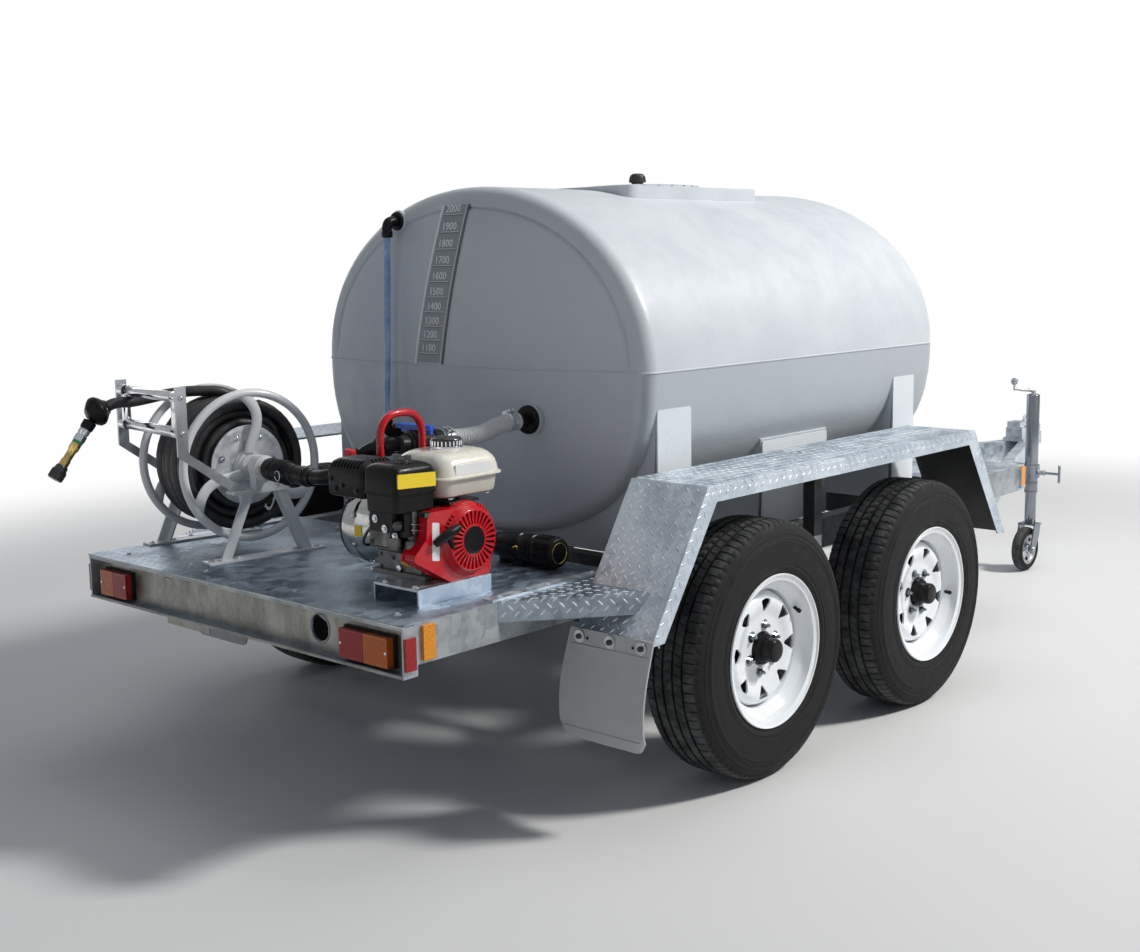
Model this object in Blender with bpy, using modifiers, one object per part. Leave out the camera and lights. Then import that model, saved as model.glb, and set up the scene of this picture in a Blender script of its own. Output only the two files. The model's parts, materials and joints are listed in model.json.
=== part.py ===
"""A tandem-axle firefighting trailer with a moulded tank, a pump and a hose reel.

Metres, +Z up, +Y towards the coupling, +X towards the trailer's right-hand side.
All pieces are placed from the point on the ground midway between the two axles.
The empty trailer_frame then moves that point, so that the origin is below the middle.
"""

import math

import bmesh
import bpy
from mathutils import Matrix, Vector

# Driving dimensions of the running gear
AXLE_SPACING = 0.887
TYRE_RADIUS = 0.3675
TYRE_WIDTH = 0.205
TYRE_BEAD_RADIUS = 0.2045
TYRE_STEPS = 32
TYRE_PROUD = 0.015
RIM_FLANGE_RADIUS = 0.2185
RIM_WIDTH = 0.178
RIM_WALL = 0.005
RIM_DISC_INSET = 0.052
STUD_CIRCLE = 0.0665
STUD_COUNT = 6
RIM_HOLES = 8
HUB_RADIUS = 0.052
HUB_BODY_DEPTH = 0.075
DUST_CAP_RADIUS = 0.034
DUST_CAP_LENGTH = 0.052
HUB_FLANGE_RADIUS = 0.082
AXLE_BEAM = 0.05
SPINDLE_RADIUS = 0.019
WHEEL_SPINDLE_END = 0.047

# Driving dimensions of the chassis
DECK_HALF_WIDTH = 0.70
DECK_TOP = 0.609
DECK_PLATE = 0.003
DECK_REAR = -1.545
REAR_DECK_FRONT = -0.755
FRONT_DECK_REAR = 1.25
DECK_FRONT = 1.79
RAIL_WIDTH = 0.05
RAIL_DEPTH = 0.10
REAR_WEB_Y = -1.50
REAR_CHANNEL_DEPTH = 0.131
REAR_CHANNEL_WALL = 0.005
TAB_X = (-0.30, -0.10)
TAB_DROP = 0.019
MARKER_REAR_INSET = 0.0805
MARKER_FRONT_INSET = 0.021
MARKER_LENGTH = 0.036
MARKER_HEIGHT = 0.08
MARKER_DEPTH = 0.008
LAMP_INSETS = {-1: (0.187, 0.042), 1: (0.246, 0.066)}
LAMP_DEPTH = 0.030
LAMP_HEIGHTS = (0.492, 0.566)
WEB_HOLE_X = 0.342
WEB_HOLE_RADIUS = 0.036
CROSS_MEMBER_WIDTH = 0.05
CROSS_MEMBER_YS = (-0.78, 0.205, 1.275)
DRAWBAR_WIDTH = 0.05
DRAWBAR_DEPTH = 0.10
DRAWBAR_APEX_Y = 3.27
DRAWBAR_APEX_X = 0.052
DRAWBAR_SLOPE = 0.345
DRAWBAR_REAR_Y = 1.245
COUPLING_LENGTH = 0.27
JOINT_GAP = 0.0003

# Driving dimensions of the springs
SPRING_LEAF = 0.008
SPRING_LEAVES = 4
SPRING_WIDTH = 0.040
SPRING_HALF_SPAN = 0.325
SPRING_SAG = 0.045
SPRING_FLAT_SHARE = 0.17
HANGER_THICKNESS = 0.005
EYE_RADIUS = 0.016

# Driving dimensions of the guards, steps and flaps
GUARD_CLEARANCE = 0.045
GUARD_WIDTH = 0.258
GUARD_TOP = 0.869
GUARD_TOP_HALF = 0.745
GUARD_END_HALF = 0.985
GUARD_END_Z = 0.49
GUARD_PLATE = 0.004
GUARD_LIP = 0.045
GUARD_POST = 0.04
STEP_REACH = 0.24
STEP_CORNER_INSET = (0.032, 0.109)
STEP_FRONT_INSET = 0.225
STEP_LIP = 0.054
FLAP_PLATE = 0.006
FLAP_BOW = 0.016
FLAP_STEPS = 8
FLAP_TOP_Z = 0.505
FLAP_BOTTOM_Z = 0.206
FLAP_TOP_OUTSET = (-0.010, 0.009)
FLAP_BOTTOM_OUTSET = (-0.045, -0.018)

# Driving dimensions of the tank
TANK_HALF_WIDTH = 0.70
TANK_UP = 0.541
TANK_DOWN = 0.515
TANK_SEAM_Z = 1.14
TANK_REAR = -0.67
TANK_FRONT = 1.08
TANK_EDGE_ROUND = 0.05
TANK_END_BULGE = 0.05
TANK_DOME_RINGS = (0.4, 0.72)
TANK_UPPER_POWER = 2.05
TANK_LOWER_POWER = 2.45
TANK_FEET = ((-0.49, 0.082, 0.008, 1.04), (0.19, 0.19, 0.045, 0.89), (0.815, 0.075, 0.008, 1.04))
OUTLET_X = 0.296
OUTLET_Z = 0.993
OUTLET_FACE_Y = -0.672
VALVE_X = 0.262
VALVE_BEHIND_TANK = 0.33
SIGHT_X = -0.30
SIGHT_TOP = (1.585, -0.632)
SIGHT_LOW = (0.914, -0.657)
SIGHT_STANDOFF = 0.045
LID_RADIUS = 0.21
LID_HEIGHT = 0.016
VENT_HEIGHT = 0.044
LID_PLATEAU_HALF = 0.27

# Driving dimensions of the reel
REEL_YAW = math.radians(-8.0)
REEL_CENTRE = (-0.448, -1.204)
REEL_AXIS_Z = 0.871
REEL_FOOT_HALF_SPACING = 0.20
REEL_RING_HALF_SPACING = 0.135
REEL_RING_RADIUS = 0.214
REEL_RING_TUBE = 0.0125
REEL_HUB_DISC_RADIUS = 0.118
REEL_HUB_RADIUS = 0.105
REEL_SPOKES = 3
REEL_FOOT_LENGTH = 0.38
REEL_FOOT_WIDTH = 0.05
REEL_FOOT_PLATE = 0.006
REEL_TOP_Z = 0.806
REEL_LEG_BAR = 0.032
HOSE_RADIUS = 0.0165
HOSE_TAIL_X = -0.138
STOP_FRONT = 0.034
ROLLER_RADIUS = 0.0135
FAIRLEAD_REACH = 0.243
FAIRLEAD_KNEE_Z = 0.926
FAIRLEAD_LOW_ROLLER_Z = 0.992
FAIRLEAD_HIGH_ROLLER_Z = 1.092
FAIRLEAD_BAR = 0.008
FAIRLEAD_BAR_WIDTH = 0.032

# Driving dimensions of the engine and pump
CRANK_Y = -1.204
CRANK_Z = 0.752
TRAY_X = (0.42, 0.59)
TRAY_Y = (-1.39, -1.135)
RECOIL_FACE_X = 0.60
RECOIL_RADIUS = 0.099
RECOIL_SLOTS = 16
RECOIL_SLOT_RADII = (0.046, 0.068)
RECOIL_SLOT_WIDTH = 0.007
RECOIL_SLOT_DEPTH = 0.005
RECOIL_BADGE_RADIUS = 0.036
COWL_BACK = 0.0644
COWL_DEPTH = 0.046
HEAD_FINS = 5
MUFFLER_SLOTS = 6
FUEL_SEAM = 0.262
ENGINE_BRACKET_TOP = 0.652
PUMP_LENGTH = 0.165
BLOCK_BACK_X = 0.33

# Driving dimensions of the jockey wheel
JOCKEY_X = 0.364
JOCKEY_Y = 2.60
JOCKEY_OUTER_RADIUS = 0.029
JOCKEY_INNER_RADIUS = 0.0245
JOCKEY_BORE_RADIUS = 0.0255
JOCKEY_OUTER_TOP = 0.807
JOCKEY_OUTER_BOTTOM = 0.355
JOCKEY_FORK_TOP = 0.214
JOCKEY_WHEEL_RADIUS = 0.10
JOCKEY_WHEEL_WIDTH = 0.052
JOCKEY_TRAIL = 0.045

# Values worked out from the driving dimensions
RAIL_TOP = DECK_TOP - DECK_PLATE - JOINT_GAP
RAIL_BOTTOM = RAIL_TOP - RAIL_DEPTH
RAIL_INNER_X = DECK_HALF_WIDTH - RAIL_WIDTH
PUMP_BACK_X = BLOCK_BACK_X - JOINT_GAP
DRAWBAR_TOP = RAIL_BOTTOM - JOINT_GAP
DRAWBAR_BOTTOM = DRAWBAR_TOP - DRAWBAR_DEPTH
GUARD_INNER_X = DECK_HALF_WIDTH + GUARD_CLEARANCE
GUARD_OUTER_X = GUARD_INNER_X + GUARD_WIDTH
SPRING_X = DECK_HALF_WIDTH - RAIL_WIDTH / 2
WHEEL_OUTER_X = GUARD_OUTER_X + TYRE_PROUD
STEP_REAR_Y = -GUARD_END_HALF - STEP_REACH
STEP_FRONT_Y = -GUARD_END_HALF + STEP_FRONT_INSET
STEP_CORNER_X = GUARD_OUTER_X - STEP_CORNER_INSET[0]
STEP_CORNER_Y = -GUARD_END_HALF + STEP_CORNER_INSET[1]
FLAP_TOP_X = (GUARD_INNER_X + FLAP_TOP_OUTSET[0], GUARD_OUTER_X + FLAP_TOP_OUTSET[1])
FLAP_BOTTOM_X = (GUARD_INNER_X + FLAP_BOTTOM_OUTSET[0], GUARD_OUTER_X + FLAP_BOTTOM_OUTSET[1])
AXLE_Z = TYRE_RADIUS
AXLE_YS = (-AXLE_SPACING / 2, AXLE_SPACING / 2)
WHEEL_CENTRE_X = WHEEL_OUTER_X - TYRE_WIDTH / 2
TANK_MIDDLE = (TANK_REAR + TANK_FRONT) / 2
FLAP_Y = -GUARD_END_HALF - JOINT_GAP - FLAP_PLATE / 2
COUPLING_FRONT = DRAWBAR_APEX_Y + COUPLING_LENGTH * 0.66
NOZZLE_REAR = -1.684
ORIGIN_Y = (NOZZLE_REAR + COUPLING_FRONT) / 2

FINISHES = {
    "galvanised": ((0.55, 0.60, 0.64), 0.85, 0.42),
    "dark_steel": ((0.06, 0.065, 0.07), 0.4, 0.6),
    "tank_grey": ((0.56, 0.59, 0.62), 0.0, 0.45),
    "tyre_rubber": ((0.02, 0.02, 0.022), 0.0, 0.85),
    "rim_white": ((0.85, 0.86, 0.87), 0.0, 0.3),
    "black_plastic": ((0.02, 0.02, 0.022), 0.0, 0.4),
    "red_paint": ((0.65, 0.02, 0.03), 0.0, 0.28),
    "cream_paint": ((0.85, 0.83, 0.74), 0.0, 0.3),
    "engine_metal": ((0.35, 0.36, 0.36), 0.8, 0.45),
    "polished_alloy": ((0.78, 0.78, 0.76), 1.0, 0.22),
    "reel_grey": ((0.62, 0.65, 0.67), 0.1, 0.4),
    "hose_black": ((0.025, 0.025, 0.028), 0.0, 0.55),
    "chrome": ((0.80, 0.82, 0.84), 1.0, 0.12),
    "brass": ((0.72, 0.52, 0.20), 1.0, 0.3),
    "zinc": ((0.50, 0.54, 0.58), 0.9, 0.35),
    "red_lens": ((0.50, 0.02, 0.02), 0.0, 0.2),
    "amber_lens": ((0.90, 0.35, 0.02), 0.0, 0.2),
    "flap_grey": ((0.45, 0.47, 0.48), 0.0, 0.6),
    "suction_grey": ((0.50, 0.52, 0.53), 0.0, 0.5),
    "clear_blue": ((0.25, 0.45, 0.70), 0.0, 0.15),
    "blue_plastic": ((0.02, 0.12, 0.55), 0.0, 0.35),
}


def clear_scene():
    for obj in list(bpy.data.objects):
        bpy.data.objects.remove(obj, do_unlink=True)


def new_collection(name, helper=False):
    collection = bpy.data.collections.new(name)
    bpy.context.scene.collection.children.link(collection)
    collection.hide_render = helper
    return collection


clear_scene()
TRAILER = new_collection("firefighting_trailer")
HELPERS = new_collection("cutters", helper=True)

trailer_frame = bpy.data.objects.new("trailer_frame", None)
trailer_frame.location = (0.0, -ORIGIN_Y, 0.0)
TRAILER.objects.link(trailer_frame)


def material(finish):
    found = bpy.data.materials.get(finish)
    if found:
        return found
    colour, metallic, roughness = FINISHES[finish]
    made = bpy.data.materials.new(finish)
    made.use_nodes = True
    shader = made.node_tree.nodes["Principled BSDF"]
    shader.inputs["Base Color"].default_value = (*colour, 1.0)
    shader.inputs["Metallic"].default_value = metallic
    shader.inputs["Roughness"].default_value = roughness
    return made


# Helper shapes: each returns an object that has its place in its mesh


def helper(mesh):
    obj = bpy.data.objects.new("helper", mesh)
    obj.hide_render = True
    obj.display_type = "WIRE"
    HELPERS.objects.link(obj)
    return obj


def from_bmesh(bm):
    mesh = bpy.data.meshes.new("helper")
    bm.to_mesh(mesh)
    bm.free()
    return helper(mesh)


def evaluated(obj):
    """A new helper that holds what the object's modifiers or curve settings make."""
    bpy.context.view_layer.update()
    graph = bpy.context.evaluated_depsgraph_get()
    mesh = bpy.data.meshes.new_from_object(obj.evaluated_get(graph))
    mesh.transform(obj.matrix_world)
    bm = bmesh.new()
    bm.from_mesh(mesh)
    bmesh.ops.remove_doubles(bm, verts=bm.verts, dist=0.00001)
    bm.to_mesh(mesh)
    bm.free()
    bpy.data.objects.remove(obj, do_unlink=True)
    return helper(mesh)


def box(low, high):
    bm = bmesh.new()
    bmesh.ops.create_cube(bm, size=1.0)
    low, high = Vector(low), Vector(high)
    bmesh.ops.scale(bm, vec=high - low, verts=bm.verts)
    bmesh.ops.translate(bm, vec=(low + high) / 2, verts=bm.verts)
    return from_bmesh(bm)


def bevelled(obj, width, segments=1, angle=40.0):
    modifier = obj.modifiers.new("edges", "BEVEL")
    modifier.width = width
    modifier.segments = segments
    modifier.limit_method = "ANGLE"
    modifier.angle_limit = math.radians(angle)
    return evaluated(obj)


def rod(start, end, radius, sides=12, end_radius=None):
    start, end = Vector(start), Vector(end)
    bm = bmesh.new()
    bmesh.ops.create_cone(
        bm,
        cap_ends=True,
        segments=sides,
        radius1=radius,
        radius2=radius if end_radius is None else end_radius,
        depth=(end - start).length,
    )
    turn = Vector((0, 0, 1)).rotation_difference(end - start).to_matrix().to_4x4()
    place = Matrix.Translation((start + end) / 2) @ turn
    bmesh.ops.transform(bm, matrix=place, verts=bm.verts)
    return from_bmesh(bm)


def turned(profile, steps=24, matrix=None):
    """A profile of (radius, height) from top to bottom, turned about Z and then placed."""
    mesh = bpy.data.meshes.new("profile")
    points = [(radius, 0.0, height) for radius, height in profile]
    closed = profile[0] == profile[-1]
    if closed:
        points.pop()
    edges = [(i, i + 1) for i in range(len(points) - 1)]
    if closed:
        edges.append((len(points) - 1, 0))
    mesh.from_pydata(points, edges, [])
    obj = helper(mesh)
    screw = obj.modifiers.new("turn", "SCREW")
    screw.axis = "Z"
    screw.angle = math.tau
    screw.steps = steps
    screw.render_steps = steps
    screw.use_merge_vertices = True
    screw.merge_threshold = 0.0001
    screw.use_smooth_shade = True
    if matrix is not None:
        obj.matrix_world = matrix
    return evaluated(obj)


def curve_object(splines, name="curve", dimensions="3D"):
    data = bpy.data.curves.new(name, "CURVE")
    data.dimensions = dimensions
    for points, cyclic in splines:
        spline = data.splines.new("POLY")
        spline.points.add(len(points) - 1)
        for slot, point in zip(spline.points, points):
            slot.co = (*point, 1.0) if len(point) == 3 else (*point, 0.0, 1.0)
        spline.use_cyclic_u = cyclic
    obj = bpy.data.objects.new(name, data)
    HELPERS.objects.link(obj)
    return obj


def pipe(points, radius, cyclic=False, resolution=2):
    obj = curve_object([(points, cyclic)])
    obj.data.bevel_depth = radius
    obj.data.bevel_resolution = resolution
    obj.data.use_fill_caps = not cyclic
    return evaluated(obj)


PLANE_TURNS = {
    "x": Matrix(((0, 0, 1), (1, 0, 0), (0, 1, 0))).to_4x4(),
    "y": Matrix(((1, 0, 0), (0, 0, -1), (0, 1, 0))).to_4x4(),
    "z": Matrix.Identity(4),
}


def slab(outline, thickness, normal, at, holes=(), matrix=None):
    """A flat outline, thick along its normal: (y, z) for x, (x, z) for y, (x, y) for z."""
    splines = [(outline, True)] + [(hole, True) for hole in holes]
    obj = curve_object(splines, dimensions="2D")
    obj.data.fill_mode = "BOTH"
    obj.data.extrude = thickness / 2
    offset = {"x": (at, 0, 0), "y": (0, at, 0), "z": (0, 0, at)}[normal]
    place = Matrix.Translation(offset) @ PLANE_TURNS[normal]
    obj.matrix_world = place if matrix is None else matrix @ place
    return evaluated(obj)


def circle(centre, radius, sides=16, start=0.0):
    return [
        (
            centre[0] + radius * math.cos(start + math.tau * i / sides),
            centre[1] + radius * math.sin(start + math.tau * i / sides),
        )
        for i in range(sides)
    ]


def joined(first, *others, operation="UNION"):
    for other in others:
        modifier = first.modifiers.new(operation.lower(), "BOOLEAN")
        modifier.operation = operation
        modifier.object = other
    made = evaluated(first)
    for other in others:
        bpy.data.objects.remove(other, do_unlink=True)
    return made


def cut(first, *cutters):
    return joined(first, *cutters, operation="DIFFERENCE")


def placed(obj, matrix):
    obj.data.transform(matrix)
    if matrix.determinant() < 0:
        obj.data.flip_normals()
    return obj


def node(name, finish, solid, parent=None, smooth=32.0):
    """Names the solid, gives it its finish and hangs it on the frame or on a joint's empty."""
    parent = parent or trailer_frame
    HELPERS.objects.unlink(solid)
    TRAILER.objects.link(solid)
    solid.name = name
    solid.data.name = name
    solid.hide_render = False
    solid.display_type = "TEXTURED"
    solid.data.materials.clear()
    solid.data.materials.append(material(finish))
    origin = Vector((0, 0, 0))
    step = parent
    while step is not None and step is not trailer_frame:
        origin += step.location
        step = step.parent
    solid.data.transform(Matrix.Translation(-origin))
    solid.parent = parent
    solid.data.shade_smooth()
    solid.data.set_sharp_from_angle(angle=math.radians(smooth))
    return solid


def pivot(name, place, parent=None):
    """An empty on a joint's axis. Its place is given in the trailer's own frame."""
    parent = parent or trailer_frame
    empty = bpy.data.objects.new(name, None)
    TRAILER.objects.link(empty)
    origin = Vector((0, 0, 0))
    step = parent
    while step is not None and step is not trailer_frame:
        origin += step.location
        step = step.parent
    empty.parent = parent
    empty.location = Vector(place) - origin
    return empty


def side_name(side):
    return "right" if side > 0 else "left"


def spin_about_x(centre, side):
    """Turns a shape made about Z so that its top faces outwards along X."""
    turn = Matrix.Rotation(math.radians(90.0 * side), 4, "Y")
    return Matrix.Translation(centre) @ turn


# Chassis


def make_decks():
    """The rear deck with its open channel, and the front deck with its end beam."""
    half = DECK_HALF_WIDTH
    rear = box((-half, DECK_REAR, DECK_TOP - DECK_PLATE), (half, REAR_DECK_FRONT, DECK_TOP))
    low = DECK_TOP - REAR_CHANNEL_DEPTH
    tab = box(
        (TAB_X[0], DECK_REAR + REAR_CHANNEL_WALL, low - TAB_DROP),
        (TAB_X[1], DECK_REAR + 2 * REAR_CHANNEL_WALL, low + REAR_CHANNEL_WALL / 2),
    )
    node("rear_deck", "galvanised", joined(rear, rear_channel(), tab))
    front = box((-half, FRONT_DECK_REAR, DECK_TOP - DECK_PLATE), (half, DECK_FRONT, DECK_TOP))
    beam = box(
        (-half, DECK_FRONT - CROSS_MEMBER_WIDTH, RAIL_BOTTOM),
        (half, DECK_FRONT, DECK_TOP - DECK_PLATE / 2),
    )
    markers = [side_marker(side, DECK_FRONT - MARKER_FRONT_INSET) for side in (-1, 1)]
    node("front_deck", "galvanised", joined(front, beam, *markers))


def rear_channel():
    half = DECK_HALF_WIDTH
    top = DECK_TOP - DECK_PLATE / 2
    bottom = DECK_TOP - REAR_CHANNEL_DEPTH
    wall = REAR_CHANNEL_WALL
    outline = [
        (REAR_WEB_Y, bottom),
        (REAR_WEB_Y, top),
        (REAR_WEB_Y - wall, top),
        (REAR_WEB_Y - wall, bottom + wall),
        (DECK_REAR, bottom + wall),
        (DECK_REAR, bottom),
    ]
    channel = slab(outline, 2 * half, "x", 0.0)
    ahead, behind = REAR_WEB_Y + wall, REAR_WEB_Y - 2 * wall
    middle = (top + bottom) / 2
    holes = [
        rod((side * WEB_HOLE_X, behind, middle), (side * WEB_HOLE_X, ahead, middle), WEB_HOLE_RADIUS, 20)
        for side in (-1, 1)
    ]
    return cut(channel, *holes)


def make_rails():
    """Side rails, each with the spring hangers and the guard's post welded to it."""
    rear = REAR_WEB_Y + JOINT_GAP
    front = DECK_FRONT - CROSS_MEMBER_WIDTH - JOINT_GAP
    for side in (-1, 1):
        outer, inner = side * DECK_HALF_WIDTH, side * RAIL_INNER_X
        low, high = min(outer, inner), max(outer, inner)
        pieces = [box((low, rear, RAIL_BOTTOM), (high, front, RAIL_TOP))]
        for y in hanger_ys():
            for offset in (-1, 1):
                x = side * SPRING_X + offset * (SPRING_WIDTH / 2 + HANGER_THICKNESS / 2)
                pieces.append(hanger_plate(x, y))
        pieces += guard_post(side)
        pieces.append(side_marker(side, DECK_REAR + MARKER_REAR_INSET))
        node("side_rail_" + side_name(side), "galvanised", joined(*pieces))


def side_marker(side, y):
    """An amber reflector's case on the trailer's side."""
    low_x, high_x = DECK_HALF_WIDTH - 0.001, DECK_HALF_WIDTH + MARKER_DEPTH
    middle = (RAIL_TOP + RAIL_BOTTOM) / 2
    half_y, half_z = MARKER_LENGTH / 2, MARKER_HEIGHT / 2
    return box(
        (min(side * low_x, side * high_x), y - half_y, middle - half_z),
        (max(side * low_x, side * high_x), y + half_y, middle + half_z),
    )


def hanger_ys():
    """The front, middle and rear spring hangers."""
    reach = AXLE_SPACING / 2 + SPRING_HALF_SPAN
    return (-reach, 0.0, reach)


def hanger_plate(x, y):
    """One cheek of a hanger, down past the spring's eye or the rocker's pin."""
    width = 0.05 if y == 0.0 else 0.032
    low = spring_eye_z() + (0.018 if y == 0.0 else -0.026)
    outline = [
        (y - width, RAIL_BOTTOM + 0.01),
        (y - 0.6 * width, low),
        (y + 0.6 * width, low),
        (y + width, RAIL_BOTTOM + 0.01),
    ]
    return slab(outline, HANGER_THICKNESS, "x", x)


def spring_eye_z():
    return AXLE_Z - AXLE_BEAM / 2 + SPRING_SAG - SPRING_LEAF / 2 + 0.006


def make_springs():
    """Leaf packs under both axles, joined by the rocker between them."""
    for side in (-1, 1):
        x = side * SPRING_X
        pieces = [leaf_pack(x, axle_y) for axle_y in AXLE_YS]
        node("springs_" + side_name(side), "dark_steel", joined(*pieces, rocker(x)))


def leaf_pack(x, axle_y):
    """A stepped pack of leaves with an eye at each end and the axle's clamp plate."""
    pack_top = AXLE_Z - AXLE_BEAM / 2 - JOINT_GAP
    lower = []
    upper = []
    steps = 12
    for i in range(steps + 1):
        share = -1.0 + 2.0 * i / steps
        y = axle_y + share * SPRING_HALF_SPAN
        rise = SPRING_SAG * (max(0.0, abs(share) - SPRING_FLAT_SHARE) / (1 - SPRING_FLAT_SHARE)) ** 2
        leaves = 1 + (SPRING_LEAVES - 1) * max(0.0, 1.0 - abs(share) * 1.05)
        upper.append((y, pack_top + rise))
        lower.append((y, pack_top + rise - SPRING_LEAF * leaves))
    pieces = [slab(upper + lower[::-1], SPRING_WIDTH - 0.004, "x", x)]
    half = SPRING_WIDTH / 2 - 0.001
    for share in (-1.0, 1.0):
        y = axle_y + share * SPRING_HALF_SPAN
        pieces.append(rod((x - half, y, spring_eye_z()), (x + half, y, spring_eye_z()), EYE_RADIUS, 12))
    clamp_z = pack_top - SPRING_LEAF * SPRING_LEAVES
    pieces.append(
        box(
            (x - half - 0.012, axle_y - 0.05, clamp_z - 0.01),
            (x + half + 0.012, axle_y + 0.05, clamp_z + 0.002),
        )
    )
    return joined(*pieces)


def rocker(x):
    """The equaliser that carries the inner ends of both springs."""
    reach = AXLE_SPACING / 2 - SPRING_HALF_SPAN + 0.012
    eye = spring_eye_z()
    outline = [
        (-reach, eye - 0.012),
        (-reach, eye + 0.012),
        (-0.035, eye + 0.045),
        (0.035, eye + 0.045),
        (reach, eye + 0.012),
        (reach, eye - 0.012),
        (0.0, eye + 0.006),
    ]
    return slab(outline, SPRING_WIDTH * 0.5, "x", x)


def make_axles():
    for end, axle_y in zip(("rear", "front"), AXLE_YS):
        half = AXLE_BEAM / 2
        reach = WHEEL_CENTRE_X - 0.085
        beam = box((-reach, axle_y - half, AXLE_Z - half), (reach, axle_y + half, AXLE_Z + half))
        tip = WHEEL_CENTRE_X + 0.045
        spindle = rod((-tip, axle_y, AXLE_Z), (tip, axle_y, AXLE_Z), SPINDLE_RADIUS, 16)
        node("axle_" + end, "dark_steel", joined(beam, spindle))


def make_cross_members():
    half = RAIL_INNER_X - JOINT_GAP
    for place, y in zip(("rear", "middle", "front"), CROSS_MEMBER_YS):
        low = (-half, y - CROSS_MEMBER_WIDTH / 2, RAIL_BOTTOM)
        high = (half, y + CROSS_MEMBER_WIDTH / 2, RAIL_TOP)
        node("cross_member_" + place, "dark_steel", box(low, high))


def drawbar_outer_x(y):
    return DRAWBAR_APEX_X + (DRAWBAR_APEX_Y - y) * DRAWBAR_SLOPE


def make_drawbar():
    """Two rails that run from under the deck to the coupling plate."""
    middle_z = (DRAWBAR_TOP + DRAWBAR_BOTTOM) / 2
    across = DRAWBAR_WIDTH * math.sqrt(1 + DRAWBAR_SLOPE**2)
    for side in (-1, 1):
        outline = [
            (side * drawbar_outer_x(DRAWBAR_REAR_Y), DRAWBAR_REAR_Y),
            (side * drawbar_outer_x(DRAWBAR_APEX_Y), DRAWBAR_APEX_Y),
            (side * JOINT_GAP, DRAWBAR_APEX_Y),
            (side * JOINT_GAP, DRAWBAR_APEX_Y - (across - DRAWBAR_APEX_X) / DRAWBAR_SLOPE),
            (side * (drawbar_outer_x(DRAWBAR_REAR_Y) - across), DRAWBAR_REAR_Y),
        ]
        rail = slab(outline, DRAWBAR_DEPTH, "z", middle_z)
        node("drawbar_rail_" + side_name(side), "galvanised", rail)


def make_coupling():
    """A ball coupling on a plate, with its socket open below and its lever on top."""
    base = DRAWBAR_TOP + JOINT_GAP
    rear = DRAWBAR_APEX_Y - COUPLING_LENGTH * 0.34
    ball_y = COUPLING_FRONT - 0.048
    half = 0.043
    plate = box((-0.055, rear, base), (0.055, rear + 0.14, base + 0.012))
    body_outline = [
        (-half, rear + 0.01),
        (half, rear + 0.01),
        (half, ball_y),
        (0.6 * half, COUPLING_FRONT - 0.012),
        (0.0, COUPLING_FRONT),
        (-0.6 * half, COUPLING_FRONT - 0.012),
        (-half, ball_y),
    ]
    body = slab(body_outline, 0.062, "z", base + 0.005 + 0.031)
    head = box((-0.034, rear + 0.005, base + 0.05), (0.034, rear + 0.085, base + 0.098))
    skirt = rod((0, ball_y, base - 0.03), (0, ball_y, base + 0.03), 0.046, 24)
    coupling = joined(plate, body, head, skirt)
    socket = rod((0, ball_y, base - 0.04), (0, ball_y, base + 0.028), 0.026, 20)
    lever = pipe(
        [
            (0.0, rear + 0.12, base + 0.050),
            (0.0, rear + 0.12, base + 0.10),
            (0.0, rear + 0.135, base + 0.115),
            (0.0, rear + 0.20, base + 0.122),
        ],
        0.008,
    )
    node("coupling", "galvanised", joined(cut(coupling, socket), lever))


def make_guards():
    """One folded plate over each pair of wheels, with a lip along its outer edge."""
    for side in (-1, 1):
        top, end, z_end = GUARD_TOP_HALF, GUARD_END_HALF, GUARD_END_Z
        wall = GUARD_PLATE
        outer = [(-end, z_end), (-top, GUARD_TOP), (top, GUARD_TOP), (end, z_end)]
        fold = math.hypot(end - top, GUARD_TOP - z_end)
        slant = wall * fold / (GUARD_TOP - z_end)
        inner = [(end - slant, z_end), (top - slant * 0.75, GUARD_TOP - wall)]
        inner += [(-y, z) for y, z in inner[::-1]]
        width = GUARD_OUTER_X - GUARD_INNER_X
        cover = slab(outer + inner, width, "x", side * (GUARD_INNER_X + width / 2))
        depth = GUARD_LIP
        lip_slant = depth * fold / (GUARD_TOP - z_end)
        lip_inner = [(end - lip_slant, z_end), (top - lip_slant * 0.72, GUARD_TOP - depth)]
        lip_inner += [(-y, z) for y, z in lip_inner[::-1]]
        lip_x = side * (GUARD_OUTER_X - wall / 2)
        lip = slab(outer + lip_inner, wall, "x", lip_x)
        node("guard_" + side_name(side), "galvanised", joined(cover, lip))


def guard_post(side):
    """A post between the tyres, on an arm from the side rail."""
    half = GUARD_POST / 2
    x = side * (GUARD_INNER_X + 0.10)
    top = GUARD_TOP - GUARD_PLATE - JOINT_GAP
    inner = side * (DECK_HALF_WIDTH - 0.01)
    foot = RAIL_TOP - GUARD_POST - 0.002
    arm = box(
        (min(inner, x + side * half), -half, foot),
        (max(inner, x + side * half), half, RAIL_TOP - 0.002),
    )
    post = box((x - half, -half - 0.001, foot - 0.001), (x + half, half + 0.001, top))
    return [arm, post]


def guard_slope_y(z):
    """How far behind the middle the guard's rear slope lies at a height."""
    share = (GUARD_TOP - z) / (GUARD_TOP - GUARD_END_Z)
    return -(GUARD_TOP_HALF + (GUARD_END_HALF - GUARD_TOP_HALF) * share)


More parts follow.
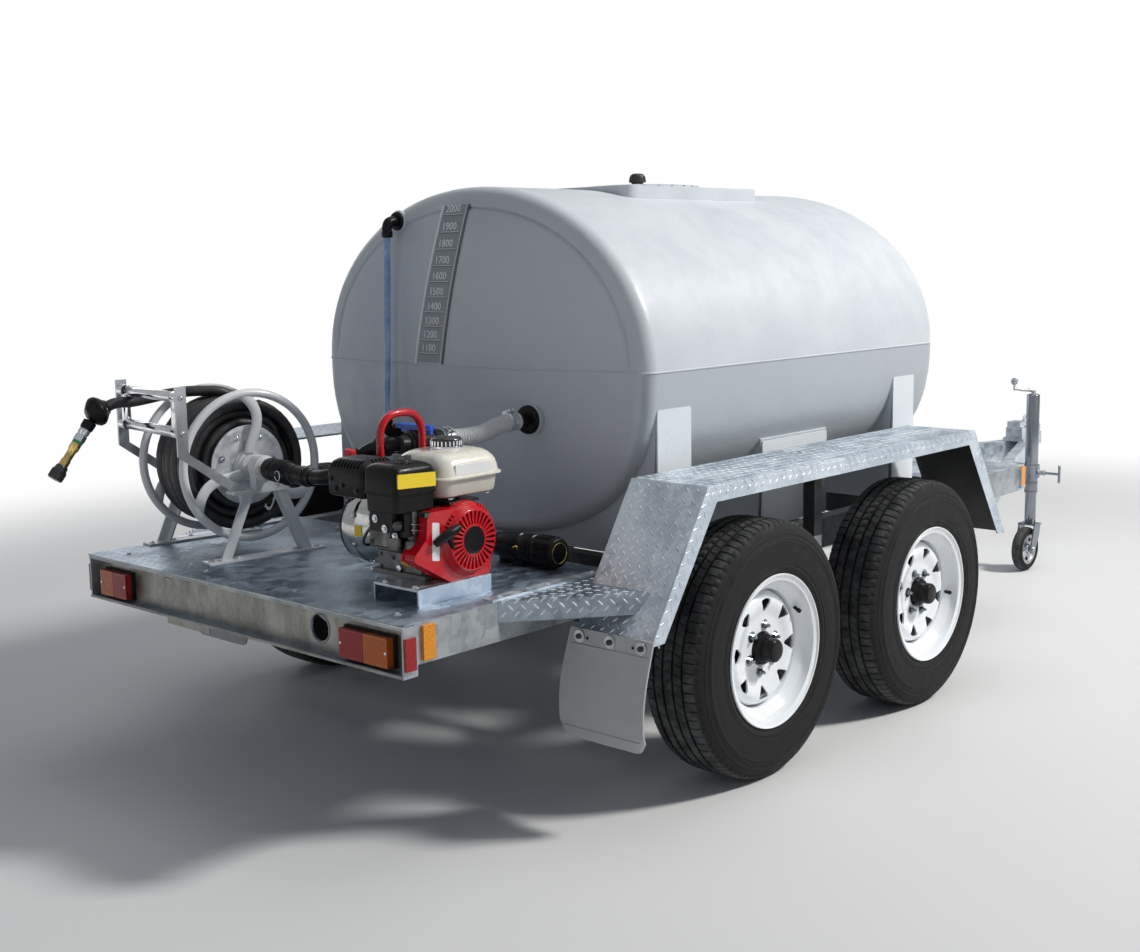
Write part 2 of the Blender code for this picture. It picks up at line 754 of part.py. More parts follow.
def make_steps():
    """A chequer gusset with a turned-down lip, from the rail to the guard's slope."""
    for side in (-1, 1):
        inner = DECK_HALF_WIDTH + JOINT_GAP
        top = DECK_TOP
        outline = [
            (side * inner, STEP_REAR_Y),
            (side * STEP_CORNER_X, STEP_CORNER_Y),
            (side * STEP_CORNER_X, STEP_FRONT_Y),
            (side * inner, STEP_FRONT_Y),
        ]
        plate = slab(outline, GUARD_PLATE, "z", top - GUARD_PLATE / 2)
        run = Vector((STEP_CORNER_X - inner, STEP_CORNER_Y - STEP_REAR_Y))
        inward = Vector((-run.y, run.x)).normalized() * GUARD_PLATE
        lip_outline = [
            (side * inner, STEP_REAR_Y),
            (side * STEP_CORNER_X, STEP_CORNER_Y),
            (side * (STEP_CORNER_X + inward.x), STEP_CORNER_Y + inward.y),
            (side * inner, STEP_REAR_Y + inward.y * 1.6),
        ]
        lip = slab(lip_outline, STEP_LIP, "z", top - 0.0004 - STEP_LIP / 2)
        low, high = top - 2 * STEP_LIP, top + STEP_LIP
        clear = [
            (guard_slope_y(low) - JOINT_GAP, low),
            (guard_slope_y(high) - JOINT_GAP, high),
            (0.0, high),
            (0.0, low),
        ]
        width = GUARD_OUTER_X - GUARD_INNER_X + 0.02
        room = slab(clear, width, "x", side * (GUARD_INNER_X - JOINT_GAP + width / 2))
        node("step_" + side_name(side), "galvanised", cut(joined(plate, lip), room))


def make_flaps():
    """Rubber flaps that bow backwards, cut to a taper along both edges."""
    drop = FLAP_TOP_Z - FLAP_BOTTOM_Z
    front = [(FLAP_Y + FLAP_PLATE / 2, FLAP_TOP_Z)]
    for i in range(FLAP_STEPS + 1):
        share = i / FLAP_STEPS
        bow = FLAP_BOW * math.sin(math.pi * share)
        front.append((FLAP_Y + FLAP_PLATE / 2 - bow, GUARD_END_Z - share * (GUARD_END_Z - FLAP_BOTTOM_Z)))
    back = [(y - FLAP_PLATE, z) for y, z in front[::-1]]
    low, high = FLAP_BOTTOM_Z - 0.01, FLAP_TOP_Z + 0.01
    for side in (-1, 1):
        inner_top, outer_top = FLAP_TOP_X
        inner_low, outer_low = FLAP_BOTTOM_X
        width = outer_top - inner_low
        sheet = slab(front + back, width, "x", side * (inner_low + width / 2))
        wedges = []
        for top_x, low_x, beyond in ((inner_top, inner_low, -0.05), (outer_top, outer_low, 0.05)):
            lean = (top_x - low_x) / drop * 0.01
            outline = [
                (side * (low_x - lean), low),
                (side * (top_x + lean), high),
                (side * (top_x + beyond), high),
                (side * (low_x + beyond), low),
            ]
            wedges.append(slab(outline, 0.2, "y", FLAP_Y))
        node("mud_flap_" + side_name(side), "flap_grey", cut(sheet, *wedges))


def make_lamps():
    """Rear lamps in the channel: a base plate with two lenses on it."""
    back = REAR_WEB_Y - REAR_CHANNEL_WALL - JOINT_GAP
    low, high = LAMP_HEIGHTS
    for side in (-1, 1):
        inner, outer = (side * (DECK_HALF_WIDTH - inset) for inset in LAMP_INSETS[side])
        left, right = min(inner, outer), max(inner, outer)
        middle = (left + right) / 2
        base = box((left - 0.004, back - 0.010, low - 0.004), (right + 0.004, back, high + 0.004))
        lenses = [
            bevelled(box((left, back - LAMP_DEPTH, low), (middle - 0.001, back - 0.005, high)), 0.004),
            bevelled(box((middle + 0.001, back - LAMP_DEPTH, low), (right, back - 0.005, high)), 0.004),
        ]
        node("tail_lamp_" + side_name(side), "red_lens", joined(base, *lenses))


# Wheels


def make_wheel(end, side, axle_y):
    name = end + "_" + side_name(side)
    centre = (side * WHEEL_CENTRE_X, axle_y, AXLE_Z)
    axis = pivot("wheel_axis_" + name, centre)
    place = spin_about_x(centre, side)
    node("tyre_" + name, "tyre_rubber", tyre(place), axis, smooth=40)
    node("rim_" + name, "rim_white", placed(joined(rim(), hub()), place), axis)


def tyre(place):
    half = TYRE_WIDTH / 2
    bead = TYRE_BEAD_RADIUS
    tread = TYRE_RADIUS
    side_wall = [
        (bead, RIM_WIDTH / 2 - 0.0006),
        (bead + 0.022, RIM_WIDTH / 2 + 0.0035),
        (bead + 0.085, half),
        (tread - 0.035, 0.46 * TYRE_WIDTH),
        (tread - 0.008, 0.375 * TYRE_WIDTH),
        (tread, 0.30 * TYRE_WIDTH),
    ]
    profile = side_wall + [(r, -h) for r, h in side_wall[::-1]] + [side_wall[0]]
    return turned(profile, steps=TYRE_STEPS, matrix=place)


def rim():
    """A well rim joined to a dished disc with holes."""
    half = RIM_WIDTH / 2
    wall = RIM_WALL
    seat = TYRE_BEAD_RADIUS * math.cos(math.pi / TYRE_STEPS) - JOINT_GAP
    flange = RIM_FLANGE_RADIUS
    well = seat - 0.03
    barrel_profile = [
        (flange, half + 0.012),
        (flange, half + 0.006),
        (seat, half),
        (seat, half - 0.012),
        (well, half - 0.04),
        (well, -half + 0.04),
        (seat, -half + 0.012),
        (seat, -half),
        (flange, -half - 0.006),
        (flange, -half - 0.012),
        (seat - wall, -half - 0.008),
        (well - wall, -half + 0.034),
        (well - wall, half - 0.034),
        (seat - wall, half + 0.008),
        (flange, half + 0.012),
    ]
    barrel = turned(barrel_profile, steps=24)
    face = half - RIM_DISC_INSET
    disc_profile = [
        (HUB_RADIUS + 0.001, face + 0.012),
        (0.110, face + 0.012),
        (0.135, face + 0.024),
        (well - wall + 0.001, face - 0.010),
        (well - wall + 0.001, face - 0.019),
        (0.135, face + 0.015),
        (0.110, face + 0.004),
        (HUB_RADIUS + 0.001, face + 0.004),
        (HUB_RADIUS + 0.001, face + 0.012),
    ]
    disc = turned(disc_profile, steps=24)
    cutters = []
    for index in range(RIM_HOLES):
        angle = math.tau * (index + 0.5) / RIM_HOLES
        out = Matrix.Rotation(angle, 4, "Z")
        outline = [(0.158, 0.0), (0.124, 0.026), (0.124, -0.026)]
        cutters.append(slab(outline, 0.12, "z", face, matrix=out))
    return joined(cut(disc, *cutters), barrel)


def hub():
    """A flanged hub with its dust cap, hollow for the spindle."""
    face = RIM_WIDTH / 2 - RIM_DISC_INSET
    bore = SPINDLE_RADIUS + 0.0005
    profile = [
        (0.0, face + 0.012 + DUST_CAP_LENGTH),
        (DUST_CAP_RADIUS * 0.8, face + 0.012 + DUST_CAP_LENGTH),
        (DUST_CAP_RADIUS, face + 0.004 + DUST_CAP_LENGTH),
        (DUST_CAP_RADIUS, face + 0.030),
        (HUB_RADIUS - 0.004, face + 0.024),
        (HUB_RADIUS + 0.006, face + 0.008),
        (HUB_FLANGE_RADIUS, face + 0.006),
        (HUB_FLANGE_RADIUS, face - 0.008),
        (HUB_RADIUS, face - 0.012),
        (HUB_RADIUS, face - HUB_BODY_DEPTH),
        (bore, face - HUB_BODY_DEPTH),
        (bore, WHEEL_SPINDLE_END),
        (0.0, WHEEL_SPINDLE_END),
    ]
    return turned(profile, steps=16)


# Tank


def tank_section(shrink, scale=1.0):
    """One ring of points of the tank's oval section, each half with its own power."""
    points = []
    count = 48
    for i in range(count):
        angle = math.tau * i / count
        c, s = math.cos(angle), math.sin(angle)
        power = TANK_UPPER_POWER if s >= 0 else TANK_LOWER_POWER
        height = TANK_UP if s >= 0 else TANK_DOWN
        x = (TANK_HALF_WIDTH - shrink) * math.copysign(abs(c) ** (2 / power), c)
        z = (height - shrink) * math.copysign(abs(s) ** (2 / power), s)
        points.append((x * scale, z * scale + TANK_SEAM_Z))
    return points


def tank_stations():
    """(y, shrink, scale) along the tank: a domed end, a rounded edge, then the long body."""
    edge = []
    quarter = 5
    for i in range(quarter + 1):
        angle = math.pi / 2 * i / quarter
        y = TANK_END_BULGE + TANK_EDGE_ROUND * (1 - math.sin(angle))
        edge.append((y, TANK_EDGE_ROUND * (1 - math.cos(angle)), 1.0))
    dome = [(TANK_END_BULGE * scale**2, TANK_EDGE_ROUND, scale) for scale in TANK_DOME_RINGS]
    stations = dome + edge[::-1]
    rear = [(TANK_REAR + y, shrink, scale) for y, shrink, scale in stations]
    front = [(TANK_FRONT - y, shrink, scale) for y, shrink, scale in stations[::-1]]
    return rear + front


def end_pad(x, z, face_y, radius):
    """A round pad on the tank's rear end with a flat face for a fitting."""
    return rod((x, face_y, z), (x, TANK_REAR + 0.20, z), radius, 20)


def make_tank():
    bm = bmesh.new()
    rings = []
    for y, shrink, scale in tank_stations():
        rings.append([bm.verts.new((x, y, z)) for x, z in tank_section(shrink, scale)])
    for first, second in zip(rings, rings[1:]):
        for i in range(len(first)):
            j = (i + 1) % len(first)
            bm.faces.new((first[i], first[j], second[j], second[i]))
    for ring, y in ((rings[0], TANK_REAR), (rings[-1], TANK_FRONT)):
        tip = bm.verts.new((0.0, y, TANK_SEAM_Z))
        for i in range(len(ring)):
            bm.faces.new((ring[i], ring[(i + 1) % len(ring)], tip))
    bmesh.ops.recalc_face_normals(bm, faces=bm.faces)
    shell = from_bmesh(bm)
    feet = []
    for y, half, inset, top in TANK_FEET:
        reach = DECK_HALF_WIDTH - inset
        outline = [
            (-reach + 0.012, RAIL_TOP + JOINT_GAP),
            (reach - 0.012, RAIL_TOP + JOINT_GAP),
            (reach, top),
            (reach - 0.03, top + 0.012),
            (-reach + 0.03, top + 0.012),
            (-reach, top),
        ]
        feet.append(slab(outline, 2 * half, "y", y))
    pads = [
        end_pad(OUTLET_X, OUTLET_Z, OUTLET_FACE_Y, 0.048),
        end_pad(SIGHT_X, SIGHT_TOP[0], SIGHT_TOP[1], 0.034),
        end_pad(SIGHT_X, SIGHT_LOW[0], SIGHT_LOW[1], 0.032),
    ]
    top = TANK_SEAM_Z + TANK_UP
    plateau = bevelled(
        box((-0.26, TANK_MIDDLE - 0.36, top - 0.08), (0.26, TANK_MIDDLE + 0.36, top + 0.006)),
        0.02,
        2,
    )
    node("tank", "tank_grey", joined(shell, plateau, *feet, *pads), smooth=35)
    lid_z = top + 0.006 + JOINT_GAP
    lid = turned(
        [
            (0.0, LID_HEIGHT),
            (LID_RADIUS * 0.30, LID_HEIGHT - 0.001),
            (LID_RADIUS * 0.86, LID_HEIGHT - 0.004),
            (LID_RADIUS * 0.97, LID_HEIGHT - 0.008),
            (LID_RADIUS, 0.0),
            (0.0, 0.0),
        ],
        steps=28,
        matrix=Matrix.Translation((0.0, TANK_MIDDLE, lid_z)),
    )
    vent = turned(
        [
            (0.0, VENT_HEIGHT),
            (0.019, VENT_HEIGHT),
            (0.025, VENT_HEIGHT - 0.006),
            (0.030, 0.014),
            (0.020, 0.012),
            (0.020, 0.0),
            (0.0, 0.0),
        ],
        steps=16,
        matrix=Matrix.Translation((0.0, TANK_MIDDLE, lid_z + LID_HEIGHT - 0.003)),
    )
    node("tank_lid", "tank_grey", joined(lid, vent))


def make_sight_tube():
    """A clear tube on the tank's rear end, between an upper and a lower elbow."""
    pieces = []
    ends = []
    for (z, face_y), way in ((SIGHT_TOP, -1), (SIGHT_LOW, 1)):
        seat = face_y - JOINT_GAP
        out = face_y - SIGHT_STANDOFF
        pieces.append(rod((SIGHT_X, seat, z), (SIGHT_X, seat - 0.016, z), 0.029, 16))
        bend = [
            (SIGHT_X, seat - 0.012, z),
            (SIGHT_X, out + 0.022, z),
            (SIGHT_X, out + 0.0065, z + way * 0.0065),
            (SIGHT_X, out, z + way * 0.022),
            (SIGHT_X, out, z + way * 0.052),
        ]
        pieces.append(pipe(bend, 0.0135))
        ends.append((SIGHT_X, out, z + way * 0.045))
    tube = pipe(ends, 0.009)
    node("sight_tube", "clear_blue", joined(tube, *pieces))


# Hose reel


def reel_matrix():
    place = Matrix.Translation((REEL_CENTRE[0], REEL_CENTRE[1], REEL_AXIS_Z))
    return place @ Matrix.Rotation(REEL_YAW, 4, "Z")


def reel_floor(z):
    return z - REEL_AXIS_Z


def make_reel_stands():
    """Two A-frames of bar on foot plates, each with a bearing plate on top."""
    turn = reel_matrix()
    deck = reel_floor(DECK_TOP + JOINT_GAP)
    top = reel_floor(REEL_TOP_Z)
    for side in (1, -1):
        x = side * REEL_FOOT_HALF_SPACING
        half = REEL_FOOT_WIDTH / 2
        foot = box(
            (x - half, -REEL_FOOT_LENGTH / 2, deck),
            (x + half, REEL_FOOT_LENGTH / 2, deck + REEL_FOOT_PLATE),
        )
        legs = []
        for way in (-1, 1):
            bar = REEL_LEG_BAR
            outline = [
                (way * 0.035, top),
                (way * (0.035 + bar), top),
                (way * (0.118 + bar), deck + 0.002),
                (way * 0.118, deck + 0.002),
            ]
            legs.append(slab(outline, 0.006, "x", x + side * 0.012))
            web = [
                (way * 0.035, top),
                (way * 0.041, top),
                (way * 0.124, deck + 0.002),
                (way * 0.118, deck + 0.002),
            ]
            legs.append(slab(web, 0.03, "x", x - side * 0.003))
        plate = box((x - 0.024, -0.105, top - 0.004), (x + 0.024, 0.075, top + 0.004))
        block = box((x - 0.018, -0.030, top), (x + 0.018, 0.030, top + 0.045))
        bearing = rod((x - 0.02, 0, 0), (x + 0.02, 0, 0), 0.036, 20)
        stand = joined(foot, *legs, plate, block, bearing)
        bore = rod((x - 0.05, 0, 0), (x + 0.05, 0, 0), 0.0185, 20)
        stand = cut(stand, bore)
        name = "reel_stand_near" if side > 0 else "reel_stand_far"
        node(name, "reel_grey", placed(stand, turn))


def make_reel_drum():
    """The turning part: shaft, hub drum with its discs, spoked rings and the wound hose."""
    turn = reel_matrix()
    spin = pivot("reel_axis", (REEL_CENTRE[0], REEL_CENTRE[1], REEL_AXIS_Z))
    along = Matrix.Rotation(math.radians(90.0), 4, "Y")
    gap = REEL_RING_HALF_SPACING
    shaft = rod((-0.232, 0, 0), (0.232, 0, 0), 0.0175, 20)
    drum = turned(
        [
            (0.0, gap - 0.016),
            (REEL_HUB_DISC_RADIUS, gap - 0.016),
            (REEL_HUB_DISC_RADIUS, gap - 0.022),
            (REEL_HUB_RADIUS, gap - 0.022),
            (REEL_HUB_RADIUS, -gap + 0.022),
            (REEL_HUB_DISC_RADIUS, -gap + 0.022),
            (REEL_HUB_DISC_RADIUS, -gap + 0.016),
            (0.0, -gap + 0.016),
        ],
        steps=28,
        matrix=along,
    )
    parts = [drum, shaft]
    for side in (1, -1):
        x = side * gap
        ring_points = [(x, y, z) for y, z in circle((0, 0), REEL_RING_RADIUS, 28)]
        ring = pipe(ring_points, REEL_RING_TUBE, cyclic=True, resolution=1)
        boss = rod((x - side * 0.02, 0, 0), (x + side * 0.012, 0, 0), 0.042, 20)
        spokes = []
        for index in range(REEL_SPOKES):
            angle = math.tau * (index + 0.79) / REEL_SPOKES
            points = []
            for step in range(5):
                share = step / 4
                radius = 0.033 + (REEL_RING_RADIUS - 0.037) * share
                swing = angle - 0.28 * math.sin(math.pi * share)
                points.append((x + 0.0007, radius * math.cos(swing), radius * math.sin(swing)))
            spokes.append(pipe(points, 0.0113, resolution=1))
        parts += [boss, ring, *spokes]
    node("reel_drum", "reel_grey", placed(joined(*parts), turn), spin)
    inner = REEL_HUB_RADIUS + JOINT_GAP
    outer = 0.198
    half = gap - REEL_RING_TUBE - 0.022
    coil = turned(
        [
            (inner, half - 0.012),
            (inner + 0.012, half),
            (outer - 0.014, half),
            (outer, half - 0.014),
            (outer, -half + 0.014),
            (outer - 0.014, -half),
            (inner + 0.012, -half),
            (inner, -half + 0.012),
            (inner, half - 0.012),
        ],
        steps=28,
        matrix=along,
    )
    node("wound_hose", "hose_black", placed(coil, turn), spin)


def make_fairlead():
    """Bent flat bars from the stands carry four rollers, with the hose through them."""
    turn = reel_matrix()
    reach = -FAIRLEAD_REACH
    high = reel_floor(FAIRLEAD_HIGH_ROLLER_Z)
    low = reel_floor(FAIRLEAD_LOW_ROLLER_Z)
    knee = reel_floor(FAIRLEAD_KNEE_Z)
    plate = reel_floor(REEL_TOP_Z) + 0.004 + JOINT_GAP
    bar, width = FAIRLEAD_BAR, FAIRLEAD_BAR_WIDTH
    half = REEL_FOOT_HALF_SPACING
    pieces = []
    for side in (1, -1):
        x = side * half
        outline = [
            (-0.040, plate),
            (-0.100, plate),
            (reach - 0.5 * width, knee),
            (reach - 0.5 * width, high + 0.03),
            (reach + 0.5 * width, high + 0.03),
            (reach + 0.5 * width, knee + 0.006),
            (-0.096, plate + bar + 0.022),
            (-0.040, plate + bar),
        ]
        pieces.append(slab(outline, bar, "x", x))
    inner = half - 0.012
    for z in (low, high):
        pieces.append(rod((-half, reach, z), (half, reach, z), 0.006, 8))
        pieces.append(rod((-inner, reach, z), (inner, reach, z), ROLLER_RADIUS, 16))
    for side in (1, -1):
        x = side * (inner - 0.02)
        y = reach
        pieces.append(rod((x, y, low + 0.005), (x, y, high - 0.005), ROLLER_RADIUS * 0.9, 12))
    node("fairlead", "chrome", placed(joined(*pieces), turn))


def make_hose_tail():
    """The hose end from the coil's top through the rollers, with its stop and nozzle."""
    turn = reel_matrix()
    x = HOSE_TAIL_X
    centre = Vector((x, -0.346, 0.168))
    axis = Vector((0.0, 0.94, 0.342)).normalized()
    end = centre + axis * (STOP_FRONT + JOINT_GAP)
    points = [
        (x + 0.068, -0.040, 0.2110),
        (x + 0.048, -0.095, 0.2105),
        (x + 0.022, -0.150, 0.2030),
        (x + 0.004, -0.200, 0.1930),
        (x, -0.243, 0.1880),
        (x, -0.272, 0.1890),
        tuple(end + axis * 0.018),
        tuple(end),
    ]
    node("hose_tail", "hose_black", placed(pipe(points, HOSE_RADIUS), turn))
    down = Vector((0.0, -0.597, -0.803)).normalized()
    tilt = Vector((0, 0, 1)).rotation_difference(axis).to_matrix().to_4x4()
    ball = turned(
        [
            (0.0, STOP_FRONT),
            (0.022, STOP_FRONT - 0.002),
            (0.040, 0.014),
            (0.044, 0.0),
            (0.040, -0.014),
            (0.022, -0.028),
            (0.0, -0.030),
        ],
        steps=20,
        matrix=Matrix.Translation(centre) @ tilt,
    )
    node("hose_stop", "black_plastic", placed(ball, turn))
    neck = centre + down * (0.0355 + JOINT_GAP)
    nozzle = joined(
        rod(neck, neck + down * 0.05, 0.020, 14),
        rod(neck + down * 0.048, neck + down * 0.10, 0.0155, 14),
        rod(neck + down * 0.098, neck + down * 0.16, 0.0135, 14),
        rod(neck + down * 0.155, neck + down * 0.197, 0.0225, 16),
    )
    node("nozzle", "brass", placed(nozzle, turn))


# Engine and pump


def make_bracket():
    """A folded tray under the engine, open at its rear end."""
    low, high = DECK_TOP + JOINT_GAP, ENGINE_BRACKET_TOP
    left, right = TRAY_X
    wall = 0.006
    length = TRAY_Y[1] - TRAY_Y[0]
    middle = (TRAY_Y[0] + TRAY_Y[1]) / 2
    outline = [
        (left, low),
        (left + wall, low),
        (left + wall, high - wall),
        (right - wall, high - wall),
        (right - wall, low),
        (right, low),
        (right, high),
        (left, high),
    ]
    node("engine_tray", "galvanised", slab(outline, length, "y", middle))


def make_engine():
    """Crankcase, cowl, fuel tank, air cleaner, muffler guard and carry handle."""
    base = ENGINE_BRACKET_TOP + JOINT_GAP
    y0 = CRANK_Y
    block = bevelled(box((BLOCK_BACK_X, y0 - 0.085, base), (0.535, y0 + 0.075, base + 0.19)), 0.012)
    head = bevelled(box((0.40, y0 - 0.17, base + 0.08), (0.50, y0 - 0.07, base + 0.19)), 0.012)
    fins = []
    for k in range(HEAD_FINS):
        z = base + 0.095 + k * 0.0185
        fins.append(box((0.392, y0 - 0.178, z), (0.508, y0 - 0.075, z + 0.005)))
    node("engine_block", "engine_metal", joined(block, head, *fins))
    make_recoil_cover(base, y0)
    seam = base + FUEL_SEAM
    tank_top = base + 0.325
    tank = joined(
        bevelled(box((0.365, y0 - 0.076, seam - 0.002), (0.570, y0 + 0.145, tank_top)), 0.026, 3),
        bevelled(box((0.372, y0 - 0.068, base + 0.2075), (0.562, y0 + 0.138, seam + 0.004)), 0.012),
        bevelled(box((0.358, y0 - 0.0815, seam - 0.006), (0.577, y0 + 0.152, seam + 0.0015)), 0.002),
    )
    cap = turned(
        [
            (0.0, 0.030),
            (0.039, 0.030),
            (0.042, 0.026),
            (0.042, 0.004),
            (0.034, -0.004),
            (0.0, -0.004),
        ],
        steps=20,
        matrix=Matrix.Translation((0.475, y0 + 0.03, tank_top)),
    )
    neck_low = base + 0.1903
    neck = box((0.40, y0 - 0.05, neck_low), (0.50, y0 + 0.05, base + 0.212))
    node("fuel_tank", "cream_paint", joined(tank, cap, neck), smooth=50)
    low = base + 0.1903
    lid_z = base + 0.312
    cleaner = bevelled(box((0.432, y0 - 0.226, low), (0.562, y0 - 0.0825, lid_z)), 0.014, 2)
    knob = rod((0.497, y0 - 0.155, lid_z - 0.002), (0.497, y0 - 0.155, lid_z + 0.018), 0.014, 12)
    carburettor = rod((0.535, y0 - 0.155, base + 0.115), (0.535, y0 - 0.155, low + 0.004), 0.018, 14)
    node("air_cleaner", "black_plastic", joined(cleaner, knob, carburettor), smooth=50)
    guard = bevelled(box((0.285, y0 - 0.22, base + 0.215), (0.4315, y0 - 0.095, lid_z)), 0.010, 2)
    stub = box((0.404, y0 - 0.15, low), (0.428, y0 - 0.11, base + 0.22))
    slots = []
    for k in range(MUFFLER_SLOTS):
        x = 0.300 + k * 0.0215
        slots.append(box((x, y0 - 0.25, lid_z - 0.012), (x + 0.009, y0 - 0.19, lid_z + 0.01)))
    node("muffler_guard", "black_plastic", joined(cut(guard, *slots), stub), smooth=50)
    x = 0.338
    rear_leg, front_leg = y0 - 0.078, y0 + 0.070
    top = 1.062
    carry = pipe(
        [
            (x, rear_leg, base + 0.1903),
            (x, rear_leg, top - 0.045),
            (x, rear_leg + 0.014, top - 0.014),
            (x, rear_leg + 0.045, top),
            (x, front_leg - 0.045, top),
            (x, front_leg - 0.014, top - 0.014),
            (x, front_leg, top - 0.045),
            (x, front_leg, base + 0.1903),
        ],
        0.0105,
    )
    node("carry_handle", "red_paint", carry)


def make_recoil_cover(base, y0):
    """The slotted starter cover on its cowl, with the starter's grip beside it."""
    outwards = Matrix.Rotation(math.radians(90), 4, "Y")
    place = Matrix.Translation((RECOIL_FACE_X, y0, CRANK_Z)) @ outwards
    depth = COWL_BACK - 0.0004
    shroud = turned(
        [
            (0.0, 0.0),
            (RECOIL_RADIUS * 0.72, 0.0),
            (RECOIL_RADIUS * 0.92, -0.012),
            (RECOIL_RADIUS, -0.032),
            (RECOIL_RADIUS, -depth),
            (0.0, -depth),
        ],
        steps=32,
        matrix=place,
    )
    inner, outer = RECOIL_SLOT_RADII
    half = RECOIL_SLOT_WIDTH / 2
    slots = []
    for k in range(RECOIL_SLOTS):
        slot = box((inner, -half, -RECOIL_SLOT_DEPTH), (outer, half, 0.01))
        turn = Matrix.Rotation(math.tau * (k + 0.5) / RECOIL_SLOTS, 4, "Z")
        slots.append(placed(slot, place @ turn))
    badge = rod(
        (RECOIL_FACE_X - 0.002, y0, CRANK_Z),
        (RECOIL_FACE_X + 0.0015, y0, CRANK_Z),
        RECOIL_BADGE_RADIUS,
        24,
    )
    outline = [
        (y0 + 0.075, base),
        (y0 - 0.070, base),
        (y0 - 0.190, base + 0.070),
        (y0 - 0.185, base + 0.085),
        (y0 - 0.105, base + 0.120),
        (y0 - 0.105, base + 0.175),
        (y0 - 0.130, base + 0.187),
        (y0 + 0.050, base + 0.187),
        (y0 + 0.088, base + 0.140),
    ]
    back = RECOIL_FACE_X - COWL_BACK
    cowl = bevelled(slab(outline, COWL_DEPTH, "x", back + COWL_DEPTH / 2), 0.006)
    grip = rod(
        (RECOIL_FACE_X - 0.020, y0 - 0.140, CRANK_Z - 0.004),
        (RECOIL_FACE_X - 0.004, y0 - 0.085, CRANK_Z + 0.050),
        0.011,
        12,
    )
    node("recoil_cover", "red_paint", joined(cut(shroud, *slots), cowl, badge, grip))


def make_pump():
    """The pump's bell-shaped casing on the engine's drive side."""
    along = Matrix.Rotation(math.radians(-90), 4, "Y")
    casing = turned(
        [
            (0.0, PUMP_LENGTH),
            (0.034, PUMP_LENGTH),
            (0.040, 0.157),
            (0.088, 0.150),
            (0.104, 0.132),
            (0.107, 0.115),
            (0.107, 0.090),
            (0.098, 0.080),
            (0.085, 0.045),
            (0.080, 0.010),
            (0.060, 0.0),
            (0.0, 0.0),
        ],
        steps=28,
        matrix=Matrix.Translation((PUMP_BACK_X, CRANK_Y, CRANK_Z)) @ along,
    )
    outlet = rod((0.235, CRANK_Y, CRANK_Z + 0.07), (0.235, CRANK_Y, CRANK_Z + 0.125), 0.028, 16)
    node("pump_casing", "polished_alloy", joined(casing, outlet))


def make_plumbing():
    """Suction line from the tank to the pump and the delivery line to the reel's shaft."""
    out_x, out_z = OUTLET_X, OUTLET_Z
    flange = turned(
        [(0.0, 0.05), (0.021, 0.05), (0.021, 0.014), (0.040, 0.012), (0.043, 0.0), (0.0, 0.0)],
        steps=20,
        matrix=Matrix.Translation((out_x, OUTLET_FACE_Y - JOINT_GAP, out_z))
        @ Matrix.Rotation(math.radians(90), 4, "X"),
    )
    node("tank_outlet", "black_plastic", flange)
    hose_start = OUTLET_FACE_Y - 2 * JOINT_GAP - 0.05
    valve_x = VALVE_X
    valve_y = TANK_REAR - VALVE_BEHIND_TANK
    z = out_z - 0.028
    hose = pipe(
        [
            (out_x, hose_start, out_z),
            (out_x, TANK_REAR - 0.09, out_z),
            (out_x, TANK_REAR - 0.14, out_z - 0.008),
            (out_x - 0.005, TANK_REAR - 0.19, out_z - 0.022),
            (out_x - 0.020, TANK_REAR - 0.24, z),
            (valve_x, TANK_REAR - 0.29, z),
            (valve_x, valve_y, z),
        ],
        0.026,
    )
    node("suction_hose", "suction_grey", hose)
    inlet_x = PUMP_BACK_X - PUMP_LENGTH - JOINT_GAP
    down_x = inlet_x - 0.03
    valve = joined(
        rod((valve_x, valve_y - JOINT_GAP, z), (valve_x, valve_y - 0.05, z), 0.030, 16),
        rod((valve_x, valve_y - 0.048, z), (valve_x, valve_y - 0.115, z), 0.036, 16),
        pipe(
            [
                (valve_x, valve_y - 0.10, z),
                (valve_x, valve_y - 0.125, z),
                (valve_x - 0.027, valve_y - 0.150, z - 0.004),
                (down_x + 0.046, CRANK_Y + 0.039, z - 0.012),
                (down_x + 0.012, CRANK_Y + 0.019, z - 0.035),
                (down_x, CRANK_Y, z - 0.075),
                (down_x, CRANK_Y, CRANK_Z + 0.02),
                (down_x + 0.016, CRANK_Y, CRANK_Z),
                (inlet_x, CRANK_Y, CRANK_Z),
            ],
            0.021,
        ),
        bevelled(
            box((valve_x - 0.075, valve_y - 0.098, z + 0.034), (valve_x + 0.06, valve_y - 0.070, z + 0.058)),
            0.006,
        ),
    )
    node("suction_valve", "black_plastic", valve)
    turn = reel_matrix()
    start = turn @ Vector((REEL_FOOT_HALF_SPACING + 0.0335, 0, 0))
    middle = turn @ Vector((REEL_FOOT_HALF_SPACING + 0.17, 0, 0))
    end = turn @ Vector((REEL_FOOT_HALF_SPACING + 0.30, 0, 0))
    outlet_top = CRANK_Z + 0.125 + JOINT_GAP
    delivery = joined(
        rod(start, middle, 0.034, 16),
        rod(turn @ Vector((REEL_FOOT_HALF_SPACING + 0.16, 0, 0)), end, 0.026, 16),
        pipe(
            [
                turn @ Vector((REEL_FOOT_HALF_SPACING + 0.28, 0, 0)),
                (0.13, CRANK_Y - 0.075, REEL_AXIS_Z + 0.012),
                (0.20, CRANK_Y - 0.03, REEL_AXIS_Z + 0.040),
                (0.232, CRANK_Y - 0.005, REEL_AXIS_Z + 0.038),
                (0.235, CRANK_Y, outlet_top + 0.015),
                (0.235, CRANK_Y, outlet_top),
            ],
            0.021,
        ),
    )
    node("delivery_line", "black_plastic", delivery)


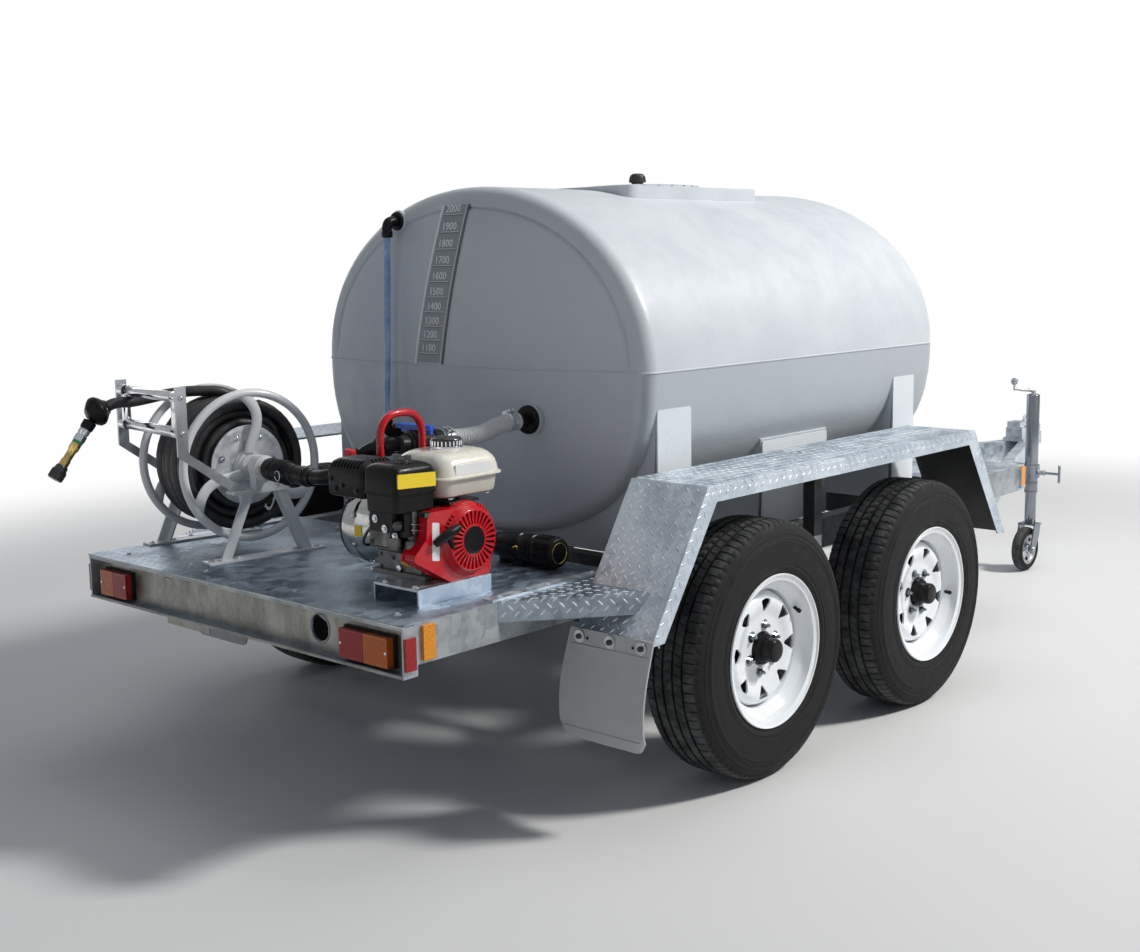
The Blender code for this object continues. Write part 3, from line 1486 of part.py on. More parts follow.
def make_fill_point():
    """A capped camlock fill coupling that lies along X beside the deck's right edge."""
    y, z = -0.85, 0.656
    along = Matrix.Translation((0.34, y, z)) @ Matrix.Rotation(math.radians(90), 4, "Y")
    body = turned(
        [
            (0.0, 0.232),
            (0.038, 0.232),
            (0.044, 0.226),
            (0.046, 0.16),
            (0.040, 0.155),
            (0.040, 0.10),
            (0.044, 0.095),
            (0.044, 0.03),
            (0.034, 0.025),
            (0.034, 0.0),
            (0.0, 0.0),
        ],
        steps=24,
        matrix=along,
    )
    saddle = box((0.42, y - 0.03, DECK_TOP + JOINT_GAP), (0.46, y + 0.03, z - 0.02))
    node("fill_coupling", "black_plastic", joined(body, saddle))


# Jockey wheel


def make_jockey():
    x, y = JOCKEY_X, JOCKEY_Y
    rail_x = drawbar_outer_x(y) + JOINT_GAP
    outer = rod((x, y, JOCKEY_OUTER_BOTTOM), (x, y, JOCKEY_OUTER_TOP), JOCKEY_OUTER_RADIUS, 20)
    bore = rod((x, y, JOCKEY_OUTER_BOTTOM - 0.01), (x, y, JOCKEY_OUTER_TOP - 0.03), JOCKEY_BORE_RADIUS, 20)
    tube = cut(outer, bore)
    crank = pipe(
        [
            (x, y, JOCKEY_OUTER_TOP - 0.002),
            (x, y, JOCKEY_OUTER_TOP + 0.018),
            (x - 0.03, y - 0.035, JOCKEY_OUTER_TOP + 0.024),
            (x - 0.06, y - 0.07, JOCKEY_OUTER_TOP + 0.030),
            (x - 0.06, y - 0.07, JOCKEY_OUTER_TOP + 0.062),
        ],
        0.007,
    )
    knob = rod(
        (x - 0.06, y - 0.07, JOCKEY_OUTER_TOP + 0.048),
        (x - 0.06, y - 0.07, JOCKEY_OUTER_TOP + 0.078),
        0.013,
        12,
    )
    node("jockey_outer_tube", "zinc", joined(tube, crank, knob))
    clamp_z = (DRAWBAR_TOP + DRAWBAR_BOTTOM) / 2
    ring = rod((x, y, clamp_z - 0.03), (x, y, clamp_z + 0.03), JOCKEY_OUTER_RADIUS + 0.008, 20)
    normal = Vector((1.0, DRAWBAR_SLOPE)).normalized()
    run = Vector((-normal.y, normal.x))
    seat = Vector((rail_x, y))
    corners = [
        seat - run * 0.045,
        seat + run * 0.045,
        seat + run * 0.045 + normal * 0.008,
        Vector((x, y)) + run * 0.030,
        Vector((x, y)) - run * 0.030,
        seat - run * 0.045 + normal * 0.008,
    ]
    plate = slab([tuple(c) for c in corners], 0.055, "z", clamp_z)
    screw = rod((x + 0.02, y, clamp_z - 0.035 + 0.03), (x + 0.135, y, clamp_z - 0.035 + 0.03), 0.006, 10)
    grip = rod((x + 0.133, y, clamp_z - 0.045), (x + 0.133, y, clamp_z + 0.035), 0.006, 10)
    clamp = joined(ring, plate, screw, grip)
    hole = rod((x, y, clamp_z - 0.06), (x, y, clamp_z + 0.06), JOCKEY_OUTER_RADIUS + JOINT_GAP, 20)
    node("jockey_clamp", "galvanised", cut(clamp, hole))
    slide = pivot("jockey_slide_axis", (x, y, JOCKEY_FORK_TOP))
    stem = rod((x, y, JOCKEY_FORK_TOP + JOINT_GAP), (x, y, JOCKEY_OUTER_BOTTOM + 0.24), JOCKEY_INNER_RADIUS, 20)
    node("jockey_inner_tube", "zinc", stem, slide)
    swivel = pivot("jockey_swivel_axis", (x, y, JOCKEY_FORK_TOP), slide)
    wheel_y = y - JOCKEY_TRAIL
    axle_z = JOCKEY_WHEEL_RADIUS
    half = JOCKEY_WHEEL_WIDTH / 2 + 0.008
    crown = box((x - half - 0.008, y - 0.037, JOCKEY_FORK_TOP - 0.007), (x + half + 0.008, y + 0.030, JOCKEY_FORK_TOP))
    arms = []
    for way in (-1, 1):
        outline = [
            (y + 0.026, JOCKEY_FORK_TOP - 0.003),
            (y - 0.033, JOCKEY_FORK_TOP - 0.003),
            (wheel_y - 0.018, axle_z + 0.02),
            (wheel_y - 0.018, axle_z - 0.018),
            (wheel_y + 0.018, axle_z - 0.018),
            (y + 0.015, axle_z + 0.06),
        ]
        arms.append(slab(outline, 0.006, "x", x + way * (half + 0.003)))
    pin = rod((x - half - 0.012, wheel_y, axle_z), (x + half + 0.012, wheel_y, axle_z), 0.007, 12)
    node("jockey_fork", "zinc", joined(crown, *arms, pin), swivel)
    axle = pivot("jockey_wheel_axis", (x, wheel_y, axle_z), swivel)
    w = JOCKEY_WHEEL_WIDTH / 2
    r = JOCKEY_WHEEL_RADIUS
    wheel = turned(
        [
            (0.0075, w - 0.002),
            (0.022, w - 0.002),
            (0.060, w - 0.014),
            (r - 0.022, w),
            (r, w - 0.018),
            (r, -w + 0.018),
            (r - 0.022, -w),
            (0.060, -w + 0.014),
            (0.022, -w + 0.002),
            (0.0075, -w + 0.002),
            (0.0075, w - 0.002),
        ],
        steps=24,
        matrix=spin_about_x((x, wheel_y, axle_z), 1),
    )
    node("jockey_wheel", "tyre_rubber", wheel, axle)


def build():
    make_decks()
    make_rails()
    make_cross_members()
    make_springs()
    make_axles()
    make_drawbar()
    make_coupling()
    make_guards()
    make_steps()
    make_flaps()
    make_lamps()
    for end, axle_y in zip(("rear", "front"), AXLE_YS):
        for side in (-1, 1):
            make_wheel(end, side, axle_y)
    make_tank()
    make_sight_tube()
    make_reel_stands()
    make_reel_drum()
    make_fairlead()
    make_hose_tail()
    make_bracket()
    make_engine()
    make_pump()
    make_plumbing()
    make_fill_point()
    make_jockey()


build()
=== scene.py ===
"""Looks of the tandem-axle firefighting trailer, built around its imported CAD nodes.

Shapes are written in the axle frame: the point on the ground midway between the axles.
AHEAD then moves them into the row frame, so each piece sits where its CAD node is.
"""

import json
import math
from math import cos, pi, sin, tau

import bmesh
import bpy
import numpy as np
from mathutils import Matrix, Vector


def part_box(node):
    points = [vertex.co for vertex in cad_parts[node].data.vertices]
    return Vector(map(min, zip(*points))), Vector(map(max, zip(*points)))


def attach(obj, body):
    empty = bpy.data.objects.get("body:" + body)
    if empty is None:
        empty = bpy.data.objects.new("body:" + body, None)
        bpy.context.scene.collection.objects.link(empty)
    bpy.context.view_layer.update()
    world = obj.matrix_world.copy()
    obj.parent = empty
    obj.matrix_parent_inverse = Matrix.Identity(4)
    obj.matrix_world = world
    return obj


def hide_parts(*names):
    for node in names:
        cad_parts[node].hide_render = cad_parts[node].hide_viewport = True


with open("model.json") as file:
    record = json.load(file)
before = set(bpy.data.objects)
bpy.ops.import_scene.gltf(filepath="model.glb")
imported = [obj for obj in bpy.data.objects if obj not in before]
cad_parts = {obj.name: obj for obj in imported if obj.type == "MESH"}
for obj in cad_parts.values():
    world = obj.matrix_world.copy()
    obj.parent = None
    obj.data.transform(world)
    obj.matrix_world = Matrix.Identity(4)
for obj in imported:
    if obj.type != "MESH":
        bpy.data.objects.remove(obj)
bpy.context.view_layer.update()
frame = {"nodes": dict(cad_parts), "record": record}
NODES = frame["nodes"]


def middle(node):
    low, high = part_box(node)
    return (low + high) / 2


AHEAD = (middle("tyre_rear_right").y + middle("tyre_front_right").y) / 2
AXLE_Z = middle("tyre_rear_right").z
WHEEL_X = middle("tyre_rear_right").x
DECK_TOP, WEB_FACE = 0.609, -1.5056
SIDES = (("right", 1), ("left", -1))
UP, DOWN, BACK = (0, 0, 1), (0, 0, -1), (0, -1, 0)
AXLE_YS = {"rear": middle("tyre_rear_right").y - AHEAD, "front": middle("tyre_front_right").y - AHEAD}


# Shader arithmetic: sockets that add, multiply and mix


class Val:
    """A number socket that can be reckoned with."""

    def __init__(self, tree, socket):
        self.tree = tree
        self.socket = socket

    def op(self, kind, *others):
        node = self.tree.nodes.new("ShaderNodeMath")
        node.operation = kind
        for slot, value in zip(node.inputs, (self, *others)):
            if isinstance(value, Val):
                self.tree.links.new(value.socket, slot)
            else:
                slot.default_value = value
        return Val(self.tree, node.outputs[0])

    def __add__(self, other):
        return self.op("ADD", other)

    def __mul__(self, other):
        return self.op("MULTIPLY", other)

    def power(self, other):
        return self.op("POWER", other)

    def most(self, other):
        return self.op("MAXIMUM", other)

    def step(self, low, high, out_low=0.0, out_high=1.0):
        """Goes smoothly from one value to the other between low and high."""
        node = self.tree.nodes.new("ShaderNodeMapRange")
        node.interpolation_type = "SMOOTHSTEP"
        self.tree.links.new(self.socket, node.inputs["Value"])
        for key, value in (
            ("From Min", low), ("From Max", high), ("To Min", out_low), ("To Max", out_high)
        ):
            node.inputs[key].default_value = value
        return Val(self.tree, node.outputs["Result"])


KIT = {}


class Finish:
    """A Principled material with object coordinates and short ways to texture it."""

    def __init__(self, name, colour, roughness=0.5, metallic=0.0, **settings):
        self.material = KIT[name] = bpy.data.materials.new(name)
        self.material.use_nodes = True
        self.tree = self.material.node_tree
        self.shader = self.tree.nodes["Principled BSDF"]
        self.colour = (*colour, 1.0)
        self.set("Base Color", self.colour)
        self.set("Roughness", roughness)
        self.set("Metallic", metallic)
        for key, value in settings.items():
            self.set(key.replace("_", " ").title().replace("Ior", "IOR"), value)
        self.material.diffuse_color = self.colour
        self.place = self.tree.nodes.new("ShaderNodeTexCoord").outputs["Object"]

    def set(self, key, value):
        if isinstance(value, Val):
            value = value.socket
        if isinstance(value, bpy.types.NodeSocket):
            self.tree.links.new(value, self.shader.inputs[key])
        else:
            self.shader.inputs[key].default_value = value

    def axis(self, name):
        node = self.tree.nodes.new("ShaderNodeSeparateXYZ")
        self.tree.links.new(self.place, node.inputs[0])
        return Val(self.tree, node.outputs[name])

    def facing(self, name):
        node = self.tree.nodes.new("ShaderNodeNewGeometry")
        split = self.tree.nodes.new("ShaderNodeSeparateXYZ")
        self.tree.links.new(node.outputs["Normal"], split.inputs[0])
        return Val(self.tree, split.outputs[name])

    def stretched(self, stretch):
        node = self.tree.nodes.new("ShaderNodeVectorMath")
        node.operation = "MULTIPLY"
        self.tree.links.new(self.place, node.inputs[0])
        node.inputs[1].default_value = stretch
        return node.outputs[0]

    def noise(self, scale, detail=3.0, rough=0.55, stretch=None, low=0.35, high=0.65):
        node = self.tree.nodes.new("ShaderNodeTexNoise")
        self.tree.links.new(self.stretched(stretch) if stretch else self.place, node.inputs["Vector"])
        node.inputs["Scale"].default_value = scale
        node.inputs["Detail"].default_value = detail
        node.inputs["Roughness"].default_value = rough
        return Val(self.tree, node.outputs["Fac"]).step(low, high)

    def cells(self, scale, output="Distance"):
        node = self.tree.nodes.new("ShaderNodeTexVoronoi")
        self.tree.links.new(self.place, node.inputs["Vector"])
        node.inputs["Scale"].default_value = scale
        if output == "Color":
            split = self.tree.nodes.new("ShaderNodeSeparateColor")
            self.tree.links.new(node.outputs["Color"], split.inputs[0])
            return Val(self.tree, split.outputs[0])
        return Val(self.tree, node.outputs[output])

    def mixed(self, factor, first, second):
        node = self.tree.nodes.new("ShaderNodeMix")
        node.data_type = "RGBA"
        self.tree.links.new(factor.socket, node.inputs["Factor"])
        for slot, value in ((node.inputs[6], first), (node.inputs[7], second)):
            if isinstance(value, bpy.types.NodeSocket):
                self.tree.links.new(value, slot)
            else:
                slot.default_value = (*value[:3], 1.0)
        return node.outputs[2]

    def bump(self, height, distance=0.001, strength=0.6):
        node = self.tree.nodes.new("ShaderNodeBump")
        node.inputs["Strength"].default_value = strength
        node.inputs["Distance"].default_value = distance
        self.tree.links.new(height.socket, node.inputs["Height"])
        self.tree.links.new(node.outputs["Normal"], self.shader.inputs["Normal"])
        return self

    def dusty(self, amount, roughness, dust=(0.36, 0.33, 0.29), scale=9.0):
        """Dirt in broken patches, and a roughness from a finer noise."""
        patches = self.noise(scale, 6.0, 0.65, low=0.46, high=0.74) * amount
        self.set("Base Color", self.mixed(patches, self.colour, dust))
        self.set("Roughness", self.noise(scale * 2.6, 4.0, 0.6).step(0.0, 1.0, *roughness))


def galvanised(name, light, dark, metallic=0.85, spangle=38.0, rough=(0.28, 0.52)):
    """Zinc with spangles, cloudy patches and fine grain."""
    made = Finish(name, light, 0.4, metallic)
    spangles = made.cells(spangle, "Color")
    clouds = made.noise(5.5, 5.0, 0.6)
    streaks = made.noise(16.0, 4.0, 0.6, stretch=(1.0, 0.35, 0.6))
    tone = spangles * 0.35 + clouds * 0.4 + streaks * 0.25
    made.set("Base Color", made.mixed(tone.step(0.12, 0.88), dark, light))
    made.set("Roughness", (spangles * 0.5 + streaks * 0.5).step(0.1, 0.9, *rough))
    return made.bump(spangles * 0.25 + made.noise(220.0, 2.0) * 0.75, 0.0004, 0.5)


def painted(name, colour, roughness=(0.22, 0.36), dust=0.1, coat=0.4, peel=0.0002):
    made = Finish(name, colour, roughness[0], 0.0, coat_weight=coat)
    made.dusty(dust, roughness)
    return made.bump(made.noise(160.0, 2.0), peel, 0.35)


def plastic(
    name, colour, roughness=(0.34, 0.52), dust=0.12, grain=420.0, depth=0.00015, peak=0.5, gloss=0.5
):
    made = Finish(name, colour, roughness[0], specular_ior_level=gloss)
    made.dusty(dust, roughness)
    return made.bump(made.noise(grain, 2.0), depth, peak)


def metal(name, colour, roughness=(0.12, 0.3), grain=(40.0, 3.0), metallic=1.0):
    """Bare or plated metal with soft smears and a fine grain."""
    made = Finish(name, colour, roughness[0], metallic)
    smears = made.noise(grain[1] * 6, 5.0, 0.6)
    shaded = tuple(c * 0.72 for c in colour)
    made.set("Base Color", made.mixed(smears, colour, shaded))
    made.set("Roughness", made.noise(grain[0], 4.0).step(0.0, 1.0, *roughness))
    return made.bump(made.noise(grain[0] * 9, 2.0), 0.0002, 0.25)


def make_finishes():
    galvanised("zinc_plate", (0.74, 0.79, 0.84), (0.4, 0.46, 0.53))
    # Painted shade and painted sky reflection: the deck's zinc is darker and bluer than the other zinc, as
    # in the tank's shadow
    deck = galvanised("zinc_deck_painted_shade", (0.42, 0.5, 0.58), (0.17, 0.22, 0.29), spangle=26.0)
    web = deck.facing("Y").step(-0.9, -0.5, 1.0, 0.0)
    stain = deck.noise(9.0, 6.0, 0.7, stretch=(1.0, 1.0, 0.5))
    zinc = deck.shader.inputs["Base Color"].links[0].from_socket
    deck.set(
        "Base Color", deck.mixed(web, zinc, deck.mixed(stain, (0.2, 0.195, 0.175), (0.34, 0.34, 0.315)))
    )
    # Painted shade: the steps are a darker zinc, as in the shadow of the guards
    galvanised("zinc_step_painted_shade", (0.36, 0.41, 0.46), (0.17, 0.21, 0.26))
    rail = galvanised("zinc_dull", (0.46, 0.49, 0.51), (0.26, 0.29, 0.31), 0.7, rough=(0.45, 0.65))
    # Painted shade: the posts under the guards are near black and barely metallic, as in the guards' shadow
    post = rail.axis("Z").step(0.6085, 0.612)
    zinc = rail.shader.inputs["Base Color"].links[0].from_socket
    rail.set("Base Color", rail.mixed(post, zinc, (0.022, 0.023, 0.024)))
    rail.set("Metallic", post.step(0.0, 1.0, 0.7, 0.1))

    guard = galvanised("zinc_guard", (0.7, 0.76, 0.82), (0.48, 0.55, 0.63), spangle=60.0)
    # Painted shade: faces that look down are near black and barely metallic, as in the shadow under the
    # guard
    under = guard.facing("Z").step(-0.25, -0.05, 1.0, 0.0)
    zinc = guard.shader.inputs["Base Color"].links[0].from_socket
    guard.set("Base Color", guard.mixed(under, zinc, (0.008, 0.0085, 0.009)))
    guard.set("Metallic", under.step(0.0, 1.0, 0.85, 0.1))

    tank = Finish("tank_plastic", (0.6, 0.635, 0.675), 0.4)
    cloud = tank.noise(2.4, 4.0, 0.55)
    skin = tank.mixed(cloud, (0.575, 0.61, 0.655), (0.635, 0.67, 0.71))
    # Painted shade: the sides below the seam are darker, as they turn from the light towards the ground
    lower_side_shade = tank.facing("X").power(2.0).step(0.1, 0.45) * tank.axis("Z").step(1.136, 1.141, 1.0, 0.0)
    tank.set("Base Color", tank.mixed(lower_side_shade, skin, (0.43, 0.465, 0.5)))
    tank.set("Roughness", tank.noise(14.0, 4.0).step(0.0, 1.0, 0.36, 0.5))
    tank.bump(tank.noise(90.0, 3.0) * 0.8 + tank.noise(7.0, 2.0) * 0.2, 0.0005, 0.4)
    # The foot colour is painted light: a paler grey for the feet's outer faces, as lit from the side
    for key, colour in (
        ("tank_line", (0.92, 0.94, 0.96)), ("tank_foot_painted_light", (0.7, 0.74, 0.78)),
        ("tank_band", (0.32, 0.345, 0.375)), ("tank_shade", (0.11, 0.12, 0.13))
    ):
        plastic(key, colour, (0.34, 0.46), 0.05, 90.0, 0.0004)

    tyre = Finish("tyre_rubber", (0.018, 0.018, 0.019), 0.72, specular_ior_level=0.25)
    wear = tyre.noise(24.0, 5.0, 0.6)
    wall = tyre.facing("X").power(2.0).step(0.15, 0.6)
    tread = tyre.mixed(wear, (0.03, 0.032, 0.034), (0.085, 0.088, 0.09))
    side = tyre.mixed(wear, (0.006, 0.006, 0.0065), (0.017, 0.017, 0.017))
    tyre.set("Base Color", tyre.mixed(wall, tread, side))
    tyre.set("Roughness", wear.step(0.0, 1.0, 0.58, 0.8))
    tyre.bump(tyre.noise(320.0, 3.0), 0.0004, 0.5)

    plastic("black_plastic", (0.01, 0.01, 0.011), (0.34, 0.52), 0.04, gloss=0.15)
    galvanised("reel_disc", (0.8, 0.82, 0.84), (0.5, 0.53, 0.56), 0.7, 60.0)

    red = painted("red_paint", (0.56, 0.004, 0.012), (0.2, 0.3), 0.03, 0.25)
    red.set("Specular IOR Level", 0.3)

    hose = Finish("hose_rubber", (0.022, 0.022, 0.024), 0.5)
    hose.dusty(0.22, (0.34, 0.56), (0.13, 0.125, 0.12), 30.0)
    hose.bump(hose.noise(160.0, 3.0), 0.0004, 0.5)

    # Painted shade: the rear lamps' amber is darker than the markers' amber
    for key, colour in (
        ("red_lens", (0.42, 0.006, 0.008)), ("amber_lens", (0.66, 0.135, 0.004)),
        ("marker", (1.0, 0.36, 0.01))
    ):
        lens = Finish(key, colour, 0.16, coat_weight=0.3, coat_roughness=0.08, specular_ior_level=0.25)
        deep = tuple(c * 0.55 for c in colour)
        lens.set("Base Color", lens.mixed(lens.cells(190.0), deep, colour))
        lens.bump(lens.cells(190.0), 0.0012, 0.5)
    tube = Finish("sight_tube", (0.34, 0.52, 0.8), 0.08, transmission_weight=0.25, ior=1.45)
    tube.set("Base Color", tube.mixed(tube.noise(12.0, 3.0), (0.26, 0.42, 0.76), (0.52, 0.67, 0.92)))
    for make, name, *settings in (
        (painted, "dark_steel", (0.03, 0.032, 0.034), (0.42, 0.62), 0.3, 0.0, 0.0004),
        (painted, "rim_white", (0.9, 0.93, 0.96), (0.14, 0.24), 0.05, 0.6),
        (painted, "black_gloss", (0.012, 0.012, 0.013), (0.16, 0.3), 0.12, 0.5),
        (plastic, "black_satin", (0.008, 0.008, 0.009), (0.24, 0.38), 0.02, 900.0, 0.00006, 0.2, 0.15),
        (plastic, "red_plastic", (0.55, 0.02, 0.025), (0.28, 0.4), 0.08),
        (painted, "cream_paint", (0.8, 0.78, 0.69), (0.18, 0.3), 0.06, 0.6),
        (painted, "cream_shade", (0.62, 0.6, 0.53), (0.26, 0.38), 0.12, 0.3),
        (metal, "cast_dark", (0.022, 0.022, 0.023), (0.34, 0.52), (60.0, 4.0), 0.5),
        (metal, "cast_metal", (0.17, 0.17, 0.168), (0.36, 0.58), (60.0, 4.0), 0.85),
        (metal, "polished_alloy", (0.58, 0.58, 0.57), (0.08, 0.2), (30.0, 2.5)),
        (metal, "chrome", (0.84, 0.85, 0.87), (0.05, 0.14), (24.0, 2.0)),
        (metal, "zinc_dark", (0.3, 0.33, 0.36), (0.2, 0.28), (8.0, 0.5), 0.95),
        (metal, "zinc_bar", (0.6, 0.63, 0.66), (0.3, 0.42), (20.0, 1.0), 0.7),
        (metal, "zinc_bright", (0.66, 0.69, 0.73), (0.22, 0.4), (46.0, 4.0), 0.95),
        (metal, "brass", (0.78, 0.56, 0.2), (0.16, 0.32), (40.0, 4.0)),
        (painted, "reel_grey", (0.7, 0.72, 0.74), (0.28, 0.42), 0.1, 0.3),
        (plastic, "flap_grey", (0.46, 0.475, 0.485), (0.4, 0.58), 0.35, 300.0, 0.0003),
        (plastic, "suction_grey", (0.56, 0.58, 0.59), (0.3, 0.46), 0.12),
        (plastic, "blue_plastic", (0.006, 0.11, 0.62), (0.24, 0.36), 0.05),
        (plastic, "green_ring", (0.01, 0.3, 0.16), (0.26, 0.36), 0.05),
        (plastic, "yellow_label", (0.9, 0.66, 0.02), (0.3, 0.4), 0.06),
        (plastic, "white_label", (0.84, 0.85, 0.86), (0.28, 0.38), 0.05),
        # A near-black finish for painted shade in gaps, holes and hollows
        (plastic, "dark_gap", (0.006, 0.006, 0.007), (0.7, 0.9), 0.0)
    ):
        make(name, *settings)


make_finishes()


# Shapes: each helper returns (points, faces), in metres


def stacked(*shapes):
    points, faces, start = [], [], 0
    for verts, polys in shapes:
        points.append(np.asarray(verts, float).reshape(-1, 3))
        faces += [tuple(i + start for i in poly) for poly in polys]
        start += len(points[-1])
    return np.concatenate(points), faces


def moved(shape, matrix):
    verts, faces = shape
    m = np.array(matrix)
    verts = np.asarray(verts, float) @ m[:3, :3].T + m[:3, 3]
    if np.linalg.det(m[:3, :3]) < 0:
        faces = [poly[::-1] for poly in faces]
    return verts, faces


def moved_all(shapes, matrix):
    return [moved(shape, matrix) for shape in shapes]


def shifted(shape, *offset):
    return np.asarray(shape[0], float) + np.array(offset), shape[1]


def placed(shape, *place):
    return moved(shape, Matrix.Translation(place))


def mirrored(shape):
    return moved(shape, Matrix.Diagonal((-1, 1, 1, 1)))


def along(direction, at=(0, 0, 0)):
    """Places a shape made about Z so that its Z runs along a direction."""
    spin = Vector((0, 0, 1)).rotation_difference(Vector(direction)).to_matrix().to_4x4()
    return Matrix.Translation(at) @ spin


def about_z(angle):
    return Matrix.Rotation(angle, 4, "Z")


def grid_faces(rows, columns, close_rows=False, close_columns=False):
    faces = []
    for i in range(rows if close_rows else rows - 1):
        for j in range(columns if close_columns else columns - 1):
            a = i * columns + j
            b = i * columns + (j + 1) % columns
            c = ((i + 1) % rows) * columns + (j + 1) % columns
            d = ((i + 1) % rows) * columns + j
            faces.append((a, b, c, d))
    return faces


def lathe(profile, steps=48, closed=False):
    """A profile of (radius, height), going down on the outside, turned about Z."""
    body = [p for p in profile if p[0] > 1e-6]
    angles = np.arange(steps) * tau / steps
    rings = [np.stack([r * np.cos(angles), r * np.sin(angles), np.full(steps, z)], 1) for r, z in body]
    verts = np.concatenate(rings)
    faces = [poly[::-1] for poly in grid_faces(len(body), steps, closed, True)]
    if not closed:
        last = (len(body) - 1) * steps
        faces.append(tuple(range(steps)))
        faces.append(tuple(range(last + steps - 1, last - 1, -1)))
    return verts, faces


def mm(*points):
    """Points given in millimetres, as a list in metres."""
    return [tuple(round(value / 1000, 7) for value in point) for point in points]


def near(base, *points):
    """Points given in millimetres from a place, as a list in metres."""
    return [tuple(b + value for b, value in zip(base, point)) for point in mm(*points)]


def turned(direction, at, *made):
    """A lathed shape whose axis runs along a direction from a place."""
    return moved(lathe(*made), along(direction, at))


def circle(radius, count, z):
    return [(radius * cos(a), radius * sin(a), z) for a in np.arange(count) * tau / count]


def ribs(count, radii, heights, *made, **more):
    """Thin tubes round Z, each through a radius at every height."""
    found = []
    for k in range(count):
        a = tau * k / count
        path = [(radius * cos(a), radius * sin(a), z) for radius, z in zip(radii, heights)]
        found.append(tube(path, *made, **more))
    return found


def repeated(shape, count, start=0.0):
    """Copies of a shape round Z, the first one at a share of the step."""
    return [moved(shape, about_z(tau * (k + start) / count)) for k in range(count)]


def smooth_path(points, per=8):
    """An open curve through all the points."""
    pts = [Vector(p) for p in points]
    ends = [pts[0] * 2 - pts[1], *pts, pts[-1] * 2 - pts[-2]]
    out = []
    for p0, p1, p2, p3 in zip(ends, ends[1:], ends[2:], ends[3:]):
        square = 2 * p0 - 5 * p1 + 4 * p2 - p3
        cube = 3 * p1 - p0 - 3 * p2 + p3
        for k in range(per):
            t = k / per
            out.append(0.5 * (2 * p1 + (p2 - p0) * t + square * t * t + cube * t**3))
    return out + [pts[-1]]


def tube(path, radius, sides=12, cyclic=False, swell=None):
    """A round tube along points; swell(share) scales its radius."""
    pts = [Vector(p) for p in path]
    count = len(pts)
    turns = np.arange(sides) * tau / sides
    normal = None
    rings = []
    for i, point in enumerate(pts):
        before = pts[(i - 1) % count] if cyclic or i > 0 else point
        after = pts[(i + 1) % count] if cyclic or i < count - 1 else point
        tangent = (after - before).normalized()
        if normal is None:
            normal = tangent.orthogonal().normalized()
        normal = (normal - tangent * normal.dot(tangent)).normalized()
        side = tangent.cross(normal)
        r = radius * (swell(i / max(1, count - 1)) if swell else 1.0)
        rings.append([point + (normal * cos(a) + side * sin(a)) * r for a in turns])
    verts = np.array([tuple(v) for ring in rings for v in ring])
    faces = grid_faces(count, sides, cyclic, True)
    if not cyclic:
        faces.append(tuple(range(sides - 1, -1, -1)))
        faces.append(tuple((count - 1) * sides + k for k in range(sides)))
    return verts, faces


def prism(outline, depth):
    """An outline of (x, y), anticlockwise, thick from z 0 to depth."""
    n = len(outline)
    verts = [(x, y, 0.0) for x, y in outline] + [(x, y, depth) for x, y in outline]
    faces = [tuple(range(n - 1, -1, -1)), tuple(range(n, 2 * n))]
    faces += [(i, (i + 1) % n, n + (i + 1) % n, n + i) for i in range(n)]
    return np.array(verts), faces


PLANES = {
    "x": Matrix(((0, 0, 1), (1, 0, 0), (0, 1, 0))).to_4x4(),
    "y": Matrix(((1, 0, 0), (0, 0, -1), (0, 1, 0))).to_4x4(), "z": Matrix.Identity(4)
}


def plate(outline, low, high, normal):
    """An outline in the plane across an axis, thick from low to high along that axis."""
    area = sum(a[0] * b[1] - b[0] * a[1] for a, b in zip(outline, outline[1:] + outline[:1]))
    outline = outline if area > 0 else outline[::-1]
    shape = prism(outline, high - low)
    offset = {"x": (low, 0, 0), "y": (0, high, 0), "z": (0, 0, low)}[normal]
    return moved(shape, Matrix.Translation(offset) @ PLANES[normal])


def rounded(outline, radius, segments=4):
    """The outline with each corner rounded."""
    out = []
    count = len(outline)
    for i in range(count):
        a, b, c = (Vector(outline[(i + k) % count]) for k in (-1, 0, 1))
        r = radius[i] if isinstance(radius, (list, tuple)) else radius
        u, v = (a - b).normalized(), (c - b).normalized()
        half = math.acos(max(-1.0, min(1.0, u.dot(v)))) / 2
        reach = min(r / max(1e-6, math.tan(half)), (a - b).length * 0.49, (c - b).length * 0.49)
        start, end = b + u * reach, b + v * reach
        for k in range(segments + 1):
            t = k / segments
            out.append(tuple(start * (1 - t) ** 2 + b * 2 * t * (1 - t) + end * t * t))
    return out


def from_bmesh(bm):
    bm.verts.index_update()
    verts = np.array([tuple(v.co) for v in bm.verts])
    faces = [tuple(v.index for v in f.verts) for f in bm.faces]
    bm.free()
    return verts, faces


def to_bmesh(shape):
    bm = bmesh.new()
    made = [bm.verts.new(tuple(v)) for v in shape[0]]
    for poly in shape[1]:
        if len(set(poly)) > 2:
            bm.faces.new([made[i] for i in poly])
    return bm


def bevel(shape, width, segments=2):
    """Rounds the edges that turn by more than 35 degrees."""
    bm = to_bmesh(shape)
    limit = math.radians(35.0)
    sharp = [e for e in bm.edges if len(e.link_faces) == 2 and e.calc_face_angle(0.0) > limit]
    bmesh.ops.bevel(
        bm, geom=sharp, offset=width, segments=segments, profile=0.5, affect="EDGES", clamp_overlap=True
    )
    return from_bmesh(bm)


def block(low, high, width=0.0, segments=2):
    bm = bmesh.new()
    bmesh.ops.create_cube(bm, size=1.0)
    low, high = Vector(low), Vector(high)
    bmesh.ops.scale(bm, vec=high - low, verts=bm.verts)
    bmesh.ops.translate(bm, vec=(low + high) / 2, verts=bm.verts)
    shape = from_bmesh(bm)
    return bevel(shape, width, segments) if width else shape


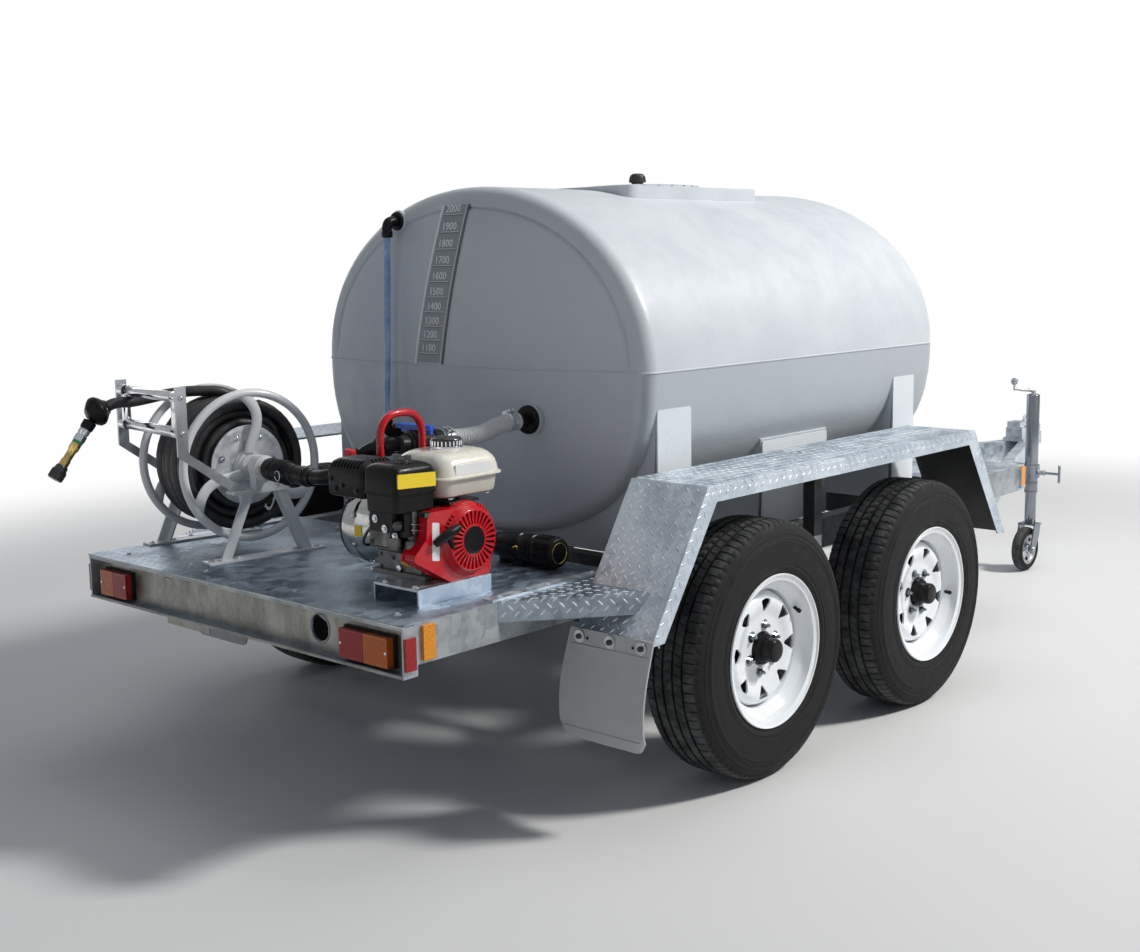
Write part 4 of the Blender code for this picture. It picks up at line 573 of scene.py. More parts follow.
def temporary(shape):
    mesh = bpy.data.meshes.new("temporary")
    mesh.from_pydata([tuple(v) for v in shape[0]], [], [tuple(f) for f in shape[1]])
    obj = bpy.data.objects.new("temporary", mesh)
    bpy.context.scene.collection.objects.link(obj)
    return obj


def carved(shape, *cutters):
    """The shape with the cutters taken out by an exact Boolean."""
    body = temporary(shape)
    others = [temporary(cutter) for cutter in cutters]
    for other in others:
        modifier = body.modifiers.new("cut", "BOOLEAN")
        modifier.operation = "DIFFERENCE"
        modifier.solver = "EXACT"
        modifier.object = other
    bpy.context.view_layer.update()
    mesh = body.evaluated_get(bpy.context.evaluated_depsgraph_get()).to_mesh()
    verts = np.array([tuple(v.co) for v in mesh.vertices])
    faces = [tuple(p.vertices) for p in mesh.polygons]
    for obj in (body, *others):
        bpy.data.objects.remove(obj, do_unlink=True)
    return verts, faces


def bolt(radius=0.006, height=0.005, washer=1.75):
    """A hexagon head on its washer, standing on z 0."""
    head = lathe([(radius * 0.8, height), (radius, height * 0.85), (radius, 0.0012)], 6)
    return stacked(lathe([(radius * washer, 0.0014), (radius * washer, 0.0)], 16), head)


def bolt_at(direction, at, *made):
    return moved(bolt(*made), along(direction, at))


def nut_and_stud(radius, height):
    stud = lathe([(radius * 0.42, height * 1.9), (radius * 0.5, height * 1.75), (radius * 0.5, 0.0)], 10)
    return stacked(bolt(radius, height), stud)


class Piece:
    """Collects shapes with their finishes, and becomes one object on one body."""

    def __init__(self, name):
        self.name = name
        self.shapes = []
        self.finishes = []
        self.indices = []

    def add(self, finish, *shapes):
        if finish not in self.finishes:
            self.finishes.append(finish)
        slot = self.finishes.index(finish)
        for shape in shapes:
            self.shapes.append(shape)
            self.indices += [slot] * len(shape[1])
        return self

    def done(self, body="trailer", replaces=(), smooth=36.0):
        verts, faces = stacked(*self.shapes)
        verts = verts + np.array((0.0, AHEAD, 0.0))
        mesh = bpy.data.meshes.new(self.name)
        mesh.from_pydata(verts.tolist(), [], faces)
        for finish in self.finishes:
            mesh.materials.append(KIT[finish])
        mesh.polygons.foreach_set("material_index", self.indices)
        mesh.shade_smooth()
        mesh.set_sharp_from_angle(angle=math.radians(smooth))
        obj = bpy.data.objects.new(self.name, mesh)
        bpy.context.scene.collection.objects.link(obj)
        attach(obj, body)
        if replaces:
            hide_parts(*replaces)


def dress(finish, *names):
    for name in names:
        mesh = NODES[name].data
        mesh.materials.clear()
        mesh.materials.append(KIT[finish])


# Camera, light and floor


def make_camera():
    yaw, pitch, roll = (math.radians(a) for a in (42.0884, 7.9054, 0.9103))
    ahead = Vector((-sin(yaw) * cos(pitch), cos(yaw) * cos(pitch), -sin(pitch)))
    right = Vector((cos(yaw), sin(yaw), 0.0))
    down = ahead.cross(right)
    right, down = (right * cos(roll) + down * sin(roll), down * cos(roll) - right * sin(roll))
    data = bpy.data.cameras.new("camera")
    # Fitted in the photo's own pixels: its size, the focal length and the optical centre
    wide, high, focal = 1140, 952, 1468.27
    data.sensor_width = 36.0
    data.lens = focal * data.sensor_width / wide
    data.shift_x = (wide / 2 - 566.86) / wide
    data.shift_y = (459.57 - high / 2) / wide
    data.clip_end = 200.0
    camera = bpy.data.objects.new("camera", data)
    turn = Matrix((right, -down, -ahead)).transposed().to_4x4()
    camera.matrix_world = Matrix.Translation((3.2534, -3.7823 + AHEAD, 1.4685)) @ turn
    bpy.context.scene.collection.objects.link(camera)
    bpy.context.scene.camera = camera


def make_light(name, at, target, size, power, colour=(1.0, 1.0, 1.0)):
    data = bpy.data.lights.new(name, "AREA")
    data.shape = "RECTANGLE"
    data.size, data.size_y = size
    data.energy = power
    data.color = colour
    obj = bpy.data.objects.new(name, data)
    obj.location = at
    direction = Vector(target) - Vector(at)
    obj.rotation_euler = direction.to_track_quat("-Z", "Y").to_euler()
    bpy.context.scene.collection.objects.link(obj)


def make_stage():
    world = bpy.data.worlds.new("studio")
    bpy.context.scene.world = world
    world.use_nodes = True
    tree = world.node_tree
    shade = tree.nodes["Background"]
    shade.inputs["Color"].default_value = (0.8, 0.88, 1.0, 1.0)
    shade.inputs["Strength"].default_value = 0.19
    white = tree.nodes.new("ShaderNodeBackground")
    white.inputs["Color"].default_value = (1.0, 1.0, 1.0, 1.0)
    ray = tree.nodes.new("ShaderNodeLightPath")
    seen = Val(tree, ray.outputs["Is Camera Ray"])
    seen = seen.most(Val(tree, ray.outputs["Is Transmission Ray"]))
    seen = seen.most(Val(tree, ray.outputs["Is Glossy Ray"]) * 0.34)
    mix = tree.nodes.new("ShaderNodeMixShader")
    tree.links.new(seen.socket, mix.inputs[0])
    tree.links.new(shade.outputs[0], mix.inputs[1])
    tree.links.new(white.outputs[0], mix.inputs[2])
    tree.links.new(mix.outputs[0], tree.nodes["World Output"].inputs["Surface"])

    floor = Finish("floor", (0.72, 0.72, 0.72), 0.9)
    tree = floor.tree
    far = (floor.axis("X").power(2.0) + floor.axis("Y").power(2.0)).step(10.0, 34.0)
    ray = tree.nodes.new("ShaderNodeLightPath")
    factor = far * Val(tree, ray.outputs["Is Camera Ray"]).most(Val(tree, ray.outputs["Is Glossy Ray"]))
    glow = tree.nodes.new("ShaderNodeEmission")
    mix = tree.nodes.new("ShaderNodeMixShader")
    tree.links.new(factor.socket, mix.inputs[0])
    tree.links.new(floor.shader.outputs[0], mix.inputs[1])
    tree.links.new(glow.outputs[0], mix.inputs[2])
    tree.links.new(mix.outputs[0], tree.nodes["Material Output"].inputs["Surface"])
    corners = [(60.0 * x, 60.0 * y, -0.001) for x, y in ((-1, -1), (1, -1), (1, 1), (-1, 1))]
    mesh = bpy.data.meshes.new("floor")
    mesh.from_pydata(corners, [], [(0, 1, 2, 3)])
    mesh.materials.append(floor.material)
    obj = bpy.data.objects.new("floor", mesh)
    bpy.context.scene.collection.objects.link(obj)
    make_light("key", (6.2, 3.6, 7.2), (0.0, 0.0, 0.8), (1.5, 1.5), 900.0, (1.0, 0.985, 0.95))
    make_light("top", (0.5, 0.5, 7.5), (0.0, 0.0, 0.6), (5.0, 5.0), 90.0)
    make_light("rear_fill", (-0.5, -8.0, 3.0), (0.0, 0.0, 0.7), (4.0, 3.0), 22.0)
    make_light("left_fill", (-7.0, 1.0, 3.5), (0.0, 0.0, 0.7), (4.0, 3.0), 50.0)
    scene = bpy.context.scene
    scene.view_settings.view_transform = "Standard"


make_camera()
make_stage()


# The CAD nodes and their finishes

DRESS = {
    "zinc_plate": "coupling drawbar_rail_left drawbar_rail_right engine_tray front_deck",
    "zinc_deck_painted_shade": "rear_deck",
    "zinc_guard": "guard_left guard_right",
    "dark_steel":
        "axle_front axle_rear cross_member_front cross_member_middle cross_member_rear "
        "springs_left springs_right",
    "zinc_dark": "jockey_fork jockey_clamp",
    "zinc_step_painted_shade": "step_left step_right",
    "zinc_dull": "side_rail_left side_rail_right",
    "tank_plastic": "tank tank_lid",
    "tyre_rubber": "tyre_front_left tyre_front_right tyre_rear_left tyre_rear_right jockey_wheel",
    "rim_white": "rim_front_left rim_front_right rim_rear_left rim_rear_right",
    "black_plastic":
        "air_cleaner delivery_line fill_coupling hose_stop muffler_guard suction_valve "
        "tank_outlet",
    "red_paint": "carry_handle recoil_cover",
    "cream_paint": "fuel_tank",
    "cast_metal": "engine_block",
    "polished_alloy": "pump_casing",
    "reel_grey": "reel_drum reel_stand_far reel_stand_near",
    "hose_rubber": "hose_tail wound_hose",
    "chrome": "fairlead",
    "brass": "nozzle",
    "zinc_bright": "jockey_inner_tube jockey_outer_tube",
    "red_lens": "tail_lamp_left tail_lamp_right",
    "flap_grey": "mud_flap_left mud_flap_right",
    "suction_grey": "suction_hose",
    "sight_tube": "sight_tube",
}
for node_finish, node_names in DRESS.items():
    dress(node_finish, *node_names.split())


# Wheels


def tyre_shape():
    """A radial tyre with ribs, sipes and shoulder blocks, made about Z."""
    wall = mm(
        (204.5, 88.4), (218.5, 92.5), (225, 97.2), (233, 99.2), (236.5, 101), (239.5, 100), (256, 101.6),
        (275, 102.5), (292, 102.3), (306, 101), (309, 102), (312, 100.2), (324, 98), (335, 94.8),
        (343, 91.5)
    )
    tread = [
        (0.35, 0.0885, 0.5, 0), (0.3565, 0.0838, 1.0, 0), (0.3612, 0.078, 1.0, 0), (0.3642, 0.069, 1.0, 0),
        (0.3656, 0.06, 1.0, 0), (0.3662, 0.0515, 1.0, 0), (0.3662, 0.0508, 0, 1), (0.3664, 0.0438, 0, 1),
        (0.3664, 0.043, 0.6, 0), (0.3668, 0.032, 0.6, 0), (0.367, 0.0208, 0.6, 0), (0.367, 0.02, 0, 1),
        (0.3672, 0.0128, 0, 1), (0.3672, 0.012, 0.45, 0), (0.3675, 0.0, 0.45, 0)
    ]
    half = [(r, h, 0.0, 0) for r, h in wall] + tread
    stations = half + [(r, -h, cut, groove) for r, h, cut, groove in half[-2::-1]]
    pitches, marks = 84, np.array([0.0, 0.42, 0.78, 0.89])
    angles = (np.arange(pitches)[:, None] + marks[None, :]).ravel() * tau / pitches
    cuts = np.tile([0.0, 0.0, 0.0, 1.0], pitches)
    rings = []
    for r, h, cut, groove in stations:
        lean = 0.0 if abs(h) > 0.0512 else h * 14.0
        swing = angles + (lean + (0.45 if h < 0 else 0.0)) * tau / pitches
        radius = r - 0.0065 * groove - 0.0048 * cut * cuts
        rings.append(np.stack([radius * np.cos(swing), radius * np.sin(swing), np.full(len(swing), h)], 1))
    faces = [poly[::-1] for poly in grid_faces(len(rings), len(angles), True, True)]
    return np.concatenate(rings), faces


def rim_shapes():
    """The wheel's barrel and dished disc with eight windows, made about Z."""
    barrel = lathe(
        mm(
            (216.5, 101), (218.3, 99), (218.5, 95.8), (215, 93.5), (204, 90.5), (203, 88), (203, 76.5),
            (198, 69), (174.5, 48), (173.5, 44), (173.5, -44), (174.5, -48), (198, -69), (203, -76.5),
            (203, -88), (204, -90.5), (215, -93.5), (218.5, -95.8), (218.3, -99), (216.5, -101),
            (214, -100.5), (211, -96), (198.5, -92.5), (196.5, -78), (169, -50), (168, -40), (168, 40),
            (169, 50), (190, 70), (196.5, 78), (198.5, 92.5), (211, 96), (214, 100.5)
        ),
        96, closed=True
    )
    disc = lathe(
        mm(
            (46.5, 45.5), (50, 49), (88, 49.5), (98, 50), (108, 53), (120, 57), (133, 60), (142, 59),
            (152, 53), (161, 42), (166, 30), (169, 18), (164, 18), (160, 30), (155, 41), (148, 49),
            (140, 53.5), (133, 54.5), (120, 51.5), (108, 47.5), (98, 44.5), (88, 44), (50, 43.5), (46.5, 44)
        ),
        96, closed=True
    )
    outline = rounded(mm((101, 0), (140, -25.5), (144.5, 0), (140, 25.5)), [0.008, 0.007, 0.03, 0.007])
    return barrel, carved(disc, *repeated(prism(outline, 0.1), 8, 0.5))


def make_wheels():
    tyre = tyre_shape()
    barrel, disc = rim_shapes()
    hub = lathe(
        mm(
            (25.5, 101.5), (29, 100.5), (32, 97.5), (33.5, 93), (33.8, 70), (36, 69), (36.2, 65), (43, 62),
            (45.5, 56), (45.8, 30), (82, 29), (83, 20), (56, 18), (52, -38), (20, -38)
        ),
        48
    )
    drum = lathe(mm((150, 12), (156, 8), (158, -30), (150, -36)), 64)
    nut_at = Matrix.Translation((0.0665, 0, 0.0492))
    nuts = [moved(nut_and_stud(0.0092, 0.01), about_z(tau * (k + 0.5) / 6) @ nut_at) for k in range(6)]
    stem = stacked(
        tube(mm((178, 0, 56), (173, 0, 66), (169, 0, 74)), 0.0052, 10),
        tube([(0.17, 0.0, 0.0725), (0.1665, 0.0, 0.08)], 0.0066, 10)
    )
    stem_turn = {"rear": 1.75, "front": 0.5}
    rings = []
    for r, h in ((0.248, 0.1009), (0.316, 0.0999), (0.33, 0.0967)):
        for level in (h, -h):
            rings.append(tube(circle(r, 96, level), 0.0012, 6, cyclic=True))
    tyre = stacked(tyre, *rings)
    for end, axle_y in AXLE_YS.items():
        for side, way in SIDES:
            name = end + "_" + side
            body = "wheel_" + name
            turn = 0.35 if end == "rear" else 0.9
            at = Matrix.Translation((way * WHEEL_X, axle_y, AXLE_Z))
            place = at @ Matrix.Rotation(math.radians(90 * way), 4, "Y") @ about_z(turn)
            tread = Piece("tread_tyre_" + name).add("tyre_rubber", moved(tyre, place))
            tread.done(body, ["tyre_" + name], smooth=42)
            rim = Piece("wheel_rim_" + name)
            rim.add("rim_white", *moved_all([barrel, disc], place))
            rim.add("black_satin", moved(hub, place))
            # Painted shade: a near-black drum inside the wheel, seen through the windows
            rim.add("dark_gap", moved(drum, place))
            rim.add("zinc_dark", *moved_all(nuts, place))
            rim.add("black_plastic", moved(stem, place @ about_z(stem_turn[end])))
            rim.done(body, ["rim_" + name], smooth=40)


# Chequer plate


def lug_field(origin, across, along_dir, width, length, keep=None, height=0.0012):
    """Raised lugs over a rectangle: alternate rows lean the other way."""
    o, u, v = Vector(origin), Vector(across).normalized(), Vector(along_dir).normalized()
    normal = u.cross(v)
    pitch, size, half_width = 0.033, 0.0115, 0.003
    left, right = -size * 0.5, size * 0.5
    base = [
        (-size, 0), (left, -half_width), (right, -half_width), (size, 0), (right, half_width),
        (left, half_width)
    ]
    corners = [(p, q, -0.0003) for p, q in base] + [(p, 0, height) for p in (-size * 0.55, size * 0.55)]
    shape_faces = [(0, 1, 6), (1, 2, 7, 6), (2, 3, 7), (3, 4, 7), (4, 5, 6, 7), (5, 0, 6)]
    verts, faces = [], []
    rows = int(length / (pitch / 2))
    for j in range(rows + 1):
        b = j * pitch / 2 + 0.004
        count = int(width / pitch) + 1
        for i in range(count + 1):
            a = i * pitch + (pitch / 2 if j % 2 else 0.0)
            if not (0.009 < a < width - 0.009 and 0.009 < b < length - 0.009):
                continue
            if keep and not keep(a, b):
                continue
            angle = math.radians(45 if j % 2 else -45)
            c, s = cos(angle), sin(angle)
            start = len(verts)
            for p, q, lift in corners:
                x, y = a + p * c - q * s, b + p * s + q * c
                verts.append(tuple(o + u * x + v * y + normal * lift))
            faces += [tuple(start + k for k in poly) for poly in shape_faces]
    return np.array(verts), faces


GUARD = {"inner": 0.745, "outer": 1.003, "top": 0.869, "half": 0.745, "end": 0.985, "foot": 0.49}


def make_guard_lugs():
    inner, outer, top = GUARD["inner"], GUARD["outer"], GUARD["top"]
    half, end, foot = GUARD["half"], GUARD["end"], GUARD["foot"]
    width = outer - inner
    slope = Vector((0, end - half, foot - top))
    back = Vector((0, half - end, foot - top))
    lip = 0.045
    shapes = [
        lug_field((inner, -half, top), (1, 0, 0), (0, 1, 0), width, 2 * half),
        lug_field((inner, half, top), (1, 0, 0), slope, width, slope.length),
        lug_field((inner, -end, foot), (1, 0, 0), -back, width, slope.length),
        lug_field((outer, -half, top - lip), (0, 1, 0), UP, 2 * half, lip + 0.012)
    ]
    normal = Vector((0, slope.z, -slope.y)).normalized() * lip
    for y0, direction, inward in ((half, slope, normal), (-end, -back, Vector((0, -normal.y, normal.z)))):
        start = Vector((outer, y0, top if y0 > 0 else foot))
        inward = inward if inward.z < 0 else -inward
        if direction.cross(inward).x > 0:
            shapes.append(lug_field(start, direction, inward, direction.length, lip + 0.012))
        else:
            shapes.append(lug_field(start + inward, direction, -inward, direction.length, lip + 0.012))
    right = stacked(*shapes)
    for side, way in SIDES:
        piece = Piece("guard_chequer_" + side).add("zinc_plate", right if way > 0 else mirrored(right))
        # A rolled bead along the guard's outer edge, and the bolts on its post
        path = [(-end, foot), (-half, top), (half, top), (end, foot)]
        for dx, dy in ((-0.012, -0.05), (0.012, 0.05)):
            at = (way * (inner + 0.1 + dx), dy, top)
            piece.add("zinc_plate", bolt_at(UP, at, 0.007, 0.005))
        points = [(way * (outer - 0.003), y, z - 0.0035) for y, z in path]
        piece.add("zinc_plate", tube(points, 0.0032, 8))
        piece.done(smooth=20)


STEP_X0, STEP_Y0, STEP_X1, STEP_Y1 = 0.7003, -1.225, 0.971, -0.876
STEP_RUN = Vector((STEP_X1 - STEP_X0, STEP_Y1 - STEP_Y0, 0.0))


def on_step(a, b):
    """Whether a lug at these distances from the step's corner lies on the gusset."""
    x, y = STEP_X0 + a, STEP_Y0 + b
    edge = (x - STEP_X0) / (STEP_X1 - STEP_X0) * STEP_RUN.y + STEP_Y0
    return y > edge + 0.012 and (x < 0.74 or y < -0.92)


def make_deck_lugs():
    piece = Piece("deck_chequer")
    for y, length in ((-1.545, 0.79), (1.25, 0.54)):
        lugs = lug_field((-0.7, y, DECK_TOP), (1, 0, 0), (0, 1, 0), 1.4, length, height=0.0005)
        piece.add("zinc_deck_painted_shade", lugs)
    piece.done(smooth=20)
    for side, way in SIDES:
        piece = Piece("step_chequer_" + side)
        height = 0.054
        top = lug_field((STEP_X0, STEP_Y0, DECK_TOP), (1, 0, 0), (0, 1, 0), 0.27, 0.46, on_step)
        foot = (STEP_X0, STEP_Y0, DECK_TOP - 0.0004 - height)
        lip = lug_field(foot, STEP_RUN, UP, STEP_RUN.length, height + 0.01)
        bar = block((0.664, -1.24, 0.6092), (0.699, -0.8, 0.615), 0.0015)
        screw = [bolt_at(UP, (0.681, y, 0.615), 0.005, 0.004) for y in (-1.2, -1.02, -0.84)]
        shapes = [top, lip, bar, *screw]
        piece.add("zinc_plate", *(shape if way > 0 else mirrored(shape) for shape in shapes))
        piece.done(smooth=20)


# Rear end: edge beads, lamps, reflectors, number plate bracket


def make_rear_end():
    edge = Piece("deck_edges")
    edge.add("zinc_plate", tube([(-0.7, -1.5415, 0.6055), (0.7, -1.5415, 0.6055)], 0.0034, 10))
    for z0, z1 in ((0.478, 0.485), (0.596, 0.6055)):
        edge.add("zinc_dull", block((-0.699, -1.5435, z0), (0.699, -1.538, z1), 0.002))
    edge.add(
        "zinc_dull", block((0.694, -1.542, 0.479), (0.6998, -1.497, 0.604), 0.002),
        block((-0.6998, -1.542, 0.479), (-0.694, -1.497, 0.604), 0.002),
        block((-0.3, -1.538, 0.459), (-0.1, -1.534, 0.4785), 0.001)
    )
    for x in (-0.6, -0.2, 0.2, 0.6):
        edge.add("zinc_bright", bolt_at(UP, (x, -1.47, DECK_TOP), 0.006, 0.005))
    ring = [(0.342 + 0.0375 * cos(a), WEB_FACE, 0.5405 + 0.0375 * sin(a)) for a in np.arange(36) * tau / 36]
    edge.add("zinc_dull", tube(ring, 0.0022, 8, cyclic=True))
    # The hole on the left is closed by a flush blank
    blank = lathe(mm((36.6, 0.4), (37.6, -1), (37.6, -6)), 48)
    edge.add("zinc_deck_painted_shade", moved(blank, along(BACK, (-0.342, -1.5052, 0.5405))))
    edge.done(smooth=30)
    z0, z1, back = 0.492, 0.566, WEB_FACE
    for side, x0, x1, *order in (
        ("left", -0.654, -0.517, "amber_lens", "red_lens"),
        ("right", 0.454, 0.634, "red_lens", "amber_lens")
    ):
        lamp = Piece("lamp_" + side)
        lamp.add(
            "black_plastic",
            block((x0 - 0.004, back - 0.01, z0 - 0.004), (x1 + 0.004, back, z1 + 0.004), 0.003)
        )
        mid = (x0 + x1) / 2
        for a, b, finish in ((x0, mid - 0.001, order[0]), (mid + 0.001, x1, order[1])):
            lamp.add(finish, block((a, back - 0.031, z0), (b, back - 0.009, z1), 0.005, 3))
            for z in np.arange(z0 + 0.01, z1 - 0.006, 0.006):
                lamp.add(
                    finish, block((a + 0.006, back - 0.0318, z), (b - 0.006, back - 0.0305, z + 0.0012))
                )
        for x in (x0 + 0.006, x1 - 0.006):
            lamp.add("chrome", bolt_at(BACK, (x, back - 0.031, 0.529), 0.0028, 0.002, 1.3))
        lamp.done(replaces=["tail_lamp_" + side])
    marks = Piece("reflectors")
    for way in (1, -1):
        low, high = sorted((way * 0.7002, way * 0.7085))
        for finish, y0, y1, z0, z1 in (
            ("marker", -1.484, -1.445, 0.514, 0.6), ("red_lens", -1.541, -1.508, 0.497, 0.577),
            ("marker", 1.752, 1.786, 0.526, 0.602)
        ):
            marks.add(finish, block((low, y0, z0), (high, y1, z1), 0.003, 3))
    marks.done(smooth=40)


def flap_y(t):
    """The y of the bowed flap at a share of its height from the top."""
    return -0.989 - 0.022 * sin(pi * min(1.0, t * 0.95)) * (0.35 + 0.65 * t)


def seam_at(x, z):
    """A place on the flap's face, where a seam runs."""
    return x, flap_y((0.505 - z) / 0.299) - 0.0004, z


def make_flaps():
    for side, way in SIDES:
        corners = mm((735, 505), (1012, 505), (985, 206), (700, 206))
        rows, columns = 26, 22
        front = []
        for i in range(rows):
            t = i / (rows - 1)
            left = corners[0][0] + (corners[3][0] - corners[0][0]) * t - 0.01 * sin(pi * t)
            right = corners[1][0] + (corners[2][0] - corners[1][0]) * t - 0.006 * sin(pi * t)
            for j in range(columns):
                s = j / (columns - 1)
                x = left + (right - left) * s
                z = corners[0][1] + (corners[3][1] - corners[0][1]) * t
                near = min(s, 1 - s) * (right - left)
                low = max(0.0, 0.03 - near)
                if t > 0.85:
                    z += (0.03 - math.sqrt(max(0.0, 0.03**2 - low**2))) * (t - 0.85) / 0.15
                front.append((way * x, flap_y(t), z))
        front = np.array(front)
        back = front + np.array((0.0, 0.0055, 0.0))
        faces = grid_faces(rows, columns)
        n = rows * columns
        faces = [poly[::-1] for poly in faces] + [tuple(i + n for i in poly) for poly in faces]
        ring = list(range(columns)) + [i * columns + columns - 1 for i in range(1, rows)]
        ring += [(rows - 1) * columns + j for j in range(columns - 2, -1, -1)]
        ring += [i * columns for i in range(rows - 2, 0, -1)]
        faces += [(a, b, b + n, a + n) for a, b in zip(ring, ring[1:] + ring[:1])]
        if way < 0:
            faces = [poly[::-1] for poly in faces]
        flap = Piece("flap_" + side).add("flap_grey", (np.concatenate([front, back]), faces))
        for z, x0, x1 in ((0.462, 0.742, 0.998), (0.236, 0.716, 0.974)):
            seam = [seam_at(way * (x0 + (x1 - x0) * k / 8), z) for k in range(9)]
            flap.add("flap_grey", tube(seam, 0.0022, 8))
        edge = []
        for k in range(11):
            x = 1.0 - 0.018 * k / 10 - 0.006 * sin(pi * k / 10)
            edge.append(seam_at(way * x, 0.455 - 0.021 * k))
        flap.add("flap_grey", tube(edge, 0.002, 8))
        for x in (0.768, 0.872, 0.975):
            flap.add(
                "zinc_bright", turned(BACK, (way * x, -0.9915, 0.484), [(0.017, 0.003), (0.0175, 0.0)], 24)
            )
            flap.add("dark_steel", bolt_at(BACK, (way * x, -0.9945, 0.484), 0.0075, 0.007, 1.0))
        # Painted shade: near-black discs on the flap's face where its holes are
        for x in (0.795, 0.948):
            flap.add(
                "dark_gap", turned(BACK, (way * x, -0.9925, 0.482), [(0.004, 0.0008), (0.004, 0.0)], 12)
            )
        flap.done(replaces=["mud_flap_" + side], smooth=30)


make_wheels()
make_guard_lugs()
make_deck_lugs()
make_rear_end()
make_flaps()


# Tank

TANK = {
    "half": 0.7, "up": 0.541, "down": 0.515, "seam": 1.14, "rear": -0.67, "front": 1.08, "edge": 0.05,
    "bulge": 0.05, "upper": 2.05, "lower": 2.45
}


def tank_reach(angle, shrink, scale):
    """A point of the oval section, as (x, height above the seam)."""
    c, s = cos(angle), sin(angle)
    power = TANK["upper"] if s >= 0 else TANK["lower"]
    height = TANK["up"] if s >= 0 else TANK["down"]
    x = (TANK["half"] - shrink) * math.copysign(abs(c) ** (2 / power), c)
    z = (height - shrink) * math.copysign(abs(s) ** (2 / power), s)
    return x * scale, z * scale


def tank_stations():
    edge, bulge = TANK["edge"], TANK["bulge"]
    dome = [(bulge * share**2, edge, share) for share in np.linspace(0.02, 0.93, 16)]
    dome += [(bulge * share**2, edge, share) for share in (0.952, 0.962, 0.972, 0.982, 0.99)]
    quarter = [pi / 2 * k / 12 for k in range(13)]
    rim = [(bulge + edge * (1 - sin(a)), edge * (1 - cos(a)), 1.0) for a in quarter][::-1]
    ends = dome + rim
    body = [(bulge + edge + 0.05 * k, 0.0, 1.0) for k in range(1, 3)]
    half = ends + body
    length = TANK["front"] - TANK["rear"]
    return [(TANK["rear"] + y, a, b) for y, a, b in half] + [
        (TANK["rear"] + length - y, a, b) for y, a, b in half[::-1]
    ]


def end_y(x, z):
    """The y of the tank's rear end at a place on it."""
    height = z - TANK["seam"]
    power = TANK["upper"] if height >= 0 else TANK["lower"]
    limit = (TANK["up"] if height >= 0 else TANK["down"]) - TANK["edge"]
    share = (abs(x / (TANK["half"] - TANK["edge"])) ** power + abs(height / limit) ** power) ** (1 / power)
    return TANK["rear"] + TANK["bulge"] * min(share, 1.0) ** 2 + 0.6 * max(
        0.0, share - 1.0
    ) ** 2 * TANK["edge"]


def band_x(z, share):
    """A place across the leaning scale on the tank's end."""
    rise = (z - 1.143) / 0.532
    return -0.194 + 0.108 * rise + (0.124 - 0.012 * rise) * share


def end_patch(low, high, z0, z1, lift, rows):
    """A raised strip of the scale, between two shares of its width."""
    columns = 5
    points = []
    for i in range(rows):
        for j in range(columns):
            edge = i in (0, rows - 1) or j in (0, columns - 1)
            z = z0 + (z1 - z0) * min(max((i - 1) / (rows - 3), 0), 1)
            x = band_x(z, low + (high - low) * min(max((j - 1) / (columns - 3), 0), 1))
            points.append((x, end_y(x, z) + (0.002 if edge else -lift), z))
    return np.array(points), grid_faces(rows, columns)


def end_letters(text, x, z, height, lift):
    """Plain raised figures on the tank's end, centred at a place."""
    curve = bpy.data.curves.new("figures", "FONT")
    curve.body = text
    curve.size = height / 0.7
    curve.align_x = "CENTER"
    curve.extrude = 0.0015
    curve.resolution_u = 2
    obj = bpy.data.objects.new("figures", curve)
    bpy.context.scene.collection.objects.link(obj)
    bpy.context.view_layer.update()
    mesh = obj.evaluated_get(bpy.context.evaluated_depsgraph_get()).to_mesh()
    flat = [tuple(v.co) for v in mesh.vertices]
    faces = [tuple(p.vertices) for p in mesh.polygons]
    bpy.data.objects.remove(obj, do_unlink=True)
    points = [(x + a, end_y(x + a, z + b) - lift - c, z + b) for a, b, c in flat]
    return np.array(points), faces


